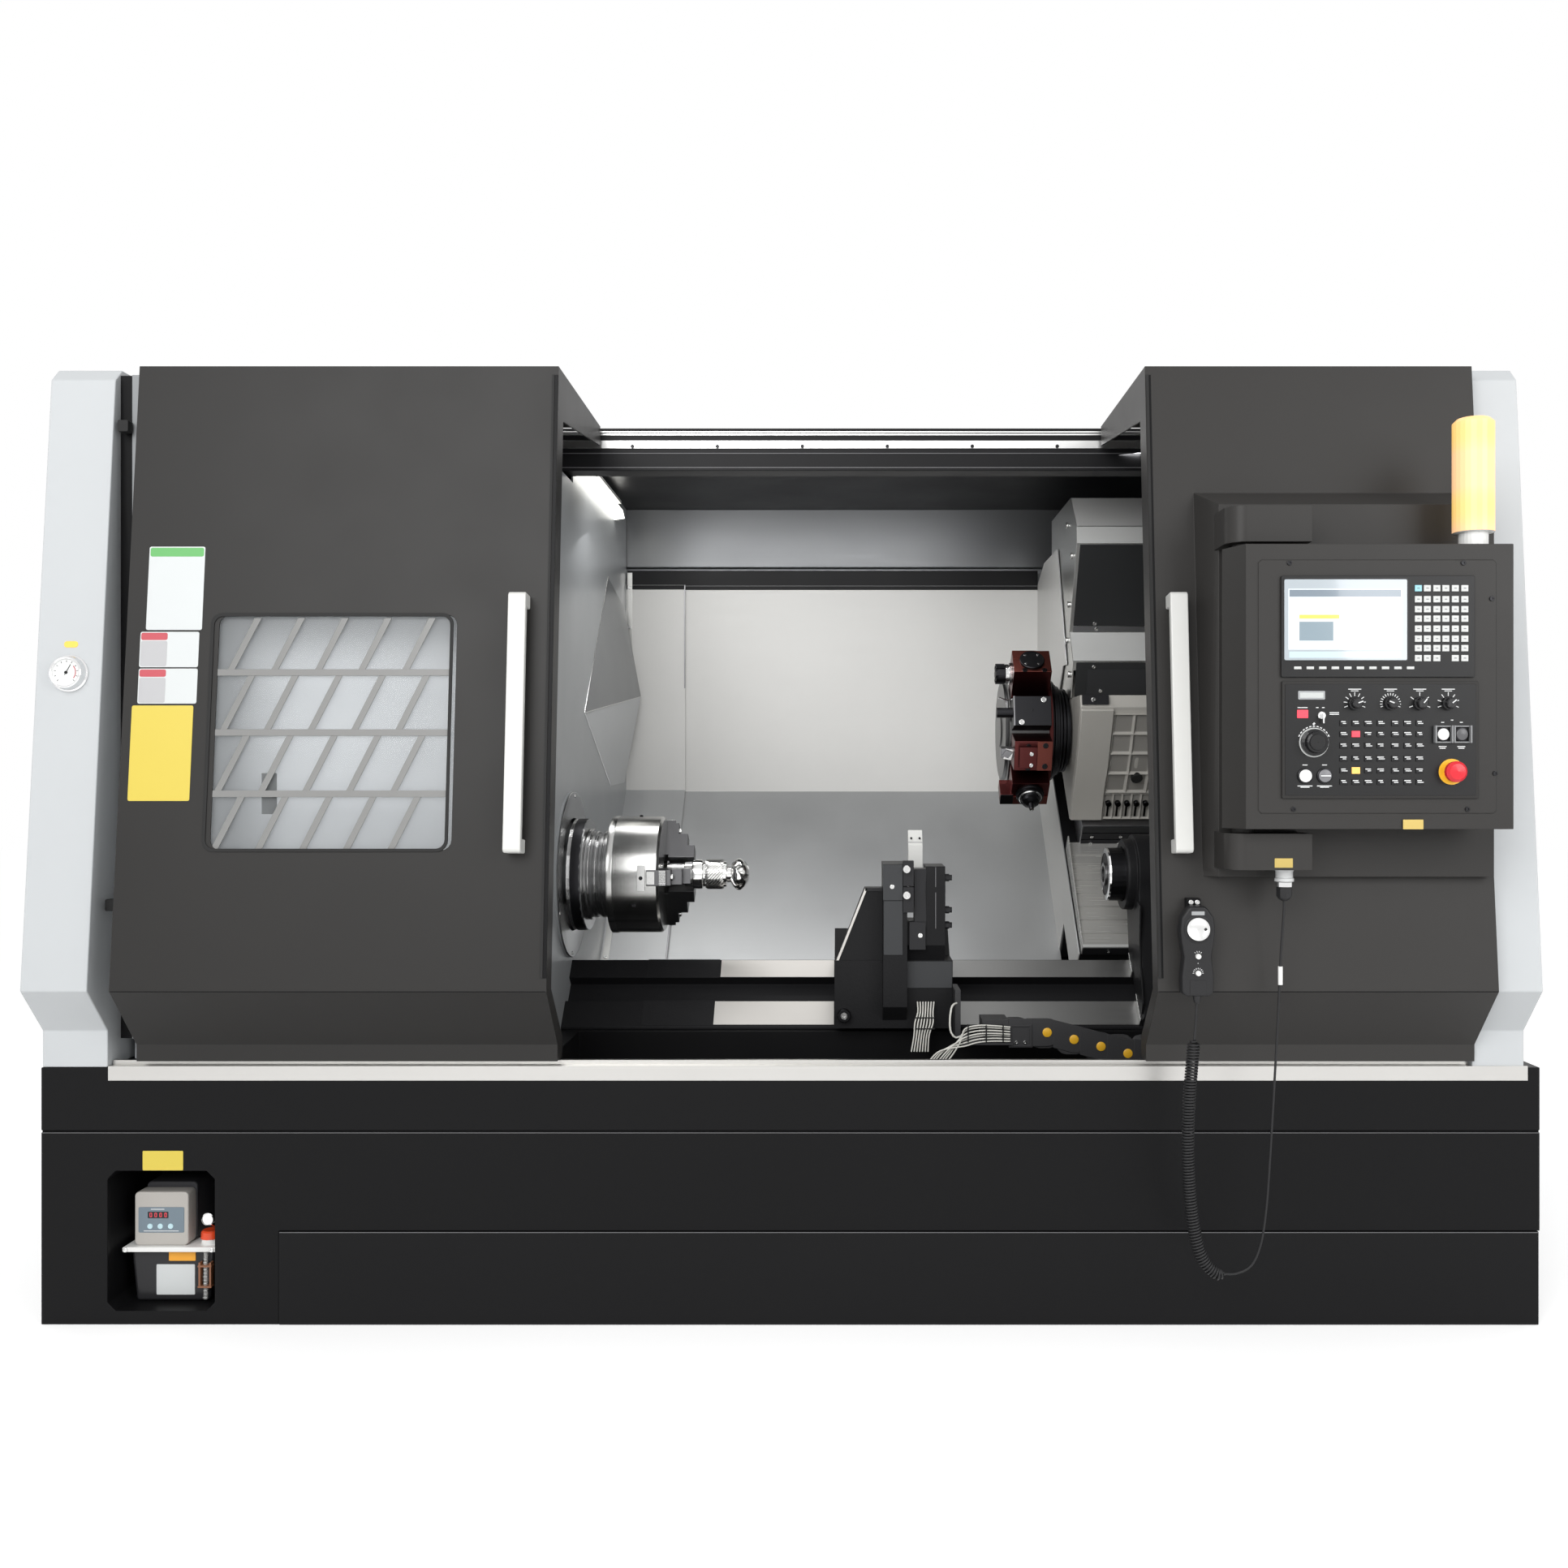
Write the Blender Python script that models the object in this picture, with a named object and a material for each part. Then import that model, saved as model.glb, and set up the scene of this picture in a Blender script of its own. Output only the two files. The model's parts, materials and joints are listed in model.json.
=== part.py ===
"""A slant-bed CNC turning lathe with two sliding doors, a tool turret, a tailstock and a steady rest.

Metres, +Z up, +X along the spindle towards the tailstock, -Y towards the operator. The origin is at the
centre of the base's underside. Depths are measured from the base's front plane, towards the back.
"""

import math

import bmesh
import bpy
from mathutils import Matrix, Vector

# Whole machine
BASE_LENGTH = 3.30
BASE_DEPTH = 1.75
BASE_TOP = 0.566
ENCLOSURE_TOP = 2.11
GAP = 0.0003
RUNNING = 0.0006
ROUND = 32

# Spindle line: every way, slide and guard is placed from it
SPINDLE_DEPTH = 0.60
SPINDLE_HEIGHT = 0.951
SLOPE = math.sqrt(0.5)

# Base
NICHE_LEFT = -1.504
NICHE_WIDTH = 0.236
NICHE_FLOOR = 0.030
NICHE_HEIGHT = 0.308
NICHE_DEPTH = 0.25
TANK_LEFT = -1.126
TANK_HEIGHT = 0.2055
TANK_DEPTH = 0.70
TANK_CLEARANCE = 0.0003
TRAY_LEFT = -0.55
TRAY_LENGTH = 1.98
TRAY_DEPTH = 0.11
SEAM_HEIGHT = 0.425
SEAM_WIDTH = 0.004
SILL_LEFT = -1.501
SILL_RIGHT = 1.622
SILL_APRON = 0.032
SHEET = 0.004

# Doors
DOOR_KNEE_OUT = 0.13
DOOR_KNEE_HEIGHT = 0.752
DOOR_FOOT_OUT = 0.014
DOOR_FOOT_HEIGHT = 0.619
DOOR_BOTTOM = 0.582
DOOR_ROOF_DEPTH = 0.53
DOOR_RETURN = 0.05
LEFT_DOOR = (-1.433, -0.510)
RIGHT_DOOR = (0.780, 1.500)
LEFT_TRAVEL = 0.896
RIGHT_TRAVEL = 0.390
WINDOW_X = (-1.233, -0.719)
WINDOW_Z = (1.049, 1.556)
WINDOW_CORNER = 0.022
GRILLE_BAR = 0.009
GRILLE_ROWS = 4
GRILLE_COLUMNS = 6
HANDLE_LENGTH = 0.555
HANDLE_WIDTH = 0.038
HANDLE_STAND = 0.048
HANDLE_THICK = 0.018
HANDLE_RISE = 0.29
LEFT_HANDLE_INSET = 0.070
RIGHT_HANDLE_INSET = 0.053

# Operator station on the right door
STATION_X = (0.880, 1.487)
STATION_Z = (0.995, 1.8255)
STATION_OUT = 0.135
PENDANT_AXIS = (0.940, -0.195)
PENDANT_X = (0.896, 1.464)
PENDANT_Z = (1.100, 1.674)
PENDANT_FRONT_OUT = 0.270
PENDANT_THICK = 0.100
HINGE_BLOCK_RIGHT = 1.071
HINGE_BLOCK_RADIUS = 0.040
HINGE_BLOCK_HEIGHT = 0.075
HINGE_STEP = 0.010
PLATE_STAND = 0.003
SCREEN_X = (0.994, 1.382)
SCREEN_Z = (1.405, 1.6085)
KEYS_X = (0.999, 1.389)
KEYS_Z = (1.165, 1.395)
UNIT_STAND = 0.006
KNOB_RADIUS = 0.0135
KNOB_HEIGHT = 0.020
KNOB_X = (1.141, 1.2126, 1.2713, 1.3284)
KNOB_Z = 1.3524
DIAL_PLACE = (1.0593, 1.2741)
DIAL_RADIUS = 0.027
STOP_PLACE = (1.335, 1.2154)
STOP_RADIUS = 0.021
STOP_SHANK = 0.0115
STOP_COLLAR_WALL = 0.005
STOP_COLLAR_STAND = 0.008
STOP_TRAVEL = 0.0053
TOWER_X = 1.405
TOWER_RADIUS = 0.041
TOWER_HEIGHT = 0.262
REMOTE_X = 0.8545
REMOTE_WIDTH = 0.062
REMOTE_LENGTH = 0.160
REMOTE_THICK = 0.034
REMOTE_BRACKET = 0.006

# End covers
COLUMN_WIDTH = 0.1435
LEFT_OUTER = -1.647
RIGHT_OUTER = 1.615
COLUMN_TOP = 2.119
COLUMN_KNEE_OUT = 0.086
COLUMN_KNEE_HEIGHT = 0.746
COLUMN_FOOT_HEIGHT = 0.647
COLUMN_LEAN = 0.044
GAUGE_X = -1.572
GAUGE_HEIGHT = 1.431
GAUGE_RADIUS = 0.0405

# Rear enclosure
REAR_WALL_GAP = 0.05
WALL_THICK = 0.020
BEAM_DEPTH = 0.55
BEAM_WIDTH = 0.07
BEAM_DROP = 0.11
UPPER_PANEL_BOTTOM = 1.90
CABINET_X = (-1.45, -0.10)
CABINET_DEPTH = 0.25
CABINET_TOP = 1.95
COVER_FRONT = 0.10
COVER_FLANGE = 0.06
COVER_TOP = 1.970

# Bed, in runs up the slope and rises square to it, both from the spindle axis
WAY_RISE = -0.1754
LOWER_WAY_RUN = -0.3167
LOWER_WAY_WIDTH = 0.075
UPPER_WAY_RUN = -0.1753
UPPER_WAY_WIDTH = 0.058
WAY_GROOVE = 0.030
TROUGH_HEIGHT = 0.575
RAIL_RISE = -0.550
RAIL_HEIGHT = 0.030
RAIL_WIDTH = 0.060
LOWER_RAIL_RUN = 0.211
UPPER_RAIL_RUN = 0.607
BED_SHOULDER_MARGIN = 0.038
BED_BACK_MARGIN = 0.0449
BED_X = (-1.40, 1.45)
BED_TOP_MARGIN = 0.063
SCREW_RUN = 0.409
SCREW_RISE = -0.568
SCREW_RADIUS = 0.020
SCREW_CHANNEL = 0.050
SCREW_SPAN = (0.02, 1.34)
SUPPORT_WIDTH = 0.04

# Guards
GUARD_RISE = -0.524
GUARD_FOOT_GAP = 0.05
GUARD_FOOT_HEIGHT = 0.594
GUARD_TOP = 1.84
GUARD_LEFT = -0.62
GUARD_SHEET = 0.003
FIXED_GUARD_RIGHT = -0.405
FIXED_GUARD_LEAD = 0.012
WALL_X = -0.600
WALL_SHEET = 0.004
WALL_FRONT = 0.08
WALL_STEP_TOP = 1.985
NOSE_HOLE = 0.155
NOSE_RING = 0.2175
NOSE_RING_STAND = 0.006
DEFLECTOR_STAND = 0.055
LAMP_DEPTH = (0.60, 1.30)
LAMP_DROP = 0.079
LAMP_SIZE = (0.032, 0.040)

# Headstock, spindle and drive
HEADSTOCK_X = (-1.22, -0.612)
HEADSTOCK_TOP_RISE = 0.19
PLATFORM_RISE = -0.1235
PLATFORM_RUN = 0.60
SPINDLE_RADIUS = 0.075
SPINDLE_BORE = 0.033
PULLEY_X = (-1.33, -1.25)
SPINDLE_PULLEY = 0.110
MOTOR_PULLEY = 0.075
MOTOR_RUN = 0.4533
MOTOR_RISE = 0.0118
MOTOR_RADIUS = 0.125
MOTOR_X = (-1.20, -0.80)
MOTOR_SHAFT = 0.021
BELT_THICK = 0.009
BELT_CLEARANCE = 0.0008
NOSE_FLANGE_RADIUS = 0.145
NOSE_FLANGE_X = (-0.585, -0.548)
CHUCK_X = (-0.4855, -0.351)
CHUCK_RADIUS = 0.152
CHUCK_BORE = 0.045
JAW_WIDTH = 0.040
JAW_SLOT = 0.030
JAW_CLEARANCE = 0.0005
JAW_STROKE = 0.006
WORK_RADIUS = 0.040
WORK_END = -0.130

# Saddle, cross slide and turret
SADDLE_X = (0.760, 1.180)
SADDLE_RISE = -0.253
SADDLE_LOW_RUN = -0.067
SADDLE_TOP_RUN = 0.873
SADDLE_TRAVEL = 0.65
CROSS_GUIDE_X = (0.90, 1.02)
CROSS_GUIDE_HEIGHT = 0.028
CROSS_X = (0.80, 1.12)
CROSS_THICK = 0.099
CROSS_RUN = (0.317, 0.803)
CROSS_TRAVEL = 0.25
TURRET_RUN = 0.552
HOUSING_X = (0.766, 1.100)
HOUSING_LEDGE = 1.432
RIB_POCKETS = (3, 4)
HUB_RADIUS = 0.108
HUB_NECK = 0.085
HUB_X = (0.700, 0.7655)
DISC_X = (0.580, 0.6995)
DISC_APOTHEM = 0.170
STATIONS = 12
STATION_PHASE = 12.0
BLOCK_X = (0.584, 0.688)
BLOCK_WIDTH = 0.084
BLOCK_HEIGHT = 0.092

# Tailstock
TAIL_X = (0.872, 1.300)
TAIL_RADIUS = 0.105
TAIL_FOOT = (-0.360, -0.130)
TAIL_FOOT_THICK = 0.040
TAIL_TRAVEL = 0.30
QUILL_RADIUS = 0.0695
QUILL_X = (0.805, 1.260)
QUILL_TRAVEL = 0.10
CENTRE_HOLE = 0.022

# Steady rest and drag chain
STEADY_FOOT_X = (0.094, 0.388)
STEADY_PLATE_X = (0.214, 0.2735)
STEADY_FRONT = 0.36
STEADY_TOP = 0.991
STEADY_BLOCK_X = (0.3205, 0.368)
STEADY_MOUTH = 0.105
ARM_X = (0.2795, 0.3155)
ARM_PIVOT = (0.46, 0.90)
ARM_WIDTH = 0.040
ARM_LENGTH = 0.150
CHAIN_X = 0.500
CHAIN_DEPTH = 0.30
CHAIN_HEIGHT = 0.596
CHAIN_PITCH = 0.064
CHAIN_LINKS = 9
CHAIN_TALL = 0.048
CHAIN_WIDE = 0.080
CHAIN_DROP = 0.014

# Hand pendant cord: the route's points, (x, depth, z), chosen along the hang of the cord
CABLE_RADIUS = 0.0025
COIL_RADIUS = 0.014
CABLE_ROUTE = (
    (1.026, -0.195, 0.978), (1.026, -0.193, 0.93), (1.024, -0.182, 0.85), (1.022, -0.172, 0.74),
    (1.018, -0.165, 0.62), (1.012, -0.162, 0.50), (1.006, -0.160, 0.39), (0.999, -0.160, 0.30),
    (0.988, -0.160, 0.23), (0.968, -0.160, 0.185), (0.938, -0.160, 0.169), (0.914, -0.160, 0.168),
)
COIL_ROUTE = (
    (0.9134, -0.160, 0.168), (0.895, -0.160, 0.170), (0.873, -0.160, 0.190), (0.857, -0.160, 0.225),
    (0.846, -0.160, 0.28), (0.839, -0.160, 0.35), (0.836, -0.160, 0.43), (0.838, -0.160, 0.52),
    (0.844, -0.160, 0.60), (0.849, -0.160, 0.655), (0.852, -0.160, 0.69), (0.8545, -0.160, 0.7325),
)

FRONT = -BASE_DEPTH / 2
HALF_LENGTH = BASE_LENGTH / 2
FLOOR = BASE_TOP + GAP
SPINDLE_Y = FRONT + SPINDLE_DEPTH
BED_RISE = RAIL_RISE - RAIL_HEIGHT
BED_TOP_RUN = UPPER_RAIL_RUN + RAIL_WIDTH / 2 + BED_TOP_MARGIN
BED_SHOULDER_DEPTH = SPINDLE_DEPTH + (LOWER_RAIL_RUN - RAIL_WIDTH / 2 - BED_RISE) * SLOPE - BED_SHOULDER_MARGIN
BED_BACK_DEPTH = SPINDLE_DEPTH + (BED_TOP_RUN - BED_RISE) * SLOPE + BED_BACK_MARGIN
GUARD_DEPTH = BED_BACK_DEPTH
UPPER_PANEL_DEPTH = GUARD_DEPTH
REAR_DEPTH = BED_BACK_DEPTH + REAR_WALL_GAP
GUARD_FOOT_DEPTH = BED_SHOULDER_DEPTH - GUARD_FOOT_GAP
LAMP_HEIGHT = ENCLOSURE_TOP - LAMP_DROP

COLOURS = {
    "black": ((0.016, 0.016, 0.017), 0.45, 0.0),
    "charcoal": ((0.030, 0.029, 0.028), 0.40, 0.0),
    "light_grey": ((0.62, 0.65, 0.67), 0.45, 0.0),
    "steel": ((0.45, 0.46, 0.47), 0.35, 1.0),
    "bright_steel": ((0.70, 0.70, 0.70), 0.20, 1.0),
    "guard": ((0.62, 0.62, 0.60), 0.35, 0.6),
    "interior": ((0.25, 0.27, 0.28), 0.40, 0.3),
    "beige": ((0.45, 0.43, 0.39), 0.55, 0.0),
    "maroon": ((0.15, 0.020, 0.025), 0.35, 0.4),
    "off_white": ((0.85, 0.85, 0.82), 0.35, 0.0),
    "glass": ((0.70, 0.75, 0.78), 0.10, 0.0),
    "amber": ((0.95, 0.55, 0.20), 0.30, 0.0),
    "red": ((0.75, 0.03, 0.05), 0.35, 0.0),
    "rubber": ((0.02, 0.02, 0.02), 0.70, 0.0),
    "pump_grey": ((0.42, 0.40, 0.38), 0.50, 0.0),
}


# Placing points


def deep(depth):
    """The y of a depth behind the base's front plane."""
    return FRONT + depth


def on_slope(run, rise):
    """The (y, z) of a point: run up the slope from the spindle axis, rise square to the slope."""
    return (SPINDLE_Y + (run - rise) * SLOPE, SPINDLE_HEIGHT + (run + rise) * SLOPE)


def at_depths(points):
    """Turns (depth, z) points into (y, z) points."""
    return [(deep(depth), z) for depth, z in points]


def across(x):
    """Places a (y, z) outline in the plane at x."""
    return lambda a, b: Vector((x, a, b))


def upright(y):
    """Places an (x, z) outline in the plane at y."""
    return lambda a, b: Vector((a, y, b))


def level(z):
    """Places an (x, y) outline in the plane at z."""
    return lambda a, b: Vector((a, b, z))


def door_skin():
    """The knee of the door's skin, its way up the skin and its way out of it."""
    knee = Vector((0, deep(-DOOR_KNEE_OUT), DOOR_KNEE_HEIGHT))
    top = Vector((0, deep(0), ENCLOSURE_TOP))
    up = (top - knee).normalized()
    out = Vector((0, -up.z, up.y))
    return knee, up, out


def on_door(out_by):
    """Places an (x, height) outline parallel to the door's skin. Heights are real z values on the skin."""
    knee, up, out = door_skin()
    return lambda a, b: knee + Vector((a, 0, 0)) + up * ((b - DOOR_KNEE_HEIGHT) / up.z) + out * out_by


# Making solids


def as_object(name, work):
    """A mesh object from a closed bmesh, with its faces turned outwards."""
    bmesh.ops.recalc_face_normals(work, faces=work.faces)
    mesh = bpy.data.meshes.new(name)
    work.to_mesh(mesh)
    work.free()
    shape = bpy.data.objects.new(name, mesh)
    bpy.context.scene.collection.objects.link(shape)
    return shape


def prism(outline, place, along):
    """A solid between a flat outline and its copy moved along a vector."""
    work = bmesh.new()
    way = Vector(along)
    near = [work.verts.new(place(a, b)) for a, b in outline]
    far = [work.verts.new(place(a, b) + way) for a, b in outline]
    work.faces.new(near)
    work.faces.new(list(reversed(far)))
    for index in range(len(outline)):
        after = (index + 1) % len(outline)
        work.faces.new((near[after], near[index], far[index], far[after]))
    return as_object("prism", work)


def ring_prism(outer, inner, place, along):
    """A solid with a hole: two outlines with as many points each, joined into a ring."""
    work = bmesh.new()
    way = Vector(along)
    loops = []
    for outline, shift in ((outer, 0), (outer, 1), (inner, 1), (inner, 0)):
        loops.append([work.verts.new(place(a, b) + way * shift) for a, b in outline])
    count = len(outer)
    for row in range(4):
        here = loops[row]
        there = loops[(row + 1) % 4]
        for index in range(count):
            after = (index + 1) % count
            work.faces.new((here[index], here[after], there[after], there[index]))
    return as_object("ring", work)


def block(low, high):
    """A box between two corners."""
    outline = [(low[0], low[1]), (high[0], low[1]), (high[0], high[1]), (low[0], high[1])]
    return prism(outline, level(low[2]), (0, 0, high[2] - low[2]))


def hull(points):
    """The convex solid around some points."""
    work = bmesh.new()
    for point in points:
        work.verts.new(point)
    result = bmesh.ops.convex_hull(work, input=work.verts)
    spare = [item for item in result["geom_interior"] if isinstance(item, bmesh.types.BMVert)]
    bmesh.ops.delete(work, geom=spare, context="VERTS")
    return as_object("hull", work)


def turned(profile, place, steps=ROUND):
    """A turned solid. The profile's (distance, radius) points run along the axis. A profile that starts
    and ends on the axis is closed there, and any other is a ring."""
    work = bmesh.new()
    rings = []
    for distance, radius in profile:
        if radius == 0:
            rings.append([work.verts.new(place(distance, 0, 0))])
            continue
        ring = []
        for step in range(steps):
            angle = 2 * math.pi * step / steps
            ring.append(work.verts.new(place(distance, radius * math.cos(angle), radius * math.sin(angle))))
        rings.append(ring)
    pairs = list(zip(rings, rings[1:]))
    if len(rings[0]) > 1:
        pairs.append((rings[-1], rings[0]))
    for here, there in pairs:
        for step in range(steps):
            after = (step + 1) % steps
            if len(here) == 1:
                work.faces.new((here[0], there[after], there[step]))
            elif len(there) == 1:
                work.faces.new((here[step], here[after], there[0]))
            else:
                work.faces.new((here[step], here[after], there[after], there[step]))
    return as_object("turned", work)


def along_x(y, z):
    """Places a turned profile on an axis along X."""
    return lambda distance, a, b: Vector((distance, y + a, z + b))


def along_y(x, z):
    """Places a turned profile on an axis along Y."""
    return lambda distance, a, b: Vector((x + a, distance, z + b))


def along_z(x, y):
    """Places a turned profile on an axis along Z."""
    return lambda distance, a, b: Vector((x + a, y + b, distance))


def along_way(centre, way):
    """Places a turned profile on an axis through a point, along any way."""
    turn = Vector(way).to_track_quat("Z", "Y")
    return lambda distance, a, b: Vector(centre) + turn @ Vector((a, b, distance))


def rod(place, start, end, radius, steps=ROUND):
    """A plain cylinder."""
    return turned([(start, 0), (start, radius), (end, radius), (end, 0)], place, steps)


def sheet_outline(points, thickness):
    """The closed outline of a folded sheet: the points and their mitred copies to the left of the line."""
    copies = []
    for index, (a, b) in enumerate(points):
        ways = []
        if index > 0:
            ways.append(Vector((a - points[index - 1][0], b - points[index - 1][1])).normalized())
        if index < len(points) - 1:
            ways.append(Vector((points[index + 1][0] - a, points[index + 1][1] - b)).normalized())
        mean = sum(ways, Vector((0, 0))).normalized()
        side = Vector((-mean.y, mean.x))
        reach = thickness / side.dot(Vector((-ways[0].y, ways[0].x)))
        copies.append((a + side.x * reach, b + side.y * reach))
    return list(points) + copies[::-1]


def rounded_rectangle(low, high, radius, steps=4):
    """A rectangle's outline with round corners."""
    outline = []
    corners = (
        (high[0] - radius, high[1] - radius, 0),
        (low[0] + radius, high[1] - radius, 90),
        (low[0] + radius, low[1] + radius, 180),
        (high[0] - radius, low[1] + radius, 270),
    )
    for centre_a, centre_b, start in corners:
        for step in range(steps + 1):
            angle = math.radians(start + 90 * step / steps)
            outline.append((centre_a + radius * math.cos(angle), centre_b + radius * math.sin(angle)))
    return outline


def arc(centre, radius, start, end, steps):
    """Points of an arc, angles in degrees."""
    points = []
    for step in range(steps + 1):
        angle = math.radians(start + (end - start) * step / steps)
        points.append((centre[0] + radius * math.cos(angle), centre[1] + radius * math.sin(angle)))
    return points


def combine(target, tool, operation):
    """Joins a tool to a solid, or cuts it away."""
    change = target.modifiers.new(operation, "BOOLEAN")
    change.operation = operation
    change.solver = "EXACT"
    change.object = tool
    graph = bpy.context.evaluated_depsgraph_get()
    mesh = bpy.data.meshes.new_from_object(target.evaluated_get(graph))
    target.modifiers.clear()
    target.data = mesh
    bpy.data.objects.remove(tool)
    return target


def join(target, *others):
    for other in others:
        combine(target, other, "UNION")
    return target


def cut(target, *cutters):
    for cutter in cutters:
        combine(target, cutter, "DIFFERENCE")
    return target


def finish(shape, name, colour, smooth=False):
    """Names a solid, gives it its material and its shading."""
    base, roughness, metallic = COLOURS[colour]
    material = bpy.data.materials.new(name)
    material.use_nodes = True
    shader = material.node_tree.nodes["Principled BSDF"]
    shader.inputs["Base Color"].default_value = (*base, 1.0)
    shader.inputs["Roughness"].default_value = roughness
    shader.inputs["Metallic"].default_value = metallic
    shape.name = name
    shape.data.name = name
    shape.data.materials.clear()
    shape.data.materials.append(material)
    if smooth:
        shape.data.shade_smooth()
        shape.data.set_sharp_from_angle(angle=math.radians(35))
    return shape


def carry(name, pivot, *shapes):
    """Parents shapes to an empty on their joint's axis, and leaves them where they are."""
    holder = bpy.data.objects.new(name, None)
    bpy.context.scene.collection.objects.link(holder)
    holder.location = pivot
    for shape in shapes:
        shape.parent = holder
        shape.matrix_parent_inverse = Matrix.Translation(-Vector(pivot))
    return holder


# Base


def base_cabinet():
    shape = block((-HALF_LENGTH, FRONT, 0), (HALF_LENGTH, -FRONT, BASE_TOP))
    niche = rounded_rectangle(
        (NICHE_LEFT, NICHE_FLOOR), (NICHE_LEFT + NICHE_WIDTH, NICHE_FLOOR + NICHE_HEIGHT), 0.018, 1
    )
    bay = block(
        (TANK_LEFT - TANK_CLEARANCE, FRONT - 0.1, -0.1),
        (HALF_LENGTH + 0.1, deep(TANK_DEPTH + TANK_CLEARANCE), TANK_HEIGHT + TANK_CLEARANCE),
    )
    tray = block(
        (TRAY_LEFT, deep(0.07), BASE_TOP - TRAY_DEPTH),
        (TRAY_LEFT + TRAY_LENGTH, deep(0.450), BASE_TOP + 0.1),
    )
    seam = block(
        (-HALF_LENGTH - 0.1, FRONT - 0.1, SEAM_HEIGHT - SEAM_WIDTH / 2),
        (HALF_LENGTH + 0.1, deep(SEAM_WIDTH), SEAM_HEIGHT + SEAM_WIDTH / 2),
    )
    cut(shape, prism(niche, upright(FRONT - 0.1), (0, NICHE_DEPTH + 0.1, 0)), bay, tray, seam)
    return finish(shape, "base_cabinet", "black")


def coolant_tank():
    low = (TANK_LEFT, deep(-0.003), 0)
    shape = block(low, (HALF_LENGTH - 0.0035, deep(TANK_DEPTH), TANK_HEIGHT))
    return finish(shape, "coolant_tank", "black")


def door_sill():
    top = BASE_TOP + 0.0035
    outline = at_depths(
        [
            (-0.003, top - SILL_APRON), (-0.003, top), (0.018, top), (0.018, top + 0.009),
            (0.030, top + 0.009), (0.030, top), (0.055, top), (0.055, FLOOR),
            (-GAP, FLOOR), (-GAP, top - SILL_APRON),
        ]
    )
    shape = prism(outline, across(SILL_LEFT), (RIGHT_DOOR[1] - SILL_LEFT, 0, 0))
    apron = block(
        (RIGHT_DOOR[1] - 0.01, deep(-0.003), top - SILL_APRON), (SILL_RIGHT, deep(-GAP), top)
    )
    join(shape, apron)
    return finish(shape, "door_sill", "bright_steel")


def lube_unit():
    middle = NICHE_LEFT + NICHE_WIDTH / 2
    floor = NICHE_FLOOR + GAP
    tank = hull(
        [
            Vector((middle + sx * half, deep(depth), floor + height))
            for half, height in ((0.082, 0), (0.096, 0.118))
            for sx in (-1, 1)
            for depth in (0.055, 0.190)
        ]
    )
    flange = block((middle - 0.104, deep(0.035), floor + 0.117), (middle + 0.104, deep(0.200), floor + 0.128))
    head = prism(
        at_depths([(0.045, floor + 0.127), (0.045, floor + 0.245), (0.060, floor + 0.262),
                   (0.185, floor + 0.262), (0.185, floor + 0.127)]),
        across(middle - 0.082), (0.125, 0, 0),
    )
    cap = turned(
        [(floor + 0.127, 0), (floor + 0.127, 0.016), (floor + 0.148, 0.016), (floor + 0.152, 0.012),
         (floor + 0.152, 0)],
        along_z(middle + 0.078, deep(0.070)), 16,
    )
    join(tank, flange, head, cap)
    return finish(tank, "lube_unit", "pump_grey")


# End covers


def column_outline(lean):
    return at_depths(
        [
            (0, FLOOR), (0, COLUMN_FOOT_HEIGHT), (-COLUMN_KNEE_OUT, COLUMN_KNEE_HEIGHT),
            (lean - 0.010, COLUMN_TOP - 0.03), (lean + 0.02, COLUMN_TOP),
            (REAR_DEPTH, COLUMN_TOP), (REAR_DEPTH, FLOOR),
        ]
    )


def end_cover(name, outer, inner, side):
    """A closed cover with a recessed service panel and louvres on its outer side."""
    shape = prism(column_outline(COLUMN_LEAN), across(outer), (inner - outer, 0, 0))
    panel = block(
        (min(outer, outer - side * 0.006), deep(0.25), 0.75),
        (max(outer, outer - side * 0.006), deep(1.35), 1.95),
    )
    cut(shape, panel)
    return finish(shape, name, "light_grey")


def pressure_gauge():
    lean = math.atan2(COLUMN_LEAN - 0.010 + COLUMN_KNEE_OUT, COLUMN_TOP - 0.03 - COLUMN_KNEE_HEIGHT)
    back = -COLUMN_KNEE_OUT + (GAUGE_HEIGHT - COLUMN_KNEE_HEIGHT) * math.tan(lean)
    way = Vector((0, -math.cos(lean), math.sin(lean)))
    centre = Vector((GAUGE_X, deep(back), GAUGE_HEIGHT))
    profile = [
        (GAP, 0), (GAP, GAUGE_RADIUS - 0.006), (0.008, GAUGE_RADIUS), (0.020, GAUGE_RADIUS),
        (0.022, GAUGE_RADIUS - 0.006), (0.016, GAUGE_RADIUS - 0.008), (0.016, 0),
    ]
    shape = turned(profile, along_way(centre, way))
    return finish(shape, "pressure_gauge", "bright_steel", True)


# Rear enclosure


def rear_enclosure():
    back = REAR_DEPTH
    outline = at_depths(
        [
            (back, FLOOR), (back, ENCLOSURE_TOP), (BEAM_DEPTH, ENCLOSURE_TOP),
            (BEAM_DEPTH, ENCLOSURE_TOP - BEAM_DROP), (BEAM_DEPTH + BEAM_WIDTH, ENCLOSURE_TOP - BEAM_DROP),
            (BEAM_DEPTH + BEAM_WIDTH, ENCLOSURE_TOP - WALL_THICK),
            (UPPER_PANEL_DEPTH, ENCLOSURE_TOP - WALL_THICK), (UPPER_PANEL_DEPTH, UPPER_PANEL_BOTTOM),
            (back - WALL_THICK, UPPER_PANEL_BOTTOM), (back - WALL_THICK, FLOOR),
        ]
    )
    left = LEFT_OUTER + COLUMN_WIDTH + GAP
    right = RIGHT_OUTER - COLUMN_WIDTH + 0.0290
    shape = prism(outline, across(left), (right - left, 0, 0))
    return finish(shape, "rear_enclosure", "interior")


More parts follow.
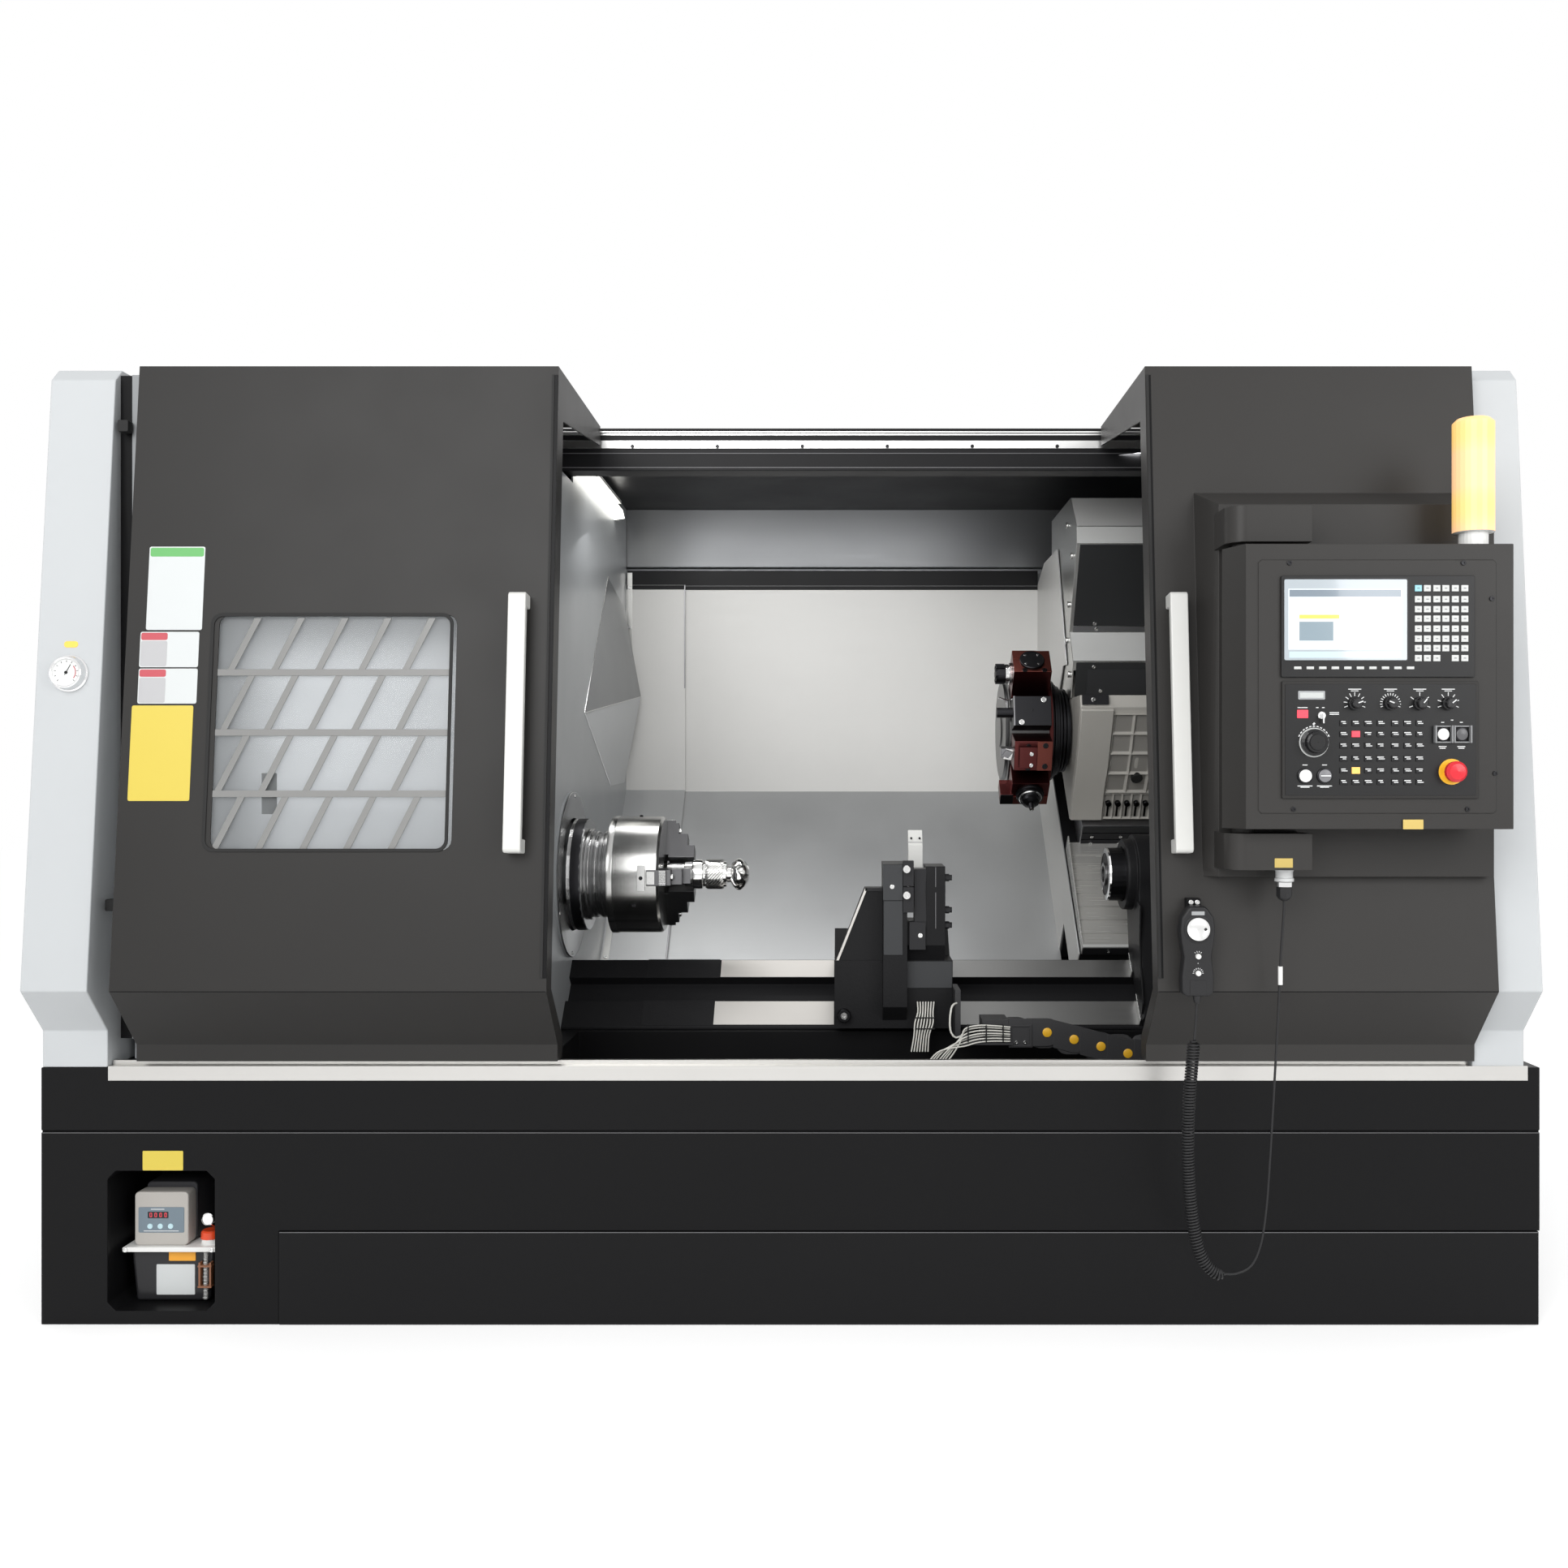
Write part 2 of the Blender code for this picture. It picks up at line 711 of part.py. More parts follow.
def electrical_cabinet():
    low = (CABINET_X[0], deep(REAR_DEPTH + GAP), FLOOR)
    high = (CABINET_X[1], deep(REAR_DEPTH + CABINET_DEPTH), CABINET_TOP)
    shape = block(low, high)
    middle = (CABINET_X[0] + CABINET_X[1]) / 2
    seam = block((middle - 0.002, high[1] - 0.004, low[2] + 0.05), (middle + 0.002, high[1] + 0.1, high[2] - 0.05))
    cut(shape, seam)
    return finish(shape, "electrical_cabinet", "light_grey")


def headstock_cover():
    """The folded sheet in front of the headstock, with its small inspection slot."""
    left = LEFT_OUTER + COLUMN_WIDTH + 0.010
    right = WALL_X - WALL_SHEET - GAP
    line = [
        (left, deep(COVER_FRONT + COVER_FLANGE)), (left, deep(COVER_FRONT)),
        (right, deep(COVER_FRONT)), (right, deep(COVER_FRONT + COVER_FLANGE)),
    ]
    shape = prism(sheet_outline(line, GUARD_SHEET), level(FLOOR), (0, 0, COVER_TOP - FLOOR))
    slot = block((-1.206, deep(0.05), 1.121), (-1.171, deep(0.15), 1.214))
    cut(shape, slot)
    return finish(shape, "headstock_cover", "light_grey")


# Bed


def bed_outline():
    base_rise = BED_RISE
    lower = (LOWER_WAY_RUN - LOWER_WAY_WIDTH / 2, LOWER_WAY_RUN + LOWER_WAY_WIDTH / 2)
    upper = (UPPER_WAY_RUN - UPPER_WAY_WIDTH / 2, UPPER_WAY_RUN + UPPER_WAY_WIDTH / 2)
    front = on_slope(lower[0], WAY_RISE)
    behind = on_slope(upper[1], WAY_RISE)
    shoulder = deep(BED_SHOULDER_DEPTH)
    shoulder_z = SPINDLE_HEIGHT + (shoulder - SPINDLE_Y) + base_rise * 2 * SLOPE
    points = [(front[0] - 0.004, FLOOR), (front[0] - 0.004, front[1] - 0.004), front]
    points += [on_slope(lower[1], WAY_RISE), on_slope(lower[1], WAY_RISE - WAY_GROOVE)]
    points += [on_slope(upper[0], WAY_RISE - WAY_GROOVE), on_slope(upper[0], WAY_RISE), behind]
    points += [(behind[0], TROUGH_HEIGHT), (shoulder, TROUGH_HEIGHT), (shoulder, shoulder_z)]
    for run, half, rise in (
        (LOWER_RAIL_RUN, RAIL_WIDTH / 2, RAIL_RISE),
        (SCREW_RUN, SCREW_CHANNEL, base_rise - 0.06),
        (UPPER_RAIL_RUN, RAIL_WIDTH / 2, RAIL_RISE),
    ):
        points += [on_slope(run - half, base_rise), on_slope(run - half, rise)]
        points += [on_slope(run + half, rise), on_slope(run + half, base_rise)]
    top = on_slope(BED_TOP_RUN, base_rise)
    points += [top, (deep(BED_BACK_DEPTH), top[1]), (deep(BED_BACK_DEPTH), FLOOR)]
    return points


def bed_casting():
    """The slant bed: two ground ways in front for tailstock and steady rest, two behind for the saddle."""
    shape = prism(bed_outline(), across(BED_X[0]), (BED_X[1] - BED_X[0], 0, 0))
    half = SCREW_CHANNEL + 0.003
    for x in (SCREW_SPAN[0], SCREW_SPAN[1] - SUPPORT_WIDTH):
        outline = [
            on_slope(SCREW_RUN - half, SCREW_RISE - 0.07), on_slope(SCREW_RUN - half, SCREW_RISE + 0.01),
            on_slope(SCREW_RUN - 0.03, SCREW_RISE + 0.036), on_slope(SCREW_RUN + 0.03, SCREW_RISE + 0.036),
            on_slope(SCREW_RUN + half, SCREW_RISE + 0.01), on_slope(SCREW_RUN + half, SCREW_RISE - 0.07),
        ]
        join(shape, prism(outline, across(x), (SUPPORT_WIDTH, 0, 0)))
    place = along_x(*on_slope(SCREW_RUN, SCREW_RISE))
    cut(shape, rod(place, SCREW_SPAN[0] - 0.01, SCREW_SPAN[1] + 0.01, SCREW_RADIUS + RUNNING, 48))
    return finish(shape, "bed_casting", "black")


def z_ballscrew():
    place = along_x(*on_slope(SCREW_RUN, SCREW_RISE))
    shape = rod(place, SCREW_SPAN[0], SCREW_SPAN[1], SCREW_RADIUS, 24)
    return finish(shape, "z_ballscrew", "bright_steel", True)


# Guards


def guard_line(lead):
    """The guard's fold line, moved towards the operator by lead."""
    depth = GUARD_DEPTH - lead
    foot = GUARD_FOOT_DEPTH - lead
    rise = GUARD_RISE + lead
    foot_z = SPINDLE_HEIGHT + foot - SPINDLE_DEPTH + rise * 2 * SLOPE
    top_z = SPINDLE_HEIGHT + depth - SPINDLE_DEPTH + rise * 2 * SLOPE
    return at_depths([(foot, GUARD_FOOT_HEIGHT), (foot, foot_z), (depth, top_z), (depth, GUARD_TOP)])


def sliding_guard():
    """The folded guard over the bed. It is bolted to the saddle's side and rides with it."""
    right = SADDLE_X[0] - GAP
    line = guard_line(0)
    shape = prism(sheet_outline(line[::-1], GUARD_SHEET), across(GUARD_LEFT), (right - GUARD_LEFT, 0, 0))
    middle = GUARD_RISE - GUARD_SHEET / 2
    side = [
        on_slope(0.160, middle), on_slope(0.160, -0.400), on_slope(SADDLE_LOW_RUN, -0.400),
        on_slope(SADDLE_LOW_RUN, SADDLE_RISE), on_slope(0.700, SADDLE_RISE), on_slope(0.700, 0.120),
        (deep(0.950), 1.530), (deep(GUARD_DEPTH - 0.43), GUARD_TOP + 0.05), (deep(GUARD_DEPTH - 0.15), GUARD_TOP + 0.05),
        (deep(GUARD_DEPTH + GUARD_SHEET / 2), GUARD_TOP),
        (deep(GUARD_DEPTH + GUARD_SHEET / 2), line[2][1]),
    ]
    join(shape, prism(side, across(right - GUARD_SHEET), (GUARD_SHEET, 0, 0)))
    return finish(shape, "sliding_guard", "guard")


def headstock_wall():
    """The work zone's left wall, with its nose hole, chip deflector and the fixed end of the guard."""
    line = guard_line(FIXED_GUARD_LEAD)
    middle = GUARD_SHEET / 2
    bed = sheet_outline(bed_outline()[:9] + [(deep(GUARD_FOOT_DEPTH), TROUGH_HEIGHT)], GAP)
    above_bed = bed[10:][::-1]
    outline = at_depths([(WALL_FRONT, FLOOR)]) + [(above_bed[0][0], FLOOR)] + above_bed[1:9]
    outline += [(line[0][0] + middle, above_bed[8][1])]
    outline += [(line[1][0] + middle, line[1][1]), (line[2][0] + middle, line[2][1])]
    outline += [(line[3][0] + middle, ENCLOSURE_TOP - WALL_THICK - GAP)]
    step = BEAM_DEPTH + BEAM_WIDTH + 0.01
    outline += at_depths([(step, ENCLOSURE_TOP - WALL_THICK - GAP), (step, WALL_STEP_TOP)])
    outline += at_depths([(WALL_FRONT, WALL_STEP_TOP)])
    shape = prism(outline, across(WALL_X - WALL_SHEET), (WALL_SHEET, 0, 0))
    sheet = sheet_outline(line[::-1], GUARD_SHEET)
    start = WALL_X - WALL_SHEET / 2
    join(shape, prism(sheet, across(start), (FIXED_GUARD_RIGHT - start, 0, 0)))
    place = along_x(SPINDLE_Y, SPINDLE_HEIGHT)
    back, front = WALL_X - WALL_SHEET / 2, WALL_X + NOSE_RING_STAND
    inner = NOSE_HOLE + 0.003
    cut(shape, rod(place, WALL_X - 0.1, WALL_X + 0.1, NOSE_HOLE, 48))
    join(shape, turned([(back, inner), (back, NOSE_RING), (front, NOSE_RING), (front, inner)], place))
    join(shape, deflector())
    return finish(shape, "headstock_wall", "interior")


def deflector():
    """A tapered fold that throws chips off the wall, behind the chuck."""
    buried = WALL_X - WALL_SHEET / 2
    rim = [(1.181, 1.815), (0.790, 1.384), (1.225, 1.180), (1.500, 1.190), (1.500, 1.760)]
    points = [Vector((buried, deep(depth), z)) for depth, z in rim]
    points += [Vector((WALL_X + 0.0005, deep(depth), z)) for depth, z in rim]
    points.append(Vector((WALL_X + DEFLECTOR_STAND, deep(1.495), 1.470)))
    return hull(points)


def work_lamp():
    low = (WALL_X + GAP, deep(LAMP_DEPTH[0]) + 0.04, LAMP_HEIGHT - LAMP_SIZE[1] / 2)
    high = (WALL_X + GAP + LAMP_SIZE[0], deep(LAMP_DEPTH[1]), LAMP_HEIGHT + LAMP_SIZE[1] / 2)
    outline = [
        (low[0], low[2]), (high[0], low[2] + 0.004), (high[0] - 0.006, high[2] - 0.010), (low[0], high[2]),
    ]
    shape = prism(outline, upright(low[1]), (0, high[1] - low[1], 0))
    return finish(shape, "work_lamp", "off_white")


# Headstock and spindle


def headstock():
    """The spindle housing on the front ways, with the motor's platform behind it."""
    foot = LOWER_WAY_RUN - LOWER_WAY_WIDTH / 2 + 0.004
    bottom = WAY_RISE + GAP
    top = HEADSTOCK_TOP_RISE
    outline = [
        on_slope(foot, bottom), on_slope(foot, top - 0.14), on_slope(foot + 0.15, top),
        on_slope(0.155, top), on_slope(0.225, top - 0.07), on_slope(0.225, PLATFORM_RISE),
        on_slope(PLATFORM_RUN, PLATFORM_RISE), on_slope(PLATFORM_RUN, bottom),
    ]
    shape = prism(outline, across(HEADSTOCK_X[0]), (HEADSTOCK_X[1] - HEADSTOCK_X[0], 0, 0))
    place = along_x(SPINDLE_Y, SPINDLE_HEIGHT)
    bore = rod(place, HEADSTOCK_X[0] - 0.1, HEADSTOCK_X[1] + 0.1, SPINDLE_RADIUS + RUNNING, 48)
    cut(shape, bore)
    return finish(shape, "headstock", "light_grey")


def spindle():
    """The hollow spindle: nose flange and adapter rings in front, belt pulley and cylinder behind."""
    nose = CHUCK_X[0] - GAP
    flange = NOSE_FLANGE_X
    profile = [
        (-1.480, SPINDLE_BORE), (-1.480, 0.070), (-1.465, 0.085), (-1.400, 0.085), (-1.385, 0.060),
        (PULLEY_X[0] - 0.004, 0.060), (PULLEY_X[0] - 0.004, SPINDLE_PULLEY + 0.008),
        (PULLEY_X[0], SPINDLE_PULLEY + 0.008), (PULLEY_X[0], SPINDLE_PULLEY),
        (PULLEY_X[1], SPINDLE_PULLEY), (PULLEY_X[1], SPINDLE_RADIUS),
        (flange[0], SPINDLE_RADIUS), (flange[0], NOSE_FLANGE_RADIUS),
        (flange[1], NOSE_FLANGE_RADIUS), (flange[1], 0.112), (-0.520, 0.112), (-0.520, 0.106),
        (-0.514, 0.106), (-0.514, 0.112), (nose, 0.112), (nose, SPINDLE_BORE),
    ]
    shape = turned(profile, along_x(SPINDLE_Y, SPINDLE_HEIGHT))
    return finish(shape, "spindle", "steel", True)


def chuck_body():
    profile = [
        (CHUCK_X[0], CHUCK_BORE), (CHUCK_X[0], CHUCK_RADIUS - 0.006), (CHUCK_X[0] + 0.006, CHUCK_RADIUS),
        (CHUCK_X[1] - 0.006, CHUCK_RADIUS), (CHUCK_X[1], CHUCK_RADIUS - 0.006), (CHUCK_X[1], CHUCK_BORE),
    ]
    shape = turned(profile, along_x(SPINDLE_Y, SPINDLE_HEIGHT))
    for index in range(3):
        half = JAW_WIDTH / 2
        slot = block((CHUCK_X[1] - JAW_SLOT, -half, 0.02), (CHUCK_X[1] + 0.1, half, CHUCK_RADIUS + 0.1))
        cut(shape, set_round(slot, jaw_angle(index)))
    return finish(shape, "chuck_body", "steel", True)


def jaw_angle(index):
    """The turn about the spindle axis of a jaw modelled along +Z. The first jaw faces the operator."""
    return math.radians(90 + 120 * index)


def set_round(shape, angle):
    """Turns a shape modelled about the X axis and sets it on the spindle axis."""
    shape.data.transform(Matrix.Translation((0, SPINDLE_Y, SPINDLE_HEIGHT)) @ Matrix.Rotation(angle, 4, "X"))
    return shape


def jaw(index):
    """A base jaw in its slot with a stepped soft jaw on it, one piece."""
    face = CHUCK_X[1]
    foot = face - JAW_SLOT + JAW_CLEARANCE
    grip = WORK_RADIUS + GAP
    outline = [
        (foot, 0.048), (foot, 0.1505), (face + 0.020, 0.1505), (face + 0.020, 0.142), (face + 0.030, 0.142),
        (face + 0.030, 0.110), (face + 0.055, 0.110), (face + 0.055, 0.076), (face + 0.074, 0.076),
        (face + 0.074, grip), (face + 0.006, grip), (face + 0.006, 0.048),
    ]
    half = JAW_WIDTH / 2 - JAW_CLEARANCE
    shape = prism(outline, lambda a, b: Vector((a, -half, b)), (0, 2 * half, 0))
    return finish(set_round(shape, jaw_angle(index)), f"jaw_{index + 1}", "steel")


def workpiece():
    start = CHUCK_X[1] + 0.007
    end = WORK_END
    profile = [
        (start, 0), (start, WORK_RADIUS), (start + 0.088, WORK_RADIUS), (start + 0.092, 0.034),
        (start + 0.135, 0.034), (start + 0.140, 0.040), (start + 0.150, 0.040), (start + 0.153, 0.030),
        (end - 0.052, 0.030), (end - 0.048, 0.044), (end - 0.006, 0.044), (end, 0.036), (end, 0),
    ]
    shape = turned(profile, along_x(SPINDLE_Y, SPINDLE_HEIGHT), 24)
    return finish(shape, "workpiece", "bright_steel", True)


def main_motor():
    y, z = on_slope(MOTOR_RUN, MOTOR_RISE)
    start, end = MOTOR_X
    profile = [
        (start, 0), (start, 0.100), (start + 0.02, MOTOR_RADIUS), (end - 0.07, MOTOR_RADIUS),
        (end - 0.07, 0.115), (end, 0.115), (end, 0),
    ]
    shape = turned(profile, along_x(y, z), 24)
    foot = [
        on_slope(MOTOR_RUN - 0.11, PLATFORM_RISE + GAP), on_slope(MOTOR_RUN - 0.09, MOTOR_RISE),
        on_slope(MOTOR_RUN + 0.09, MOTOR_RISE), on_slope(MOTOR_RUN + 0.11, PLATFORM_RISE + GAP),
    ]
    join(shape, prism(foot, across(start + 0.04), (0.26, 0, 0)))
    return finish(shape, "main_motor", "charcoal", True)


def motor_pulley():
    y, z = on_slope(MOTOR_RUN, MOTOR_RISE)
    profile = [
        (PULLEY_X[0] - 0.004, 0), (PULLEY_X[0] - 0.004, MOTOR_PULLEY + 0.006),
        (PULLEY_X[0], MOTOR_PULLEY + 0.006), (PULLEY_X[0], MOTOR_PULLEY), (PULLEY_X[1], MOTOR_PULLEY),
        (PULLEY_X[1], MOTOR_SHAFT), (MOTOR_X[0] - GAP, MOTOR_SHAFT), (MOTOR_X[0] - GAP, 0),
    ]
    shape = turned(profile, along_x(y, z))
    return finish(shape, "motor_pulley", "steel", True)


def belt_loop(extra):
    """The outline of a belt round both pulleys, in runs and rises."""
    small = MOTOR_PULLEY + extra
    large = SPINDLE_PULLEY + extra
    reach = math.hypot(MOTOR_RUN, MOTOR_RISE)
    heading = math.degrees(math.atan2(MOTOR_RISE, MOTOR_RUN))
    wrap = math.degrees(math.acos((large - small) / reach))
    points = arc((0, 0), large, heading + wrap, heading + 360 - wrap, 24)
    points += arc((MOTOR_RUN, MOTOR_RISE), small, heading - wrap, heading + wrap, 20)
    return [on_slope(run, rise) for run, rise in points]


def drive_belt():
    inner = belt_loop(BELT_CLEARANCE)
    outer = belt_loop(BELT_CLEARANCE + BELT_THICK)
    start = PULLEY_X[0] + 0.004
    shape = ring_prism(outer, inner, across(start), (PULLEY_X[1] - start - 0.004, 0, 0))
    return finish(shape, "drive_belt", "rubber")


# Saddle, cross slide and turret


def saddle():
    low = SADDLE_RISE
    seat = RAIL_RISE + GAP
    channel = SCREW_RUN - SCREW_CHANNEL
    outline = [
        (SADDLE_LOW_RUN, low), (SADDLE_TOP_RUN, low), (SADDLE_TOP_RUN, low - 0.15),
        (UPPER_RAIL_RUN + 0.11, seat), (SCREW_RUN + SCREW_CHANNEL, seat),
        (SCREW_RUN + SCREW_CHANNEL, seat + 0.045), (channel, seat + 0.045), (channel, seat),
        (0.153, seat), (0.153, -0.398), (SADDLE_LOW_RUN, -0.398),
    ]
    length = SADDLE_X[1] - SADDLE_X[0]
    shape = prism([on_slope(*point) for point in outline], across(SADDLE_X[0]), (length, 0, 0))
    guide = [
        (CROSS_GUIDE_X[0], low - 0.005), (CROSS_GUIDE_X[1], low - 0.005),
        (CROSS_GUIDE_X[1], low + CROSS_GUIDE_HEIGHT), (CROSS_GUIDE_X[0], low + CROSS_GUIDE_HEIGHT),
    ]
    start, end = SADDLE_LOW_RUN + 0.01, SADDLE_TOP_RUN - 0.01
    join(shape, prism(guide, up_slope(start), slope_way(end - start)))
    nut = [
        on_slope(channel + 0.012, seat + 0.05), on_slope(channel + 0.012, SCREW_RISE - 0.035),
        on_slope(SCREW_RUN + SCREW_CHANNEL - 0.012, SCREW_RISE - 0.035),
        on_slope(SCREW_RUN + SCREW_CHANNEL - 0.012, seat + 0.05),
    ]
    join(shape, prism(nut, across(SADDLE_X[0] + 0.14), (0.12, 0, 0)))
    place = along_x(*on_slope(SCREW_RUN, SCREW_RISE))
    cut(shape, rod(place, SADDLE_X[0] + 0.1, SADDLE_X[1] - 0.1, SCREW_RADIUS + RUNNING, 48))
    return finish(shape, "saddle", "black")


def up_slope(run):
    """Places an (x, rise) outline square to the slope, at a run."""
    return lambda a, b: Vector((a, *on_slope(run, b)))


def slope_way(length):
    """A way up the slope."""
    return (0, length * SLOPE, length * SLOPE)


def telescopic_cover():
    """The stepped cover over the cross slide's lower ways, seven plates from wide to narrow."""
    start = SADDLE_LOW_RUN
    end = CROSS_RUN[0] - 0.002
    steps = 7
    base = SADDLE_RISE + GAP
    skin = base + CROSS_GUIDE_HEIGHT + 0.002
    outer = [(start, base)]
    for index in range(steps):
        near = start + (end - start) * index / steps
        far = start + (end - start) * (index + 1) / steps
        rise = skin + 0.004 + 0.004 * index
        outer += [(near, rise), (far, rise)]
    outer += [(end, base)]
    left, right = SADDLE_X[0] + 0.002, CROSS_X[1] + 0.03
    shape = prism([on_slope(*point) for point in outer], across(left), (right - left, 0, 0))
    hollow = [
        (left + GUARD_SHEET, base - 0.05), (right - GUARD_SHEET, base - 0.05),
        (right - GUARD_SHEET, skin), (left + GUARD_SHEET, skin),
    ]
    cut(shape, prism(hollow, up_slope(start - 0.05), slope_way(end - start + 0.1)))
    return finish(shape, "telescopic_cover", "steel")


def cross_slide():
    """The cross slide: a saddle-shaped plate on the saddle's guide, with its wiper strip in front."""
    low = SADDLE_RISE + GAP
    top = low + CROSS_THICK
    left, right = CROSS_GUIDE_X
    height = SADDLE_RISE + CROSS_GUIDE_HEIGHT + RUNNING
    outline = [
        (CROSS_X[0], low), (left - RUNNING, low), (left - RUNNING, height), (right + RUNNING, height),
        (right + RUNNING, low), (CROSS_X[1], low), (CROSS_X[1], top), (CROSS_X[0], top),
    ]
    shape = prism(outline, up_slope(CROSS_RUN[0]), slope_way(CROSS_RUN[1] - CROSS_RUN[0]))
    return finish(shape, "cross_slide", "steel")


def turret_axis():
    return on_slope(TURRET_RUN, 0)


def turret_housing():
    """The turret's ribbed casting: a faceted front that leans out over the cross slide."""
    seat = SADDLE_RISE + GAP + CROSS_THICK + GAP
    ledge = HOUSING_LEDGE - GAP
    front = [(0.3415, seat), (0.3698, -0.063), (0.379, 0.0368), (0.425, 0.207)]
    outline = [on_slope(*point) for point in front]
    outline += [(deep(0.770), ledge), (deep(0.930), ledge), (deep(0.960), ledge + 0.07)]
    outline += [(deep(1.150), ledge + 0.07), on_slope(CROSS_RUN[1], seat + 0.10), on_slope(CROSS_RUN[1], seat)]
    length = HOUSING_X[1] - HOUSING_X[0]
    shape = prism(outline, across(HOUSING_X[0]), (length, 0, 0))
    for tool in rib_pockets(front):
        cut(shape, tool)
    return finish(shape, "turret_housing", "beige")


def rib_pockets(front):
    """Cutters for the pockets between the casting's ribs, row by row up its leaning front."""
    columns, rows = RIB_POCKETS
    foot = Vector(on_slope(*front[0]))
    head = Vector(on_slope(*front[3]))
    up = (head - foot).normalized()
    inward = Vector((up.y, -up.x))
    height = (head - foot).length
    left = HOUSING_X[0] + 0.095
    wide = (HOUSING_X[1] - 0.012 - left) / columns
    tall = (height - 0.13) / rows
    tools = []
    for row in range(rows):
        low = foot + up * (0.105 + tall * row)
        for column in range(columns):
            x = left + wide * column
            corners = []
            for along, out in ((0.006, -0.08), (tall - 0.006, -0.08), (tall - 0.012, 0.020), (0.012, 0.020)):
                corners.append(low + up * along + inward * out)
            outline = [(corner.x, corner.y) for corner in corners]
            tools.append(prism(outline, across(x + 0.006), (wide - 0.012, 0, 0)))
    return tools


def slide_cover():
    """The folded steel cover on the turret housing, open below and behind."""
    left, right = HOUSING_X[0] - GUARD_SHEET - 0.0005, CROSS_X[1]
    front = [
        (1.270, 2.001), (0.904, 2.001), (0.800, 1.901), (0.800, 1.853), (0.926, 1.622), (0.864, 1.532),
        (0.904, HOUSING_LEDGE),
    ]
    outer = at_depths(front + [(1.270, HOUSING_LEDGE)])
    shape = prism(outer, across(left), (right - left, 0, 0))
    sheet = sheet_outline(at_depths(front), GUARD_SHEET)
    inner = sheet[len(front):][::-1]
    inner = [(deep(1.40), inner[0][1])] + inner[1:-1]
    inner += [(inner[-1][0] + 0.04, HOUSING_LEDGE - 0.05), (deep(1.40), HOUSING_LEDGE - 0.05)]
    cut(shape, prism(inner, across(left + GUARD_SHEET), (right - left - 2 * GUARD_SHEET, 0, 0)))
    return finish(shape, "slide_cover", "steel")


def turret_disc():
    """The twelve-station disc and its hub."""
    y, z = turret_axis()
    disc = []
    for station in range(STATIONS):
        angle = math.radians(STATION_PHASE + 180 / STATIONS + 360 / STATIONS * station)
        radius = DISC_APOTHEM / math.cos(math.pi / STATIONS)
        disc.append((y - radius * math.cos(angle), z + radius * math.sin(angle)))
    shape = prism(disc, across(DISC_X[0]), (DISC_X[1] - DISC_X[0], 0, 0))
    place = along_x(y, z)
    hub = turned(
        [
            (DISC_X[1] - 0.02, 0), (DISC_X[1] - 0.02, 0.140), (DISC_X[1] + 0.010, 0.140),
            (DISC_X[1] + 0.014, 0.124), (DISC_X[1] + 0.030, 0.120), (DISC_X[1] + 0.034, HUB_RADIUS),
            (HUB_X[1] - 0.004, HUB_RADIUS), (HUB_X[1] - 0.004, HUB_NECK), (HUB_X[1], HUB_NECK), (HUB_X[1], 0),
        ],
        place,
    )
    cap = turned(
        [(DISC_X[0] + 0.01, 0), (DISC_X[0] + 0.01, 0.150), (DISC_X[0] - 0.008, 0.140), (DISC_X[0] - 0.008, 0.05),
         (DISC_X[0] - 0.012, 0.045), (DISC_X[0] - 0.012, 0)],
        place,
    )
    join(shape, hub, cap)
    return finish(shape, "turret_disc", "steel", True)


def station_turn(station):
    """Sets a block modelled on +Z, with its foot at the disc's flat, on its station."""
    y, z = turret_axis()
    angle = math.radians(90 - STATION_PHASE - 360 / STATIONS * station)
    return Matrix.Translation((0, y, z)) @ Matrix.Rotation(angle, 4, "X")


def tool_block(name, station, colour, height, extras):
    """A tool block on the disc's flat, with its own tools joined to it."""
    low = DISC_APOTHEM + GAP
    half = BLOCK_WIDTH / 2
    shape = block((BLOCK_X[0], -half, low), (BLOCK_X[1], half, low + height))
    join(shape, *extras)
    shape.data.transform(station_turn(station))
    return finish(shape, name, colour)


def collet_holder():
    """A driven holder: its collet nut points at the headstock."""
    middle = DISC_APOTHEM + BLOCK_HEIGHT * 0.62
    nut = turned(
        [(BLOCK_X[0] + 0.01, 0), (BLOCK_X[0] + 0.01, 0.020), (BLOCK_X[0] - 0.010, 0.020),
         (BLOCK_X[0] - 0.010, 0.026), (BLOCK_X[0] - 0.038, 0.026), (BLOCK_X[0] - 0.046, 0.016),
         (BLOCK_X[0] - 0.046, 0)],
        along_x(0, middle), 16,
    )
    lid = rod(along_z((BLOCK_X[0] + BLOCK_X[1]) / 2, 0), DISC_APOTHEM + 0.09, DISC_APOTHEM + 0.112, 0.032, 16)
    return tool_block("collet_holder", 1, "maroon", BLOCK_HEIGHT + 0.014, [nut, lid])


def boring_block():
    bar = rod(along_x(0, DISC_APOTHEM + 0.035), BLOCK_X[0] - 0.045, BLOCK_X[0] + 0.01, 0.014, 16)
    return tool_block("boring_block", 0, "charcoal", BLOCK_HEIGHT * 0.62, [bar])


def turning_block():
    shank = block(
        (BLOCK_X[0] - 0.034, -0.013, DISC_APOTHEM + 0.030), (BLOCK_X[0] + 0.02, 0.013, DISC_APOTHEM + 0.055)
    )
    clamp = block(
        (BLOCK_X[0] + 0.012, -0.030, DISC_APOTHEM + 0.05), (BLOCK_X[0] + 0.06, 0.030, DISC_APOTHEM + 0.100)
    )
    return tool_block("turning_block", -1, "maroon", BLOCK_HEIGHT * 0.86, [shank, clamp])


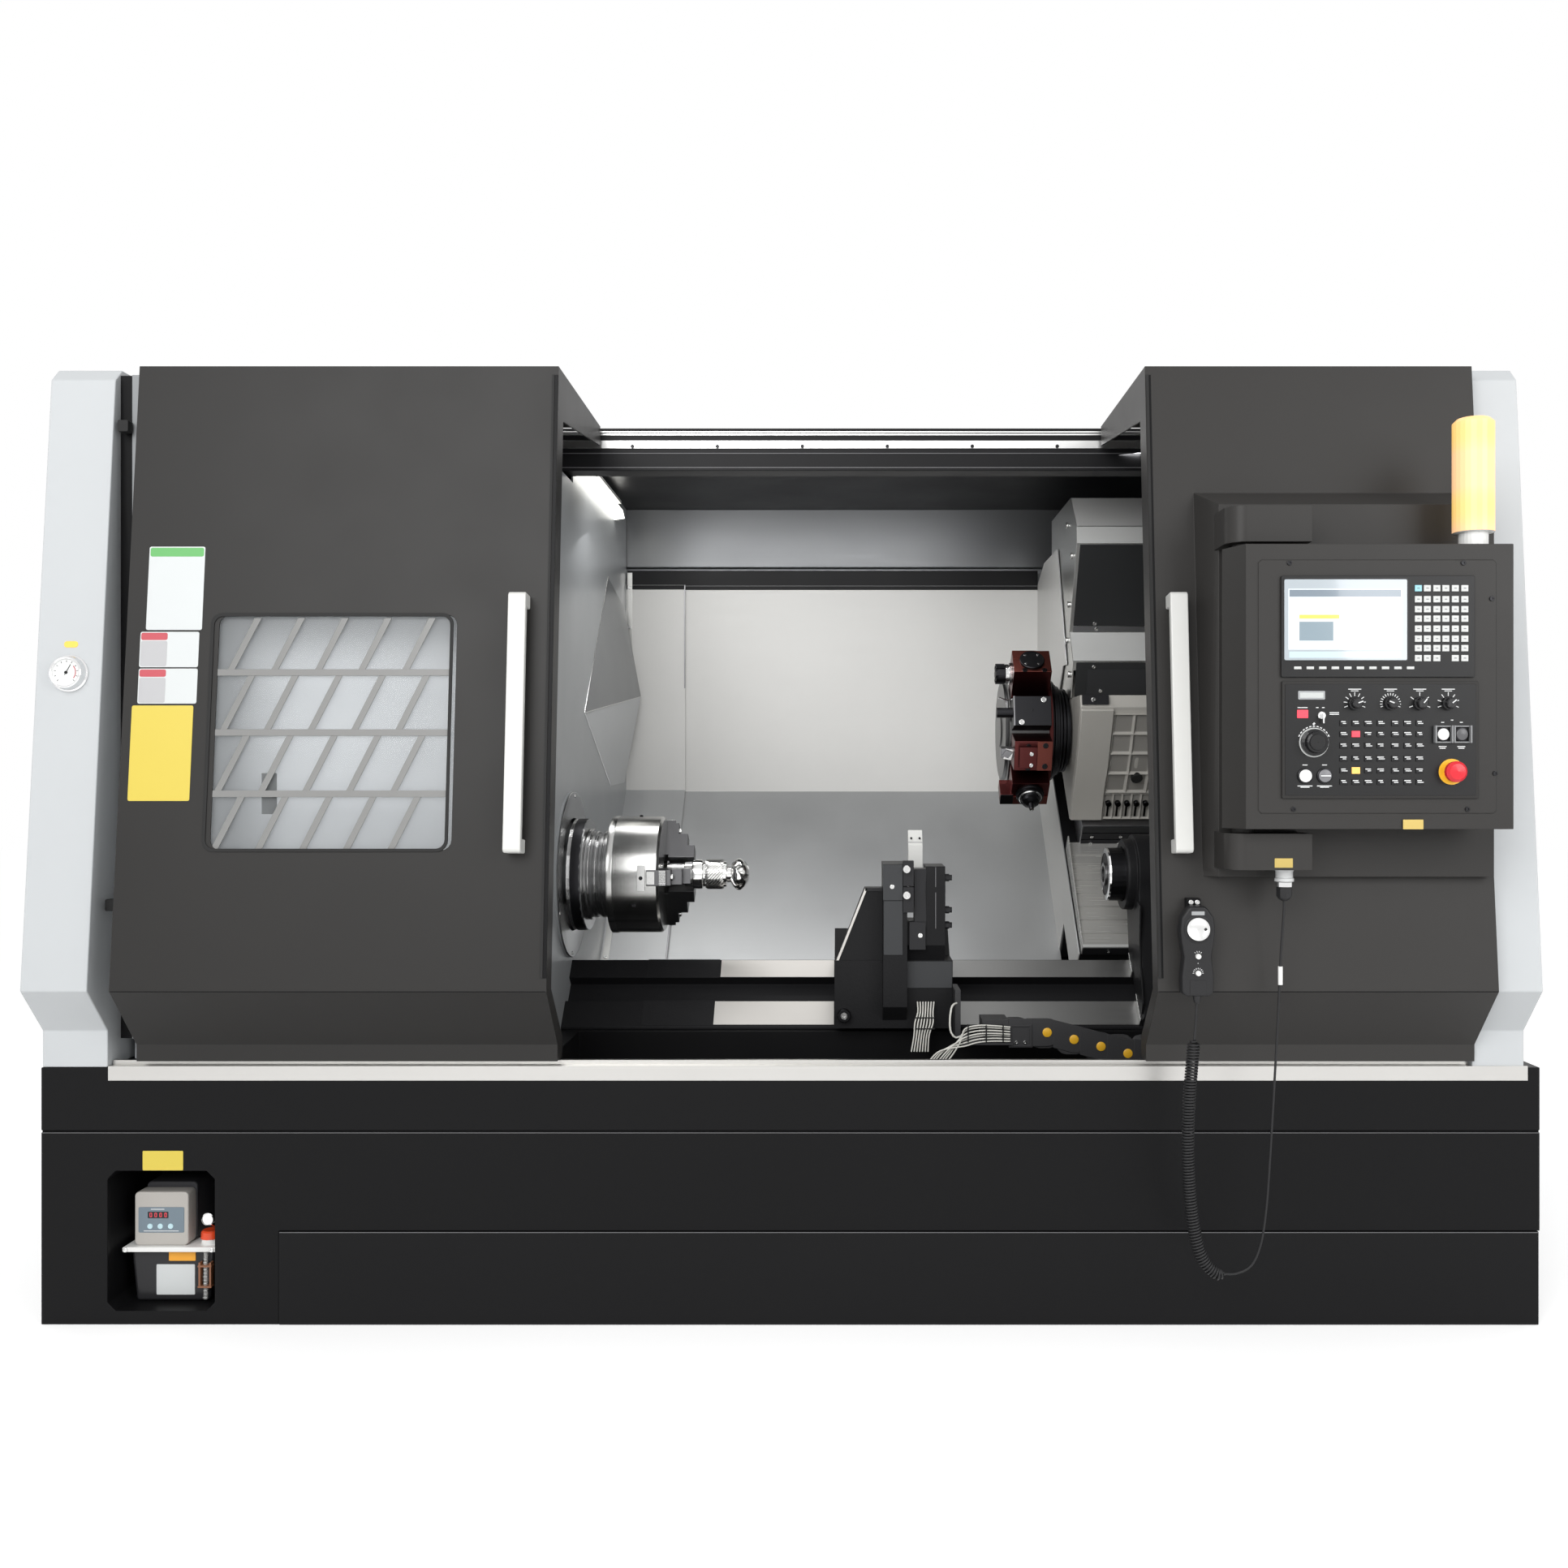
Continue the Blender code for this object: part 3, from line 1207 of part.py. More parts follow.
def drill_block():
    middle = (BLOCK_X[0] + BLOCK_X[1]) / 2
    top = DISC_APOTHEM + BLOCK_HEIGHT * 0.8
    holder = turned(
        [(top - 0.01, 0), (top - 0.01, 0.034), (top + 0.012, 0.034), (top + 0.026, 0.022),
         (top + 0.034, 0.010), (top + 0.060, 0.006), (top + 0.060, 0)],
        along_z(middle, 0), 16,
    )
    blade = prism(
        [(-0.012, DISC_APOTHEM + 0.02), (0.020, DISC_APOTHEM + 0.02), (0.020, top + 0.004), (-0.012, top + 0.010)],
        lambda a, b: Vector((BLOCK_X[0] - 0.030, a - 0.022, b)), (0.036, 0, 0),
    )
    return tool_block("drill_block", -2, "maroon", BLOCK_HEIGHT * 0.8, [holder, blade])


# Tailstock


def tailstock_body():
    bottom = WAY_RISE + GAP
    foot, heel = TAIL_FOOT
    outline = [(foot, bottom), (heel, bottom), (-0.040, -0.115)]
    outline += arc((0, 0), TAIL_RADIUS, -70, 160, 14)
    outline += [(foot, bottom + TAIL_FOOT_THICK)]
    length = TAIL_X[1] - TAIL_X[0]
    shape = prism([on_slope(*point) for point in outline], across(TAIL_X[0]), (length, 0, 0))
    place = along_x(SPINDLE_Y, SPINDLE_HEIGHT)
    collar = rod(place, TAIL_X[0] - 0.022, TAIL_X[0] + 0.01, TAIL_RADIUS - 0.012)
    join(shape, collar)
    cut(shape, rod(place, TAIL_X[0] - 0.1, TAIL_X[1] - 0.02, QUILL_RADIUS + RUNNING, 48))
    return finish(shape, "tailstock_body", "black")


def quill():
    profile = [
        (QUILL_X[0] + 0.09, 0), (QUILL_X[0] + 0.09, CENTRE_HOLE * 0.7), (QUILL_X[0], CENTRE_HOLE),
        (QUILL_X[0], QUILL_RADIUS - 0.003), (QUILL_X[0] + 0.003, QUILL_RADIUS),
        (QUILL_X[1], QUILL_RADIUS), (QUILL_X[1], 0),
    ]
    shape = turned(profile, along_x(SPINDLE_Y, SPINDLE_HEIGHT))
    return finish(shape, "quill", "steel", True)


# Steady rest and drag chain


def steady_rest():
    """The steady rest: foot, tall C-shaped plate with its mouth to the back, rib and actuator block."""
    toe = on_slope(LOWER_WAY_RUN - LOWER_WAY_WIDTH / 2 + 0.003, WAY_RISE + GAP)
    heel = on_slope(UPPER_WAY_RUN + UPPER_WAY_WIDTH / 2 + 0.01, WAY_RISE + GAP)
    apron = at_depths([(0.445, toe[1]), (0.445, BASE_TOP + 0.015), (0.400, BASE_TOP + 0.015), (0.400, 0.750)])
    foot = [toe] + apron + at_depths([(0.500, 0.750)]) + [on_slope(-0.12, WAY_RISE + 0.10), heel]
    length = STEADY_FOOT_X[1] - STEADY_FOOT_X[0]
    shape = prism(foot, across(STEADY_FOOT_X[0]), (length, 0, 0))
    mouth = arc((SPINDLE_Y, SPINDLE_HEIGHT), STEADY_MOUTH, -60, -285, 12)
    front = at_depths([(STEADY_FRONT, STEADY_TOP), (STEADY_FRONT, 0.640), (0.402, 0.600), (0.460, 0.600)])
    plate = at_depths([(0.640, 0.780), (0.670, 0.840)]) + mouth
    plate += at_depths([(0.560, 1.100), (0.470, 1.085)]) + front
    join(shape, prism(plate, across(STEADY_PLATE_X[0]), (STEADY_PLATE_X[1] - STEADY_PLATE_X[0], 0, 0)))
    rib = [(STEADY_FOOT_X[0] + 0.004, 0.745), (STEADY_FOOT_X[0] + 0.075, 0.930),
           (STEADY_PLATE_X[0] + 0.01, 0.930), (STEADY_PLATE_X[0] + 0.01, 0.745)]
    join(shape, prism(rib, upright(deep(0.405)), (0, 0.05, 0)))
    core = at_depths([(0.410, 0.740), (0.380, 0.790), (0.380, 0.850), (0.470, 0.850), (0.490, 0.740)])
    join(shape, prism(core, across(STEADY_PLATE_X[1] - 0.01), (STEADY_BLOCK_X[1] - STEADY_PLATE_X[1] + 0.01, 0, 0)))
    actuator = at_depths(
        [(0.380, 0.830), (0.372, 0.930), (0.380, 0.985), (0.500, 0.985), (0.500, 0.830)]
    )
    join(shape, prism(actuator, across(STEADY_BLOCK_X[0]), (STEADY_BLOCK_X[1] - STEADY_BLOCK_X[0], 0, 0)))
    return finish(shape, "steady_rest", "black")


def steady_arm():
    """The upper roller arm: it swings over the work from its pivot in the steady rest's slot."""
    pivot = (deep(ARM_PIVOT[0]), ARM_PIVOT[1])
    half = ARM_WIDTH / 2
    outline = arc(pivot, half, 180, 360, 8)
    outline += [(pivot[0] + half, pivot[1] + ARM_LENGTH * 0.75)]
    outline += [(pivot[0] + half + 0.020, pivot[1] + ARM_LENGTH), (pivot[0] + 0.006, pivot[1] + ARM_LENGTH + 0.022)]
    outline += [(pivot[0] - half, pivot[1] + ARM_LENGTH * 0.9)]
    shape = prism(outline, across(ARM_X[0]), (ARM_X[1] - ARM_X[0], 0, 0))
    pin = rod(along_x(*pivot), STEADY_PLATE_X[1] + GAP, STEADY_BLOCK_X[0] - GAP, 0.012, 16)
    join(shape, pin)
    return finish(shape, "steady_arm", "off_white")


def drag_chain():
    """The energy chain: its tray and end box at the steady rest, then link after link."""
    depth = (CHAIN_DEPTH - CHAIN_WIDE / 2, CHAIN_DEPTH + CHAIN_WIDE / 2)
    left = STEADY_FOOT_X[1] + 0.010
    box = block(
        (CHAIN_X - 0.052, deep(depth[0]), CHAIN_HEIGHT - CHAIN_TALL / 2),
        (CHAIN_X + 0.010, deep(depth[1]), CHAIN_HEIGHT + CHAIN_TALL / 2 + 0.006),
    )
    tray = block(
        (left, deep(depth[0] - 0.01), CHAIN_HEIGHT - CHAIN_TALL / 2 - 0.004),
        (CHAIN_X + 0.02, deep(depth[1] + 0.02), CHAIN_HEIGHT - CHAIN_TALL / 2 + 0.001),
    )
    bracket = block(
        (STEADY_FOOT_X[1] + GAP, deep(depth[0] + 0.07), CHAIN_HEIGHT - CHAIN_TALL / 2 - 0.004),
        (left + 0.004, deep(0.44), CHAIN_HEIGHT + 0.09),
    )
    join(box, tray, bracket)
    for link in range(CHAIN_LINKS):
        inset = 0.005 * (link % 2)
        centre = (CHAIN_X + CHAIN_PITCH * (link + 0.5), CHAIN_HEIGHT - CHAIN_DROP * max(0, min(link, 3)))
        half = CHAIN_TALL / 2
        reach = CHAIN_PITCH * 0.56 - half
        outline = arc((centre[0] + reach, centre[1]), half, -90, 90, 6)
        outline += arc((centre[0] - reach, centre[1]), half, 90, 270, 6)
        wide = CHAIN_WIDE - 2 * inset
        join(box, prism(outline, upright(deep(depth[0]) + inset), (0, wide, 0)))
    return finish(box, "drag_chain", "rubber")


# Doors


def door_shell(name, span):
    """A sliding door: folded skin, roof, side returns and the shoes that run on the sill's rail."""
    top = ENCLOSURE_TOP
    skin = [
        (DOOR_ROOF_DEPTH, top), (0, top), (-DOOR_KNEE_OUT, DOOR_KNEE_HEIGHT),
        (-DOOR_FOOT_OUT, DOOR_FOOT_HEIGHT), (-DOOR_FOOT_OUT, DOOR_BOTTOM),
    ]
    back = [
        (DOOR_RETURN - 0.012, DOOR_BOTTOM), (DOOR_RETURN - 0.012, DOOR_FOOT_HEIGHT + 0.01),
        (DOOR_RETURN - DOOR_KNEE_OUT, DOOR_KNEE_HEIGHT), (DOOR_RETURN, top - 0.11),
        (DOOR_ROOF_DEPTH, top - 0.05),
    ]
    width = span[1] - span[0]
    shape = prism(at_depths(skin + back), across(span[0]), (width, 0, 0))
    sheet = sheet_outline(at_depths(skin), SHEET)
    inner = sheet[len(skin):][::-1]
    inner = [(deep(DOOR_ROOF_DEPTH + 0.1), inner[0][1])] + inner[1:-1]
    inner += [(inner[-1][0], DOOR_BOTTOM + SHEET), (deep(DOOR_ROOF_DEPTH + 0.1), DOOR_BOTTOM + SHEET)]
    cut(shape, prism(inner, across(span[0] + SHEET), (width - 2 * SHEET, 0, 0)))
    rail_top = BASE_TOP + 0.0125
    for x in (span[0] + 0.08, span[1] - 0.16):
        join(shape, block((x, deep(0.019), rail_top + GAP), (x + 0.08, deep(0.029), DOOR_BOTTOM + SHEET / 2)))
    shape.name = name
    return shape


def left_door():
    shape = door_shell("left_door", LEFT_DOOR)
    hole = rounded_rectangle((WINDOW_X[0], WINDOW_Z[0]), (WINDOW_X[1], WINDOW_Z[1]), WINDOW_CORNER)
    _knee, _up, out = door_skin()
    cut(shape, prism(hole, on_door(0.02), out * -0.04))
    return finish(shape, "left_door", "charcoal")


def clipped(outline, low, high):
    """The part of a convex outline that lies inside a rectangle."""
    for axis, limit, keep_above in ((0, low[0], True), (0, high[0], False), (1, low[1], True), (1, high[1], False)):
        result = []
        for index, point in enumerate(outline):
            before = outline[index - 1]
            inside = (point[axis] >= limit) == keep_above
            was_inside = (before[axis] >= limit) == keep_above
            if inside != was_inside:
                share = (limit - before[axis]) / (point[axis] - before[axis])
                result.append(tuple(before[i] + (point[i] - before[i]) * share for i in (0, 1)))
            if inside:
                result.append(point)
        outline = result
    return outline


def window_grille():
    """The steel grille behind the door's opening: slanted bars crossed by level ones, in a frame."""
    _knee, _up, out = door_skin()
    rim = 0.025
    low = (WINDOW_X[0] - rim, WINDOW_Z[0] - rim)
    high = (WINDOW_X[1] + rim, WINDOW_Z[1] + rim)
    plate = [low, (high[0], low[1]), high, (low[0], high[1])]
    back = -SHEET - GAP
    thick = 0.004
    shape = prism(plate, on_door(back), out * -thick)
    tall = (WINDOW_Z[1] - WINDOW_Z[0] + GRILLE_BAR) / GRILLE_ROWS
    wide = (WINDOW_X[1] - WINDOW_X[0]) / (GRILLE_COLUMNS - 0.6)
    lean = 0.31 * tall
    inner_low = (WINDOW_X[0] + 0.002, WINDOW_Z[0])
    inner_high = (WINDOW_X[1] - 0.002, WINDOW_Z[1])
    work = []
    for row in range(GRILLE_ROWS):
        z = WINDOW_Z[0] + tall * row
        for column in range(-2, GRILLE_COLUMNS + 2):
            x = WINDOW_X[0] + wide * (column - 0.45) + lean * row
            cell = [(x, z), (x + wide - GRILLE_BAR, z), (x + wide - GRILLE_BAR + lean, z + tall - GRILLE_BAR),
                    (x + lean, z + tall - GRILLE_BAR)]
            cell = clipped(cell, inner_low, inner_high)
            if len(cell) > 2 and max(p[0] for p in cell) - min(p[0] for p in cell) > 0.01:
                work.append(cell)
    combined = bmesh.new()
    for cell in work:
        piece = prism(cell, on_door(back + 0.01), out * -(thick + 0.02))
        combined.from_mesh(piece.data)
        bpy.data.objects.remove(piece)
    cut(shape, as_object("cells", combined))
    return finish(shape, "window_grille", "steel")


def window_pane():
    """The clear pane, clamped behind the grille."""
    _knee, _up, out = door_skin()
    rim = 0.025
    outline = [(WINDOW_X[0] - rim, WINDOW_Z[0] - rim), (WINDOW_X[1] + rim, WINDOW_Z[0] - rim),
               (WINDOW_X[1] + rim, WINDOW_Z[1] + rim), (WINDOW_X[0] - rim, WINDOW_Z[1] + rim)]
    back = -SHEET - GAP - 0.004 - GAP
    shape = prism(outline, on_door(back), out * -0.008)
    return finish(shape, "window_pane", "glass")


def door_handle(name, x):
    """A flat bar on two feet, parallel to the door's skin."""
    _knee, _up, out = door_skin()
    low = DOOR_KNEE_HEIGHT + HANDLE_RISE
    stand, thick = HANDLE_STAND, HANDLE_THICK
    profile = [
        (low, GAP), (low, stand - 0.006), (low + 0.006, stand), (low + HANDLE_LENGTH - 0.006, stand),
        (low + HANDLE_LENGTH, stand - 0.006), (low + HANDLE_LENGTH, GAP), (low + HANDLE_LENGTH - 0.030, GAP),
        (low + HANDLE_LENGTH - 0.030, stand - thick), (low + 0.030, stand - thick), (low + 0.030, GAP),
    ]
    shape = prism(profile, lambda a, b: on_door(b)(x, a), (HANDLE_WIDTH, 0, 0))
    return finish(shape, name, "off_white")


def station_box():
    """The raised box behind the pendant, chamfered above and on its left."""
    front = deep(-STATION_OUT)
    back_low = on_door(-SHEET / 2)(0, STATION_Z[0]).y
    back_high = on_door(-SHEET / 2)(0, STATION_Z[1]).y
    side = 0.027
    top = 0.046
    points = []
    for x, inner in ((STATION_X[0], STATION_X[0] + side), (STATION_X[1], STATION_X[1])):
        points += [Vector((inner, front, STATION_Z[0])), Vector((inner, front, STATION_Z[1] - top))]
        points += [Vector((x, back_low, STATION_Z[0])), Vector((x, back_high, STATION_Z[1]))]
    return hull(points)


def hinge_block(low):
    """One of the two blocks that carry the pendant's pivots, round at its left end."""
    front = deep(-STATION_OUT) + 0.01
    axis = (PENDANT_AXIS[0], deep(PENDANT_AXIS[1]))
    outline = [(HINGE_BLOCK_RIGHT, front), (axis[0] - HINGE_BLOCK_RADIUS, front)]
    outline += arc(axis, HINGE_BLOCK_RADIUS, 180, 270, 8)
    outline += [(HINGE_BLOCK_RIGHT, axis[1] - HINGE_BLOCK_RADIUS)]
    return prism(outline, level(low), (0, 0, HINGE_BLOCK_HEIGHT))


def right_door():
    """The right door with the operator station's raised box and hinge blocks welded to it."""
    shape = door_shell("right_door", RIGHT_DOOR)
    lower = PENDANT_Z[0] - HINGE_STEP - HINGE_BLOCK_HEIGHT
    upper = PENDANT_Z[1] + HINGE_STEP
    socket = rod(along_z(CABLE_ROUTE[0][0], deep(CABLE_ROUTE[0][1])), CABLE_ROUTE[0][2] + GAP, lower + 0.01, 0.011, 16)
    join(shape, station_box(), hinge_block(lower), hinge_block(upper), socket)
    return finish(shape, "right_door", "charcoal")


# Operator station


def pendant_housing():
    front = deep(-PENDANT_FRONT_OUT)
    back = front + PENDANT_THICK
    edge = 0.030
    points = []
    for z, trim in ((PENDANT_Z[0], 0.0), (PENDANT_Z[1], 0.0)):
        points += [(PENDANT_X[0] + edge, front, z + trim), (PENDANT_X[1], front, z + trim)]
        points += [(PENDANT_X[0], back - 0.03, z), (PENDANT_X[0] + 0.012, back, z), (PENDANT_X[1] - 0.03, back, z)]
        points += [(PENDANT_X[1], back - 0.03, z)]
    shape = hull([Vector(point) for point in points])
    plate = rounded_rectangle(
        (PENDANT_X[0] + 0.054, PENDANT_Z[0] + 0.032), (PENDANT_X[1] - 0.036, PENDANT_Z[1] - 0.033), 0.006, 1
    )
    join(shape, prism(plate, upright(front - PLATE_STAND), (0, 0.01 + PLATE_STAND, 0)))
    place = along_z(PENDANT_AXIS[0], deep(PENDANT_AXIS[1]))
    pin = 0.022
    join(shape, rod(place, PENDANT_Z[0] - HINGE_STEP + GAP, PENDANT_Z[0] + 0.01, pin, 24))
    join(shape, rod(place, PENDANT_Z[1] - 0.01, PENDANT_Z[1] + HINGE_STEP - GAP, pin, 24))
    return finish(shape, "pendant_housing", "charcoal")


def panel_front():
    return deep(-PENDANT_FRONT_OUT) - PLATE_STAND - GAP


def grid_plate(x_lines, z_lines, raised, front, thick, stand):
    """A plate whose named cells stand out from its face, as keys do: one closed mesh."""
    work = bmesh.new()
    columns, rows = len(x_lines), len(z_lines)
    face = [[work.verts.new((x, front, z)) for z in z_lines] for x in x_lines]
    back = [[None] * rows for _x in x_lines]
    for i, x in enumerate(x_lines):
        for j, z in enumerate(z_lines):
            if i in (0, columns - 1) or j in (0, rows - 1):
                back[i][j] = work.verts.new((x, front + thick, z))
    rim = [(i, 0) for i in range(columns)] + [(columns - 1, j) for j in range(1, rows)]
    rim += [(i, rows - 1) for i in range(columns - 2, -1, -1)] + [(0, j) for j in range(rows - 2, 0, -1)]
    for index, (i, j) in enumerate(rim):
        k, m = rim[(index + 1) % len(rim)]
        work.faces.new((face[i][j], face[k][m], back[k][m], back[i][j]))
    work.faces.new([back[i][j] for i, j in rim])
    cells = {}
    for i in range(columns - 1):
        for j in range(rows - 1):
            cells[i, j] = work.faces.new((face[i][j], face[i + 1][j], face[i + 1][j + 1], face[i][j + 1]))
    keys = [cells[cell] for cell in raised]
    flat = [cell for place, cell in cells.items() if place not in raised]
    bmesh.ops.recalc_face_normals(work, faces=work.faces)
    lifted = bmesh.ops.extrude_discrete_faces(work, faces=keys)["faces"]
    for key in lifted:
        bmesh.ops.translate(work, vec=(0, -stand, 0), verts=list(key.verts))
    bmesh.ops.dissolve_faces(work, faces=flat, use_verts=False)
    return as_object("plate", work)


def key_lines(start, end, count, share):
    """Grid lines for a row of keys: each key takes a share of its pitch."""
    pitch = (end - start) / count
    lines = []
    for index in range(count):
        lines += [start + pitch * index + pitch * (1 - share) / 2, start + pitch * (index + 1) - pitch * (1 - share) / 2]
    return lines


def display_unit():
    """The screen with its keyboard: a soft key row below, a key field on the right."""
    front = panel_front() - UNIT_STAND
    x_lines = [SCREEN_X[0]] + key_lines(SCREEN_X[1] - 0.115, SCREEN_X[1] - 0.010, 5, 0.72) + [SCREEN_X[1]]
    z_lines = [SCREEN_Z[0]] + key_lines(SCREEN_Z[0] + 0.020, SCREEN_Z[1] - 0.012, 8, 0.68) + [SCREEN_Z[1]]
    raised = {(2 * i + 1, 2 * j + 1) for i in range(5) for j in range(8)}
    shape = grid_plate(x_lines, z_lines, raised, front, UNIT_STAND, 0.0025)
    return finish(shape, "display_unit", "charcoal")


def key_panel():
    """The machine panel: seven columns of keys, with dials above and buttons beside them."""
    front = panel_front() - UNIT_STAND
    left = KEYS_X[0]
    x_lines = [left] + key_lines(left + 0.105, left + 0.280, 7, 0.66) + [KEYS_X[1]]
    z_lines = [KEYS_Z[0]] + key_lines(KEYS_Z[0] + 0.020, KEYS_Z[1] - 0.072, 6, 0.55) + [KEYS_Z[1]]
    raised = {(2 * i + 1, 2 * j + 1) for i in range(7) for j in range(6)}
    shape = grid_plate(x_lines, z_lines, raised, front, UNIT_STAND, 0.003)
    join(shape, stop_collar(front))
    return finish(shape, "key_panel", "black")


def panel_dial(name, x, z, radius, height, colour):
    """A dial or button on the machine panel, with a chamfered rim and a grip bar."""
    face = panel_front() - UNIT_STAND - GAP
    profile = [
        (face, 0), (face, radius), (face - height * 0.35, radius), (face - height * 0.45, radius * 0.82),
        (face - height * 0.92, radius * 0.76), (face - height, radius * 0.62), (face - height, 0),
    ]
    shape = turned(profile, along_y(x, z), 20)
    return finish(shape, name, colour, True)


def stop_collar(front):
    """The fixed collar that guides the stop button's shank."""
    profile = [
        (front + 0.002, STOP_SHANK + GAP), (front + 0.002, STOP_SHANK + STOP_COLLAR_WALL),
        (front - STOP_COLLAR_STAND, STOP_SHANK + STOP_COLLAR_WALL), (front - STOP_COLLAR_STAND, STOP_SHANK + GAP),
    ]
    return turned(profile, along_y(*STOP_PLACE), 20)


def emergency_stop():
    """The stop button: a shank in its collar, and a mushroom head that stands clear by its travel."""
    face = panel_front() - UNIT_STAND - GAP
    radius = STOP_RADIUS
    neck = STOP_COLLAR_STAND + STOP_TRAVEL
    profile = [
        (face - STOP_TRAVEL, 0), (face - STOP_TRAVEL, STOP_SHANK), (face - neck, STOP_SHANK),
        (face - neck - 0.001, radius), (face - neck - 0.011, radius),
        (face - neck - 0.017, radius * 0.75), (face - neck - 0.019, 0),
    ]
    shape = turned(profile, along_y(*STOP_PLACE), 20)
    return finish(shape, "e_stop_button", "red", True)


def signal_tower():
    base = PENDANT_Z[1] + GAP
    y = deep(-PENDANT_FRONT_OUT + PENDANT_THICK / 2)
    radius = TOWER_RADIUS
    profile = [
        (base, 0), (base, radius * 0.70), (base + 0.028, radius * 0.70), (base + 0.030, radius),
        (base + TOWER_HEIGHT - 0.008, radius), (base + TOWER_HEIGHT, radius - 0.008), (base + TOWER_HEIGHT, 0),
    ]
    shape = turned(profile, along_z(TOWER_X, y), 24)
    return finish(shape, "signal_tower", "amber", True)


def hand_pendant():
    """The hand-held pendant on its bracket, with the cord's strain relief at its lower end."""
    knee, up, out = door_skin()
    low = DOOR_KNEE_HEIGHT + 0.006
    high = low + REMOTE_LENGTH
    half = REMOTE_WIDTH / 2
    outline = arc((REMOTE_X, high - half), half, 0, 180, 8)
    outline += [(REMOTE_X - half * 0.78, low + 0.03), (REMOTE_X - half * 0.6, low)]
    outline += [(REMOTE_X + half * 0.6, low), (REMOTE_X + half * 0.78, low + 0.03)]
    shape = prism(outline, on_door(REMOTE_BRACKET), out * REMOTE_THICK)
    plate = rounded_rectangle((REMOTE_X - 0.016, low + 0.03), (REMOTE_X + 0.016, high + 0.030), 0.004, 1)
    join(shape, prism(plate, on_door(GAP), out * (REMOTE_BRACKET + 0.01)))
    end = COIL_ROUTE[-1]
    x, y, z = end[0], deep(end[1]), end[2]
    relief = turned([(z + GAP, 0), (z + GAP, 0.006), (low + 0.01, 0.011), (low + 0.01, 0)], along_z(x, y), 16)
    join(shape, relief)
    return finish(shape, "hand_pendant", "black")


def hand_dial():
    knee, _up, out = door_skin()
    height = DOOR_KNEE_HEIGHT + 0.006 + REMOTE_LENGTH - REMOTE_WIDTH / 2 - 0.004
    centre = on_door(REMOTE_BRACKET + REMOTE_THICK + GAP)(REMOTE_X, height)
    profile = [(0, 0), (0, 0.026), (0.006, 0.026), (0.008, 0.023), (0.014, 0.021), (0.016, 0.018), (0.016, 0)]
    shape = turned(profile, along_way(centre, out), 24)
    return finish(shape, "hand_dial", "bright_steel", True)


# Cords


def smooth_points(route, spacing):
    """Points on a smooth curve through a route, about a spacing apart."""
    ends = [Vector(point) for point in route]
    line = [ends[0] * 2 - ends[1]] + ends + [ends[-1] * 2 - ends[-2]]
    points = []
    for index in range(1, len(line) - 2):
        a, b, c, d = line[index - 1:index + 3]
        count = max(1, round((c - b).length / spacing))
        for step in range(count):
            t = step / count
            points.append(
                0.5 * (2 * b + (c - a) * t + (2 * a - 5 * b + 4 * c - d) * t * t + (3 * b - a - 3 * c + d) * t ** 3)
            )
    points.append(ends[-1])
    return points


def cord(name, route, radius, spacing, colour, thin_end=False):
    """A round cord along its route. A thin end tapers down to the plain cable."""
    points = smooth_points([(x, deep(depth), z) for x, depth, z in route], spacing)
    work = bmesh.new()
    sides = 10
    rings = []
    side = Vector((1, 0, 0))
    for index, point in enumerate(points):
        before = points[max(index - 1, 0)]
        after = points[min(index + 1, len(points) - 1)]
        way = (after - before).normalized()
        side = (side - way * side.dot(way)).normalized()
        other = way.cross(side)
        thin = thin_end and ((points[-1] - point).length < 0.085 or index == 0)
        reach = CABLE_RADIUS if thin else radius
        ring = []
        for step in range(sides):
            angle = 2 * math.pi * step / sides
            ring.append(work.verts.new(point + (side * math.cos(angle) + other * math.sin(angle)) * reach))
        rings.append(ring)
    for here, there in zip(rings, rings[1:]):
        for step in range(sides):
            after = (step + 1) % sides
            work.faces.new((here[step], here[after], there[after], there[step]))
    work.faces.new(rings[0])
    work.faces.new(rings[-1])
    return finish(as_object(name, work), name, colour, True)


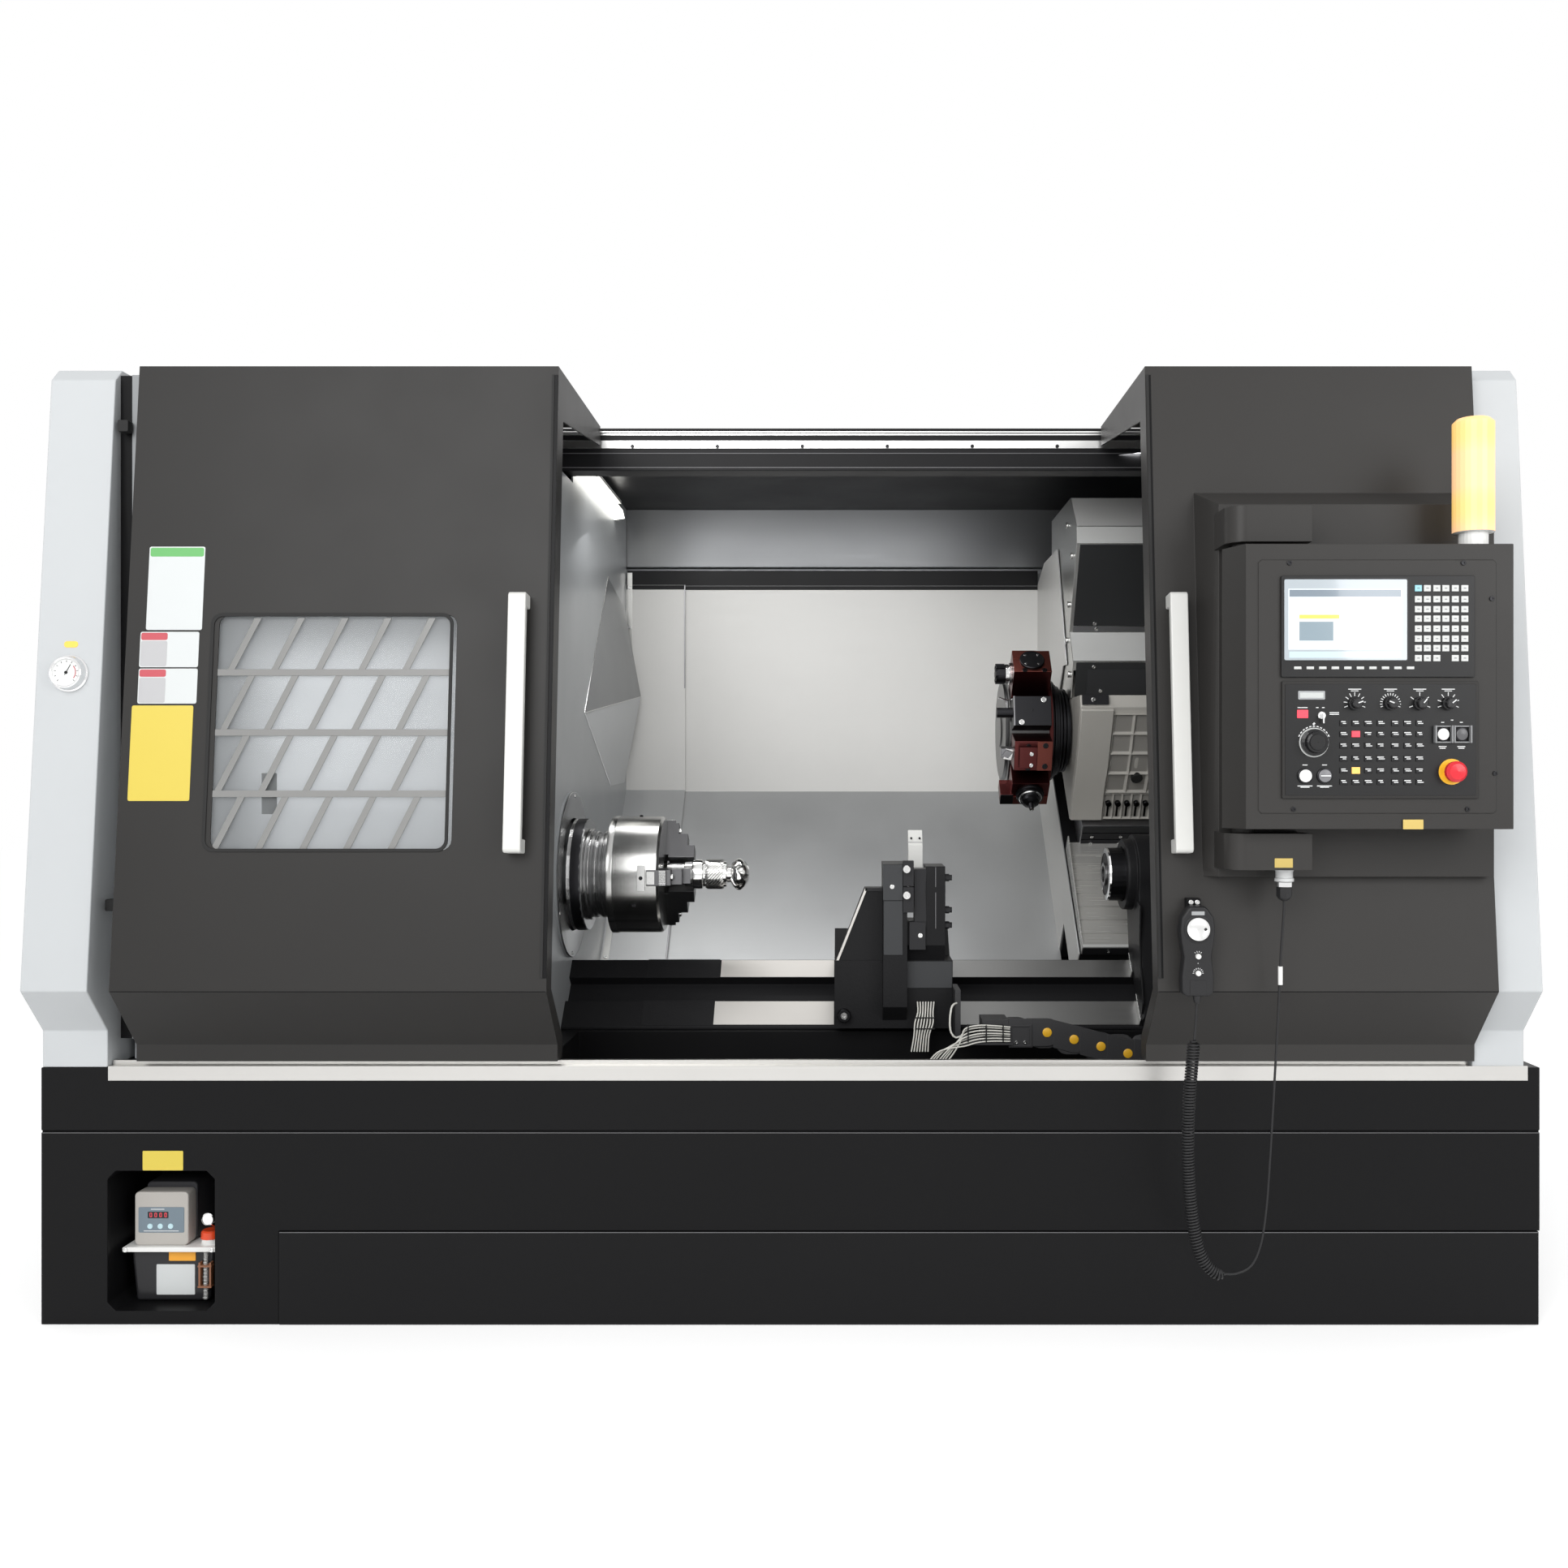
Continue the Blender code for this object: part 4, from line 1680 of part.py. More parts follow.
def build():
    for old in list(bpy.data.objects):
        bpy.data.objects.remove(old)
    base_cabinet()
    coolant_tank()
    door_sill()
    lube_unit()
    end_cover("left_end_cover", LEFT_OUTER, LEFT_OUTER + COLUMN_WIDTH, -1)
    end_cover("right_end_cover", RIGHT_OUTER, RIGHT_DOOR[1] + 0.0005, 1)
    pressure_gauge()
    rear_enclosure()
    electrical_cabinet()
    headstock_cover()
    bed_casting()
    headstock_wall()
    work_lamp()
    headstock()
    main_motor()
    drive_belt()

    axis = (0, SPINDLE_Y, SPINDLE_HEIGHT)
    carry("spindle_axis", axis, spindle(), chuck_body(), workpiece(), jaw(0), jaw(1), jaw(2))
    carry("motor_axis", (0, *on_slope(MOTOR_RUN, MOTOR_RISE)), motor_pulley())
    carry("screw_axis", (0, *on_slope(SCREW_RUN, SCREW_RISE)), z_ballscrew())
    carry("saddle_slide", axis, saddle(), sliding_guard(), telescopic_cover())
    carry("cross_slide_way", (0, *turret_axis()), cross_slide(), turret_housing(), slide_cover())
    turret = (turret_disc(), collet_holder(), boring_block(), turning_block(), drill_block())
    carry("turret_axis", (0, *turret_axis()), *turret)
    carry("tailstock_way", axis, tailstock_body(), quill())
    carry("steady_way", axis, steady_rest(), drag_chain())
    carry("steady_pivot", (0, deep(ARM_PIVOT[0]), ARM_PIVOT[1]), steady_arm())

    left_x = LEFT_DOOR[1] - LEFT_HANDLE_INSET - HANDLE_WIDTH / 2
    right_x = RIGHT_DOOR[0] + RIGHT_HANDLE_INSET - HANDLE_WIDTH / 2
    left = (left_door(), window_grille(), window_pane(), door_handle("left_door_handle", left_x))
    carry("left_door_way", (LEFT_DOOR[0], FRONT, DOOR_BOTTOM), *left)
    right = (right_door(), door_handle("right_door_handle", right_x), hand_pendant())
    carry("right_door_way", (RIGHT_DOOR[0], FRONT, DOOR_BOTTOM), *right)
    pivot = (PENDANT_AXIS[0], deep(PENDANT_AXIS[1]), PENDANT_Z[0])
    carry("pendant_pivot", pivot, pendant_housing(), display_unit(), key_panel(), signal_tower())
    face = panel_front()
    for index, x in enumerate(KNOB_X):
        knob = panel_dial(f"mode_knob_{index + 1}", x, KNOB_Z, KNOB_RADIUS, KNOB_HEIGHT, "black")
        carry(f"knob_{index + 1}_axis", (x, face, KNOB_Z), knob)
    dial = panel_dial("feed_dial", *DIAL_PLACE, DIAL_RADIUS, KNOB_HEIGHT * 1.1, "black")
    carry("feed_dial_axis", (DIAL_PLACE[0], face, DIAL_PLACE[1]), dial)
    carry("e_stop_axis", (STOP_PLACE[0], face, STOP_PLACE[1]), emergency_stop())
    carry("hand_dial_axis", on_door(0)(REMOTE_X, DOOR_KNEE_HEIGHT + REMOTE_LENGTH / 2), hand_dial())
    cord("hand_cable", CABLE_ROUTE, CABLE_RADIUS, 0.020, "rubber")
    cord("coil_cord", COIL_ROUTE, COIL_RADIUS, 0.030, "rubber", True)


build()
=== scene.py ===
# %% [markdown]
# This file dresses a slant-bed turning lathe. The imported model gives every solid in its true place, in
# metres, and this script gives each one its real finish: powder paint, ground and brushed steel, cast
# iron, moulded plastic. It also adds what is too fine for the solids, such as screws, seals, key caps,
# hoses and the coiled cord. It can be read from top to bottom as a lesson in modelling with Blender.

import json
from math import atan2, cos, degrees, pi, radians, sin, sqrt

import bpy
from mathutils import Matrix, Vector

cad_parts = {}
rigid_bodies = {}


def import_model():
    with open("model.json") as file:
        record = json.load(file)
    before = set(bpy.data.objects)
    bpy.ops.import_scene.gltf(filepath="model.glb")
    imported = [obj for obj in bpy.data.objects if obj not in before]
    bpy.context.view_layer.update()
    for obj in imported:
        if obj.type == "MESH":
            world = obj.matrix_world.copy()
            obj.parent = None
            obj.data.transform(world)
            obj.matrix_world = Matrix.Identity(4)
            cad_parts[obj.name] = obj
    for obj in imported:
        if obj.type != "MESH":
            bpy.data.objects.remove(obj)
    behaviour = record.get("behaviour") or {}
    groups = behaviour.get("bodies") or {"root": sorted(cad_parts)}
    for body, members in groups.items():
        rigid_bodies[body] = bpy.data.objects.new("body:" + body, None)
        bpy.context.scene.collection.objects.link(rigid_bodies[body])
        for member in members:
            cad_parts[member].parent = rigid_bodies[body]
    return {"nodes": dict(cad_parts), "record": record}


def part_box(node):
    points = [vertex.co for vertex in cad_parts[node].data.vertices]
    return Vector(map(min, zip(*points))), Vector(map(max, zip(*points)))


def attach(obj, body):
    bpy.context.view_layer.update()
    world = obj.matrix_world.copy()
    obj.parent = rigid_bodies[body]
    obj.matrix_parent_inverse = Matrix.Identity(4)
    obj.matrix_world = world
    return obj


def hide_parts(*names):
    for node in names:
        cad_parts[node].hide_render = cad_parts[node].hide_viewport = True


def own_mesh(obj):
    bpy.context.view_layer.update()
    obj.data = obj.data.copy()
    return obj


bpy.ops.object.select_all(action="SELECT")
bpy.ops.object.delete()
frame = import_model()
bpy.ops.object.select_all(action="DESELECT")
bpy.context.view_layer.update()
nodes = frame["nodes"]
home = {node: body for body, names in frame["record"]["behaviour"]["bodies"].items() for node in names}

# %% [markdown]
# The camera comes first, because every later choice is judged through it. The photograph was taken
# square on: upright edges stay upright, so the camera is level, and lens shift moves the machine within
# the frame. Its distance is set by how fast the sizes shrink from the doors to the back of the work zone.

# %% Camera
FRONT = -0.875
SPINDLE_Y, SPINDLE_Z = -0.275, 0.951
SLOPE = sqrt(0.5)
PICTURE = 1932
bpy.ops.object.camera_add(location=(0.118, FRONT - 3.1, 1.2007), rotation=(pi / 2, 0, 0))
camera = bpy.context.object
camera.name = "camera"
camera.data.sensor_width = 36
camera.data.lens = 36 * 1735 / PICTURE
camera.data.shift_x = -74 / PICTURE
camera.data.shift_y = -6 / PICTURE
bpy.context.scene.camera = camera

# %% [markdown]
# Small helpers keep the modelling short. A piece's place is always in its mesh, so its object stays at
# the origin: that way a pattern in object coordinates does not slide when the piece moves.


# %% Helpers for selecting and finishing pieces
def deep(depth):
    """The y of a depth behind the base's front plane."""
    return FRONT + depth


def on_slope(run, rise):
    """The (y, z) of a point on the slant bed: run up the slope, rise square to it."""
    return (SPINDLE_Y + (run - rise) * SLOPE, SPINDLE_Z + (run + rise) * SLOPE)


def only(piece):
    """Selects one piece and makes it active."""
    bpy.ops.object.select_all(action="DESELECT")
    piece.select_set(True)
    bpy.context.view_layer.objects.active = piece
    return piece


def settle(piece):
    """Moves a piece's place into its mesh."""
    only(piece)
    bpy.ops.object.transform_apply(location=True, rotation=True, scale=True)
    return piece


def edit_all(piece):
    """Opens one piece in edit mode, all of it selected."""
    only(piece)
    bpy.ops.object.mode_set(mode="EDIT")
    bpy.ops.mesh.select_all(action="SELECT")


def rounded(piece, width, segments=2, angle=30):
    """Rounds the edges that are sharper than the angle, and keeps the flat faces flat to the eye."""
    only(piece)
    bevel = piece.modifiers.new("edges", "BEVEL")
    bevel.width = width
    bevel.segments = segments
    bevel.limit_method = "ANGLE"
    bevel.angle_limit = radians(angle)
    bevel.use_clamp_overlap = True
    bpy.ops.object.modifier_apply(modifier=bevel.name)
    bpy.ops.object.shade_smooth_by_angle(angle=radians(50))
    even = piece.modifiers.new("even", "WEIGHTED_NORMAL")
    even.keep_sharp = True
    bpy.ops.object.modifier_apply(modifier=even.name)
    return piece


def coat(piece, finish, body):
    """Gives a piece its finish and the body that it moves with."""
    piece.data.materials.clear()
    piece.data.materials.append(finish)
    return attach(piece, body)


# %% [markdown]
# Materials are written as maths. The class below wraps a shader socket, so that `1 - mask * 0.3` adds
# the Math nodes by itself. One more method adds any other node from its type, settings and sockets.


# %% Shader maths
class Wire:
    """A shader socket that takes Python's own operators."""

    def __init__(self, tree, socket):
        self.tree = tree
        self.socket = socket

    def maths(self, operation, left, right):
        node = self.tree.nodes.new("ShaderNodeMath")
        node.operation = operation
        for socket, value in zip(node.inputs, (left, right)):
            if isinstance(value, Wire):
                self.tree.links.new(value.socket, socket)
            else:
                socket.default_value = value
        return Wire(self.tree, node.outputs[0])

    def __add__(self, other):
        return self.maths("ADD", self, other)

    def __radd__(self, other):
        return self.maths("ADD", other, self)

    def __sub__(self, other):
        return self.maths("SUBTRACT", self, other)

    def __rsub__(self, other):
        return self.maths("SUBTRACT", other, self)

    def __mul__(self, other):
        return self.maths("MULTIPLY", self, other)

    def __rmul__(self, other):
        return self.maths("MULTIPLY", other, self)

    def __gt__(self, other):
        return self.maths("GREATER_THAN", self, other)

    def __lt__(self, other):
        return self.maths("LESS_THAN", self, other)


class Finish:
    """A material whose Principled shader takes numbers and wires by socket name."""

    def __init__(self, name, colour, roughness, metallic=0.0, **plain):
        self.material = bpy.data.materials.new(name)
        self.material.use_nodes = True
        self.tree = self.material.node_tree
        self.shader = self.tree.nodes["Principled BSDF"]
        self.put("Base Color", (*colour, 1.0))
        self.put("Roughness", roughness)
        self.put("Metallic", metallic)
        for socket, value in plain.items():
            self.put(socket.replace("_", " "), value)

    def put(self, socket, value):
        """Sets a shader socket to a number or a colour, or links a wire to it."""
        if isinstance(value, Wire):
            self.tree.links.new(value.socket, self.shader.inputs[socket])
        else:
            self.shader.inputs[socket].default_value = value
        return self

    def node(self, kind, settings, sockets, output=0):
        """Adds any node: its settings first, then its sockets, and gives back one output."""
        node = self.tree.nodes.new(kind)
        for key, value in settings.items():
            setattr(node, key, value)
        for key, value in sockets.items():
            if isinstance(value, Wire):
                self.tree.links.new(value.socket, node.inputs[key])
            else:
                node.inputs[key].default_value = value
        return Wire(self.tree, node.outputs[output])

    def place(self, stretch=(1, 1, 1), turn=(0, 0, 0), shift=(0, 0, 0)):
        """Object coordinates, stretched, turned and shifted."""
        here = self.node("ShaderNodeTexCoord", {}, {}, "Object")
        sockets = {"Vector": here, "Scale": stretch, "Rotation": turn, "Location": shift}
        return self.node("ShaderNodeMapping", {}, sockets)

    def noise(self, scale, detail=2.0, vector=None, rough=0.5):
        """A noise from 0 to 1."""
        sockets = {"Scale": scale, "Detail": detail, "Roughness": rough}
        sockets["Vector"] = vector or self.place()
        return self.node("ShaderNodeTexNoise", {}, sockets, "Fac")

    def blend(self, mask, low, high):
        """A colour between two, by a mask."""
        sockets = {0: mask, 6: (*low, 1), 7: (*high, 1)}
        return self.node("ShaderNodeMix", {"data_type": "RGBA"}, sockets, 2)

    def bump(self, height, distance, strength=1.0):
        """Turns a height into a small relief."""
        sockets = {"Height": height, "Distance": distance, "Strength": strength}
        self.put("Normal", self.node("ShaderNodeBump", {}, sockets))
        return self


# %% [markdown]
# Powder paint has three visible traits: an orange-peel relief about a millimetre wide, a colour that
# drifts very slightly over a large sheet, and a sheen that is broken where hands and cloths have been.


# %% Painted finishes
def powder(name, colour, roughness, peel=620, relief=0.00006, drift=0.1):
    """Powder paint on sheet or castings."""
    depth = max(colour)
    finish = Finish(name, colour, roughness, Specular_IOR_Level=0.12 if depth < 0.02 else 0.22
        if depth < 0.1 else 0.45)
    cloud = finish.noise(1.7, 3.0)
    low = [c * (1 - drift) for c in colour]
    high = [min(1.0, c * (1 + drift)) for c in colour]
    finish.put("Base Color", finish.blend(cloud, low, high))
    finish.put("Roughness", finish.noise(6.0, 5.0) * 0.12 + (roughness - 0.06))
    finish.bump(finish.noise(peel, 1.0), relief)
    return finish.material


charcoal_light = powder("lighter charcoal powder paint", (0.034, 0.0325, 0.031), 0.42)
charcoal = powder("charcoal powder paint", (0.0235, 0.0225, 0.0215), 0.42)
base_black = powder("base black paint", (0.0062, 0.0062, 0.0067), 0.4)
tank_black = powder("tank black paint", (0.008, 0.008, 0.0086), 0.42)
bed_black = powder("bed black paint", (0.012, 0.012, 0.013), 0.45, 240, 0.0002)
cast_black = powder("casting black paint", (0.014, 0.014, 0.015), 0.4, 180, 0.0003)
roof_paint = powder("roof grey paint", (0.38, 0.39, 0.4), 0.62, drift=0.05)
cover_paint = powder("headstock cover paint", (0.64, 0.665, 0.69), 0.42, drift=0.09)
pale_grey = powder("pale grey powder paint", (0.54, 0.56, 0.572), 0.48, drift=0.05)
wall_grey = powder("wall grey paint", (0.3, 0.312, 0.32), 0.33, drift=0.06)
# The chip deflector's grey comes in a darker and a lighter copy, set by which way a facet faces: painted
# shade and painted light.
wall_fold_painted_shade = powder("wall fold grey, painted shade", (0.17, 0.176, 0.18), 0.33, drift=0.06)
wall_fold_painted_light = powder("wall fold grey, painted light", (0.44, 0.452, 0.46), 0.33, drift=0.06)
# A grey for thin lines on black plates and profiles, standing for the light that their edges catch: painted
# highlight.
edge_highlight_grey = powder("seam edge grey, painted highlight", (0.15, 0.15, 0.155), 0.35)
cover_pale = powder("cover pale paint", (0.5, 0.505, 0.495), 0.36, drift=0.05)
head_grey = powder("headstock grey paint", (0.42, 0.43, 0.44), 0.45, 240, 0.0002)
# A darker beige for the floors of the casting's sunk pockets: painted shade.
pocket_painted_shade = powder("casting pocket beige, painted shade", (0.27, 0.26, 0.24), 0.6, 260, 0.0003, 0.06)
casting_beige = powder("casting beige paint", (0.46, 0.445, 0.41), 0.55, 260, 0.0003, 0.06)
handle_white = powder("handle off-white enamel", (0.7, 0.7, 0.675), 0.3, 900, 0.00002, 0.02)
motor_grey = powder("motor grey paint", (0.05, 0.05, 0.055), 0.45, 300, 0.0002)

# %% [markdown]
# Metal shows how it was made. Brushed sheet has fine lines along one way, turned steel has rings round
# its axis, and ground ways have crossed, very fine lines. Each is a noise that is stretched along the
# marks: the lines vary the roughness and raise a relief of a few micrometres.


# %% Metal finishes
def brushed(name, colour, roughness, grain=(6, 700, 700), turn=(0, 0, 0), relief=0.00003, cloud=0.08,
    metallic=1.0):
    """Brushed or ground metal, its lines along the axis with the small number."""
    finish = Finish(name, colour, roughness, metallic)
    lines = finish.noise(1.0, 2.0, finish.place(grain, turn))
    stains = finish.noise(3.5, 4.0, None, 0.6)
    finish.put("Roughness", lines * 0.16 + stains * cloud + (roughness - 0.1))
    low = [c * 0.9 for c in colour]
    finish.put("Base Color", finish.blend(stains, low, colour))
    finish.bump(lines, relief)
    return finish.material


def turned_steel(name, colour, roughness, y=SPINDLE_Y, z=SPINDLE_Z):
    """Steel turned about an axis along X: its rings depend on the length and the radius alone."""
    finish = Finish(name, colour, roughness, 1.0)
    here = finish.place(shift=(0, -y, -z))
    split = finish.tree.nodes.new("ShaderNodeSeparateXYZ")
    finish.tree.links.new(here.socket, split.inputs[0])
    along, across, upward = (Wire(finish.tree, output) for output in split.outputs)
    radius = (across * across + upward * upward).maths("POWER", across * across + upward * upward, 0.5)
    rings = finish.node("ShaderNodeCombineXYZ", {}, {"X": along * 900, "Y": radius * 900, "Z": 0.0})
    lines = finish.noise(1.0, 2.0, rings)
    finish.put("Roughness", lines * 0.14 + (roughness - 0.07))
    finish.bump(lines, 0.00003)
    return finish.material


guard_steel = brushed("guard sheet steel", (0.7, 0.695, 0.675), 0.46, metallic=0.3)
slope_steel = brushed("guard slope steel", (0.56, 0.57, 0.575), 0.34, metallic=0.6, cloud=0.16)
upper_steel = brushed("upper panel steel", (0.17, 0.175, 0.18), 0.3, metallic=0.75, cloud=0.12)
top_steel = brushed("cover grey steel", (0.58, 0.58, 0.57), 0.34, (5, 500, 500), metallic=0.15)
jaw_steel = brushed("jaw steel", (0.17, 0.17, 0.175), 0.3, (60, 300, 300))
# A darker copy of the way steel for the right-hand way strips: painted shade.
way_painted_shade = brushed("way steel, painted shade", (0.3, 0.3, 0.295), 0.38, (4, 420, 420))
sill_steel = brushed("sill steel", (0.58, 0.57, 0.55), 0.3, (3, 500, 500))
panel_steel = brushed("panel sheet steel", (0.36, 0.37, 0.38), 0.36, (4, 600, 600), cloud=0.14)
cover_steel = brushed("cover sheet steel", (0.6, 0.6, 0.58), 0.3, (5, 650, 650))
slide_steel = brushed("slide ground steel", (0.3, 0.3, 0.31), 0.34)
way_steel = brushed("way ground steel", (0.62, 0.6, 0.57), 0.36, (4, 420, 420))
plate_steel = brushed("telescopic plate steel", (0.62, 0.615, 0.59), 0.24, (5, 300, 300), cloud=0.05,
    metallic=0.5)
chuck_steel = turned_steel("chuck polished steel", (0.46, 0.46, 0.45), 0.22)
nose_steel = turned_steel("spindle nose steel", (0.5, 0.5, 0.5), 0.24)
black_oxide = brushed("black oxide steel", (0.035, 0.035, 0.038), 0.38, (60, 300, 300))
tool_steel = turned_steel("cutter bright steel", (0.8, 0.8, 0.79), 0.16)
disc_steel = turned_steel("disc steel", (0.12, 0.12, 0.12), 0.34, *on_slope(0.552, 0))
screw_steel = brushed("ball screw steel", (0.6, 0.6, 0.6), 0.25, (900, 20, 20))
chrome = Finish("bright plated steel", (0.82, 0.82, 0.82), 0.12, 1.0).material
maroon_steel = brushed("oiled dark red steel", (0.125, 0.034, 0.033), 0.32, (80, 420, 420), cloud=0.05)

# %% [markdown]
# Moulded plastic, rubber and glass are plainer, but none is one flat colour: moulded parts have a fine
# spark-eroded texture, and rubber is slightly dusty.


# %% Plastic, rubber and glass finishes
def moulded(name, colour, roughness, texture=0.00004, scale=1500):
    """Moulded plastic with a fine even texture."""
    finish = Finish(name, colour, roughness, Specular_IOR_Level=0.3 if max(colour) < 0.1 else 0.5)
    grain = finish.noise(scale, 1.0)
    finish.put("Roughness", finish.noise(9.0, 3.0) * 0.1 + (roughness - 0.05))
    finish.bump(grain, texture)
    return finish.material


black_plastic = moulded("black moulded plastic", (0.016, 0.016, 0.017), 0.42)
panel_black = moulded("panel black film", (0.0095, 0.0095, 0.01), 0.38, 0.00002)
chain_black = moulded("chain black nylon", (0.04, 0.04, 0.042), 0.44, 0.0001, 900)
rubber = moulded("black rubber", (0.014, 0.014, 0.014), 0.62, 0.0001, 700)
key_white = moulded("key white plastic", (0.6, 0.61, 0.6), 0.38)
key_black = moulded("key black plastic", (0.012, 0.012, 0.013), 0.22)
pump_grey = moulded("pump grey paint", (0.44, 0.42, 0.39), 0.42, 0.0001, 500)
tank_smoke = moulded("oil tank smoked plastic", (0.02, 0.02, 0.022), 0.18)
white_plastic = moulded("white plastic", (0.83, 0.83, 0.81), 0.35)
red_plastic = moulded("red plastic", (0.72, 0.018, 0.032), 0.26)
orange_plastic = moulded("orange red plastic", (0.78, 0.075, 0.018), 0.3)
yellow_plastic = moulded("yellow plastic", (0.9, 0.5, 0.03), 0.38)
cord_rubber = moulded("cord black rubber", (0.017, 0.017, 0.018), 0.45, 0.00003, 900)


def glowing(name, colour, light, strength, roughness=0.3):
    """A plastic lens with light behind it."""
    finish = Finish(name, colour, roughness)
    finish.put("Emission Color", (*light, 1.0))
    finish.put("Emission Strength", strength)
    return finish.material


lamp_glow = glowing("lamp lens glow", (0.95, 0.95, 0.9), (1.0, 0.99, 0.93), 3.2)
red_glow = glowing("red display glow", (0.55, 0.02, 0.04), (1.0, 0.1, 0.14), 0.7)
amber_key_glow = glowing("amber key glow", (0.85, 0.5, 0.12), (1.0, 0.55, 0.15), 0.35)

pane = Finish("window pane", (0.8, 0.84, 0.86), 0.06, Alpha=0.1).material
clear_plastic = Finish("clear plastic", (0.8, 0.8, 0.78), 0.1, Alpha=0.28).material

# %% [markdown]
# The signal tower's amber lens is lit from inside by a lamp at each end, so its glow is yellow near the
# lamps and paler between them. A wave along its height mixes the two colours.

# %% Tower finish
tower_low, tower_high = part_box("signal_tower")
tower = Finish("tower amber lens", (0.92, 0.55, 0.25), 0.3)
height = tower.node("ShaderNodeSeparateXYZ", {}, {0: tower.place()}, 2)
share = (height - tower_low.z) * (1 / (tower_high.z - tower_low.z))
spot_low = (share - 0.3) * (share - 0.3) * 40
spot_high = (share - 0.88) * (share - 0.88) * 40
nearest = spot_low.maths("MINIMUM", spot_low, spot_high)
dim = nearest.maths("MINIMUM", nearest, 1.0)
tower.put("Emission Color", tower.blend(dim, (1.0, 0.66, 0.1), (1.0, 0.6, 0.36)))
tower.put("Emission Strength", 0.45)
amber_lens = tower.material

# %% [markdown]
# Sheet metal and castings never have knife-sharp edges. Each solid is copied, its triangles are welded
# and dissolved back into flat faces, and every sharp edge is rounded by a millimetre or two, so that it
# catches a thin line of light, as the real edges do. The copy then stands for its solid.


# %% Round every solid's edges and give it its finish
def dressed(node, finish, width=0.0015, segments=2, angle=30):
    """A copy of a solid with rounded edges and its finish, which stands for the solid."""
    piece = bpy.data.objects.new(node + "_finished", nodes[node].data.copy())
    bpy.context.scene.collection.objects.link(piece)
    edit_all(piece)
    bpy.ops.mesh.remove_doubles(threshold=0.00001)
    bpy.ops.mesh.dissolve_limited(angle_limit=radians(0.6))
    bpy.ops.object.mode_set(mode="OBJECT")
    rounded(piece, width, segments, angle)
    coat(piece, finish, home[node])
    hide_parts(node)
    return piece


def recolour(piece, finish, chosen):
    """Gives another finish to the faces that the test picks by their centre and normal."""
    piece.data.materials.append(finish)
    number = len(piece.data.materials) - 1
    for face in piece.data.polygons:
        if chosen(face.center, face.normal):
            face.material_index = number


FINISHES = {"base_cabinet": (base_black, 0.002), "coolant_tank": (tank_black, 0.002),
    "door_sill": (sill_steel, 0.0005), "bed_casting": (bed_black, 0.0015), "headstock": (head_grey, 0.006),
    "headstock_cover": (cover_paint, 0.0006), "left_end_cover": (pale_grey, 0.003),
    "right_end_cover": (pale_grey, 0.003), "headstock_wall": (wall_grey, 0.0005),
    "rear_enclosure": (panel_steel, 0.002), "electrical_cabinet": (pale_grey, 0.003),
    "main_motor": (motor_grey, 0.002), "saddle": (bed_black, 0.003), "sliding_guard": (guard_steel, 0.0005),
    "cross_slide": (slide_steel, 0.0015), "turret_housing": (casting_beige, 0.0025),
    "slide_cover": (cover_steel, 0.0006), "turret_disc": (disc_steel, 0.0015),
    "collet_holder": (maroon_steel, 0.0012), "boring_block": (black_oxide, 0.0012),
    "turning_block": (maroon_steel, 0.0012), "drill_block": (maroon_steel, 0.0012),
    "tailstock_body": (cast_black, 0.003), "steady_rest": (cast_black, 0.0015),
    "steady_arm": (handle_white, 0.0012), "left_door": (charcoal, 0.0012),
    "right_door": (charcoal_light, 0.0015), "left_door_handle": (handle_white, 0.003),
    "right_door_handle": (handle_white, 0.003), "pendant_housing": (charcoal_light, 0.002),
    "jaw_1": (jaw_steel, 0.001), "jaw_2": (jaw_steel, 0.001), "jaw_3": (jaw_steel, 0.001),
    "chuck_body": (chuck_steel, 0.0012), "drag_chain": (chain_black, 0.0012),
    "drive_belt": (rubber, 0.0008)}
made = {}
for node, (finish, width) in FINISHES.items():
    made[node] = dressed(node, finish, width)
inner_black = powder("inner black sheet", (0.014, 0.014, 0.015), 0.36)
recolour(made["rear_enclosure"], roof_paint, lambda at, out: out.z > 0.5 and at.z > 1.9)
recolour(made["rear_enclosure"], upper_steel, lambda at, out: out.y < -0.3 and at.z > 1.5 and at.y > 0.0)
recolour(made["rear_enclosure"], inner_black, lambda at, out: out.z < -0.5 and at.z > 1.9)
recolour(made["rear_enclosure"], inner_black, lambda at, out: at.y < -0.05 and at.z > 1.9)
recolour(made["headstock_wall"], guard_steel, lambda at, out: at.x > -0.54)
recolour(made["headstock_wall"], slope_steel, lambda at, out: at.x > -0.54 and out.z > 0.3)
recolour(made["sliding_guard"], slope_steel, lambda at, out: out.z > 0.3)
# The deflector's up-facing facets take the darker copy and its down-facing facets the lighter one: painted
# shade and painted light.
recolour(made["headstock_wall"], wall_fold_painted_shade, lambda at, out: -0.596 < at.x < -0.55 and 1.2 < at.z < 1.82
    and out.z > 0.02)
recolour(made["headstock_wall"], wall_fold_painted_light, lambda at, out: -0.596 < at.x < -0.55 and 1.2 < at.z < 1.82
    and out.z < -0.02)
recolour(made["collet_holder"], black_oxide, lambda at, out: at.x < 0.5838)
recolour(made["turning_block"], slide_steel, lambda at, out: at.x < 0.5838)
recolour(made["turret_disc"], black_oxide, lambda at, out: at.x > 0.6998)

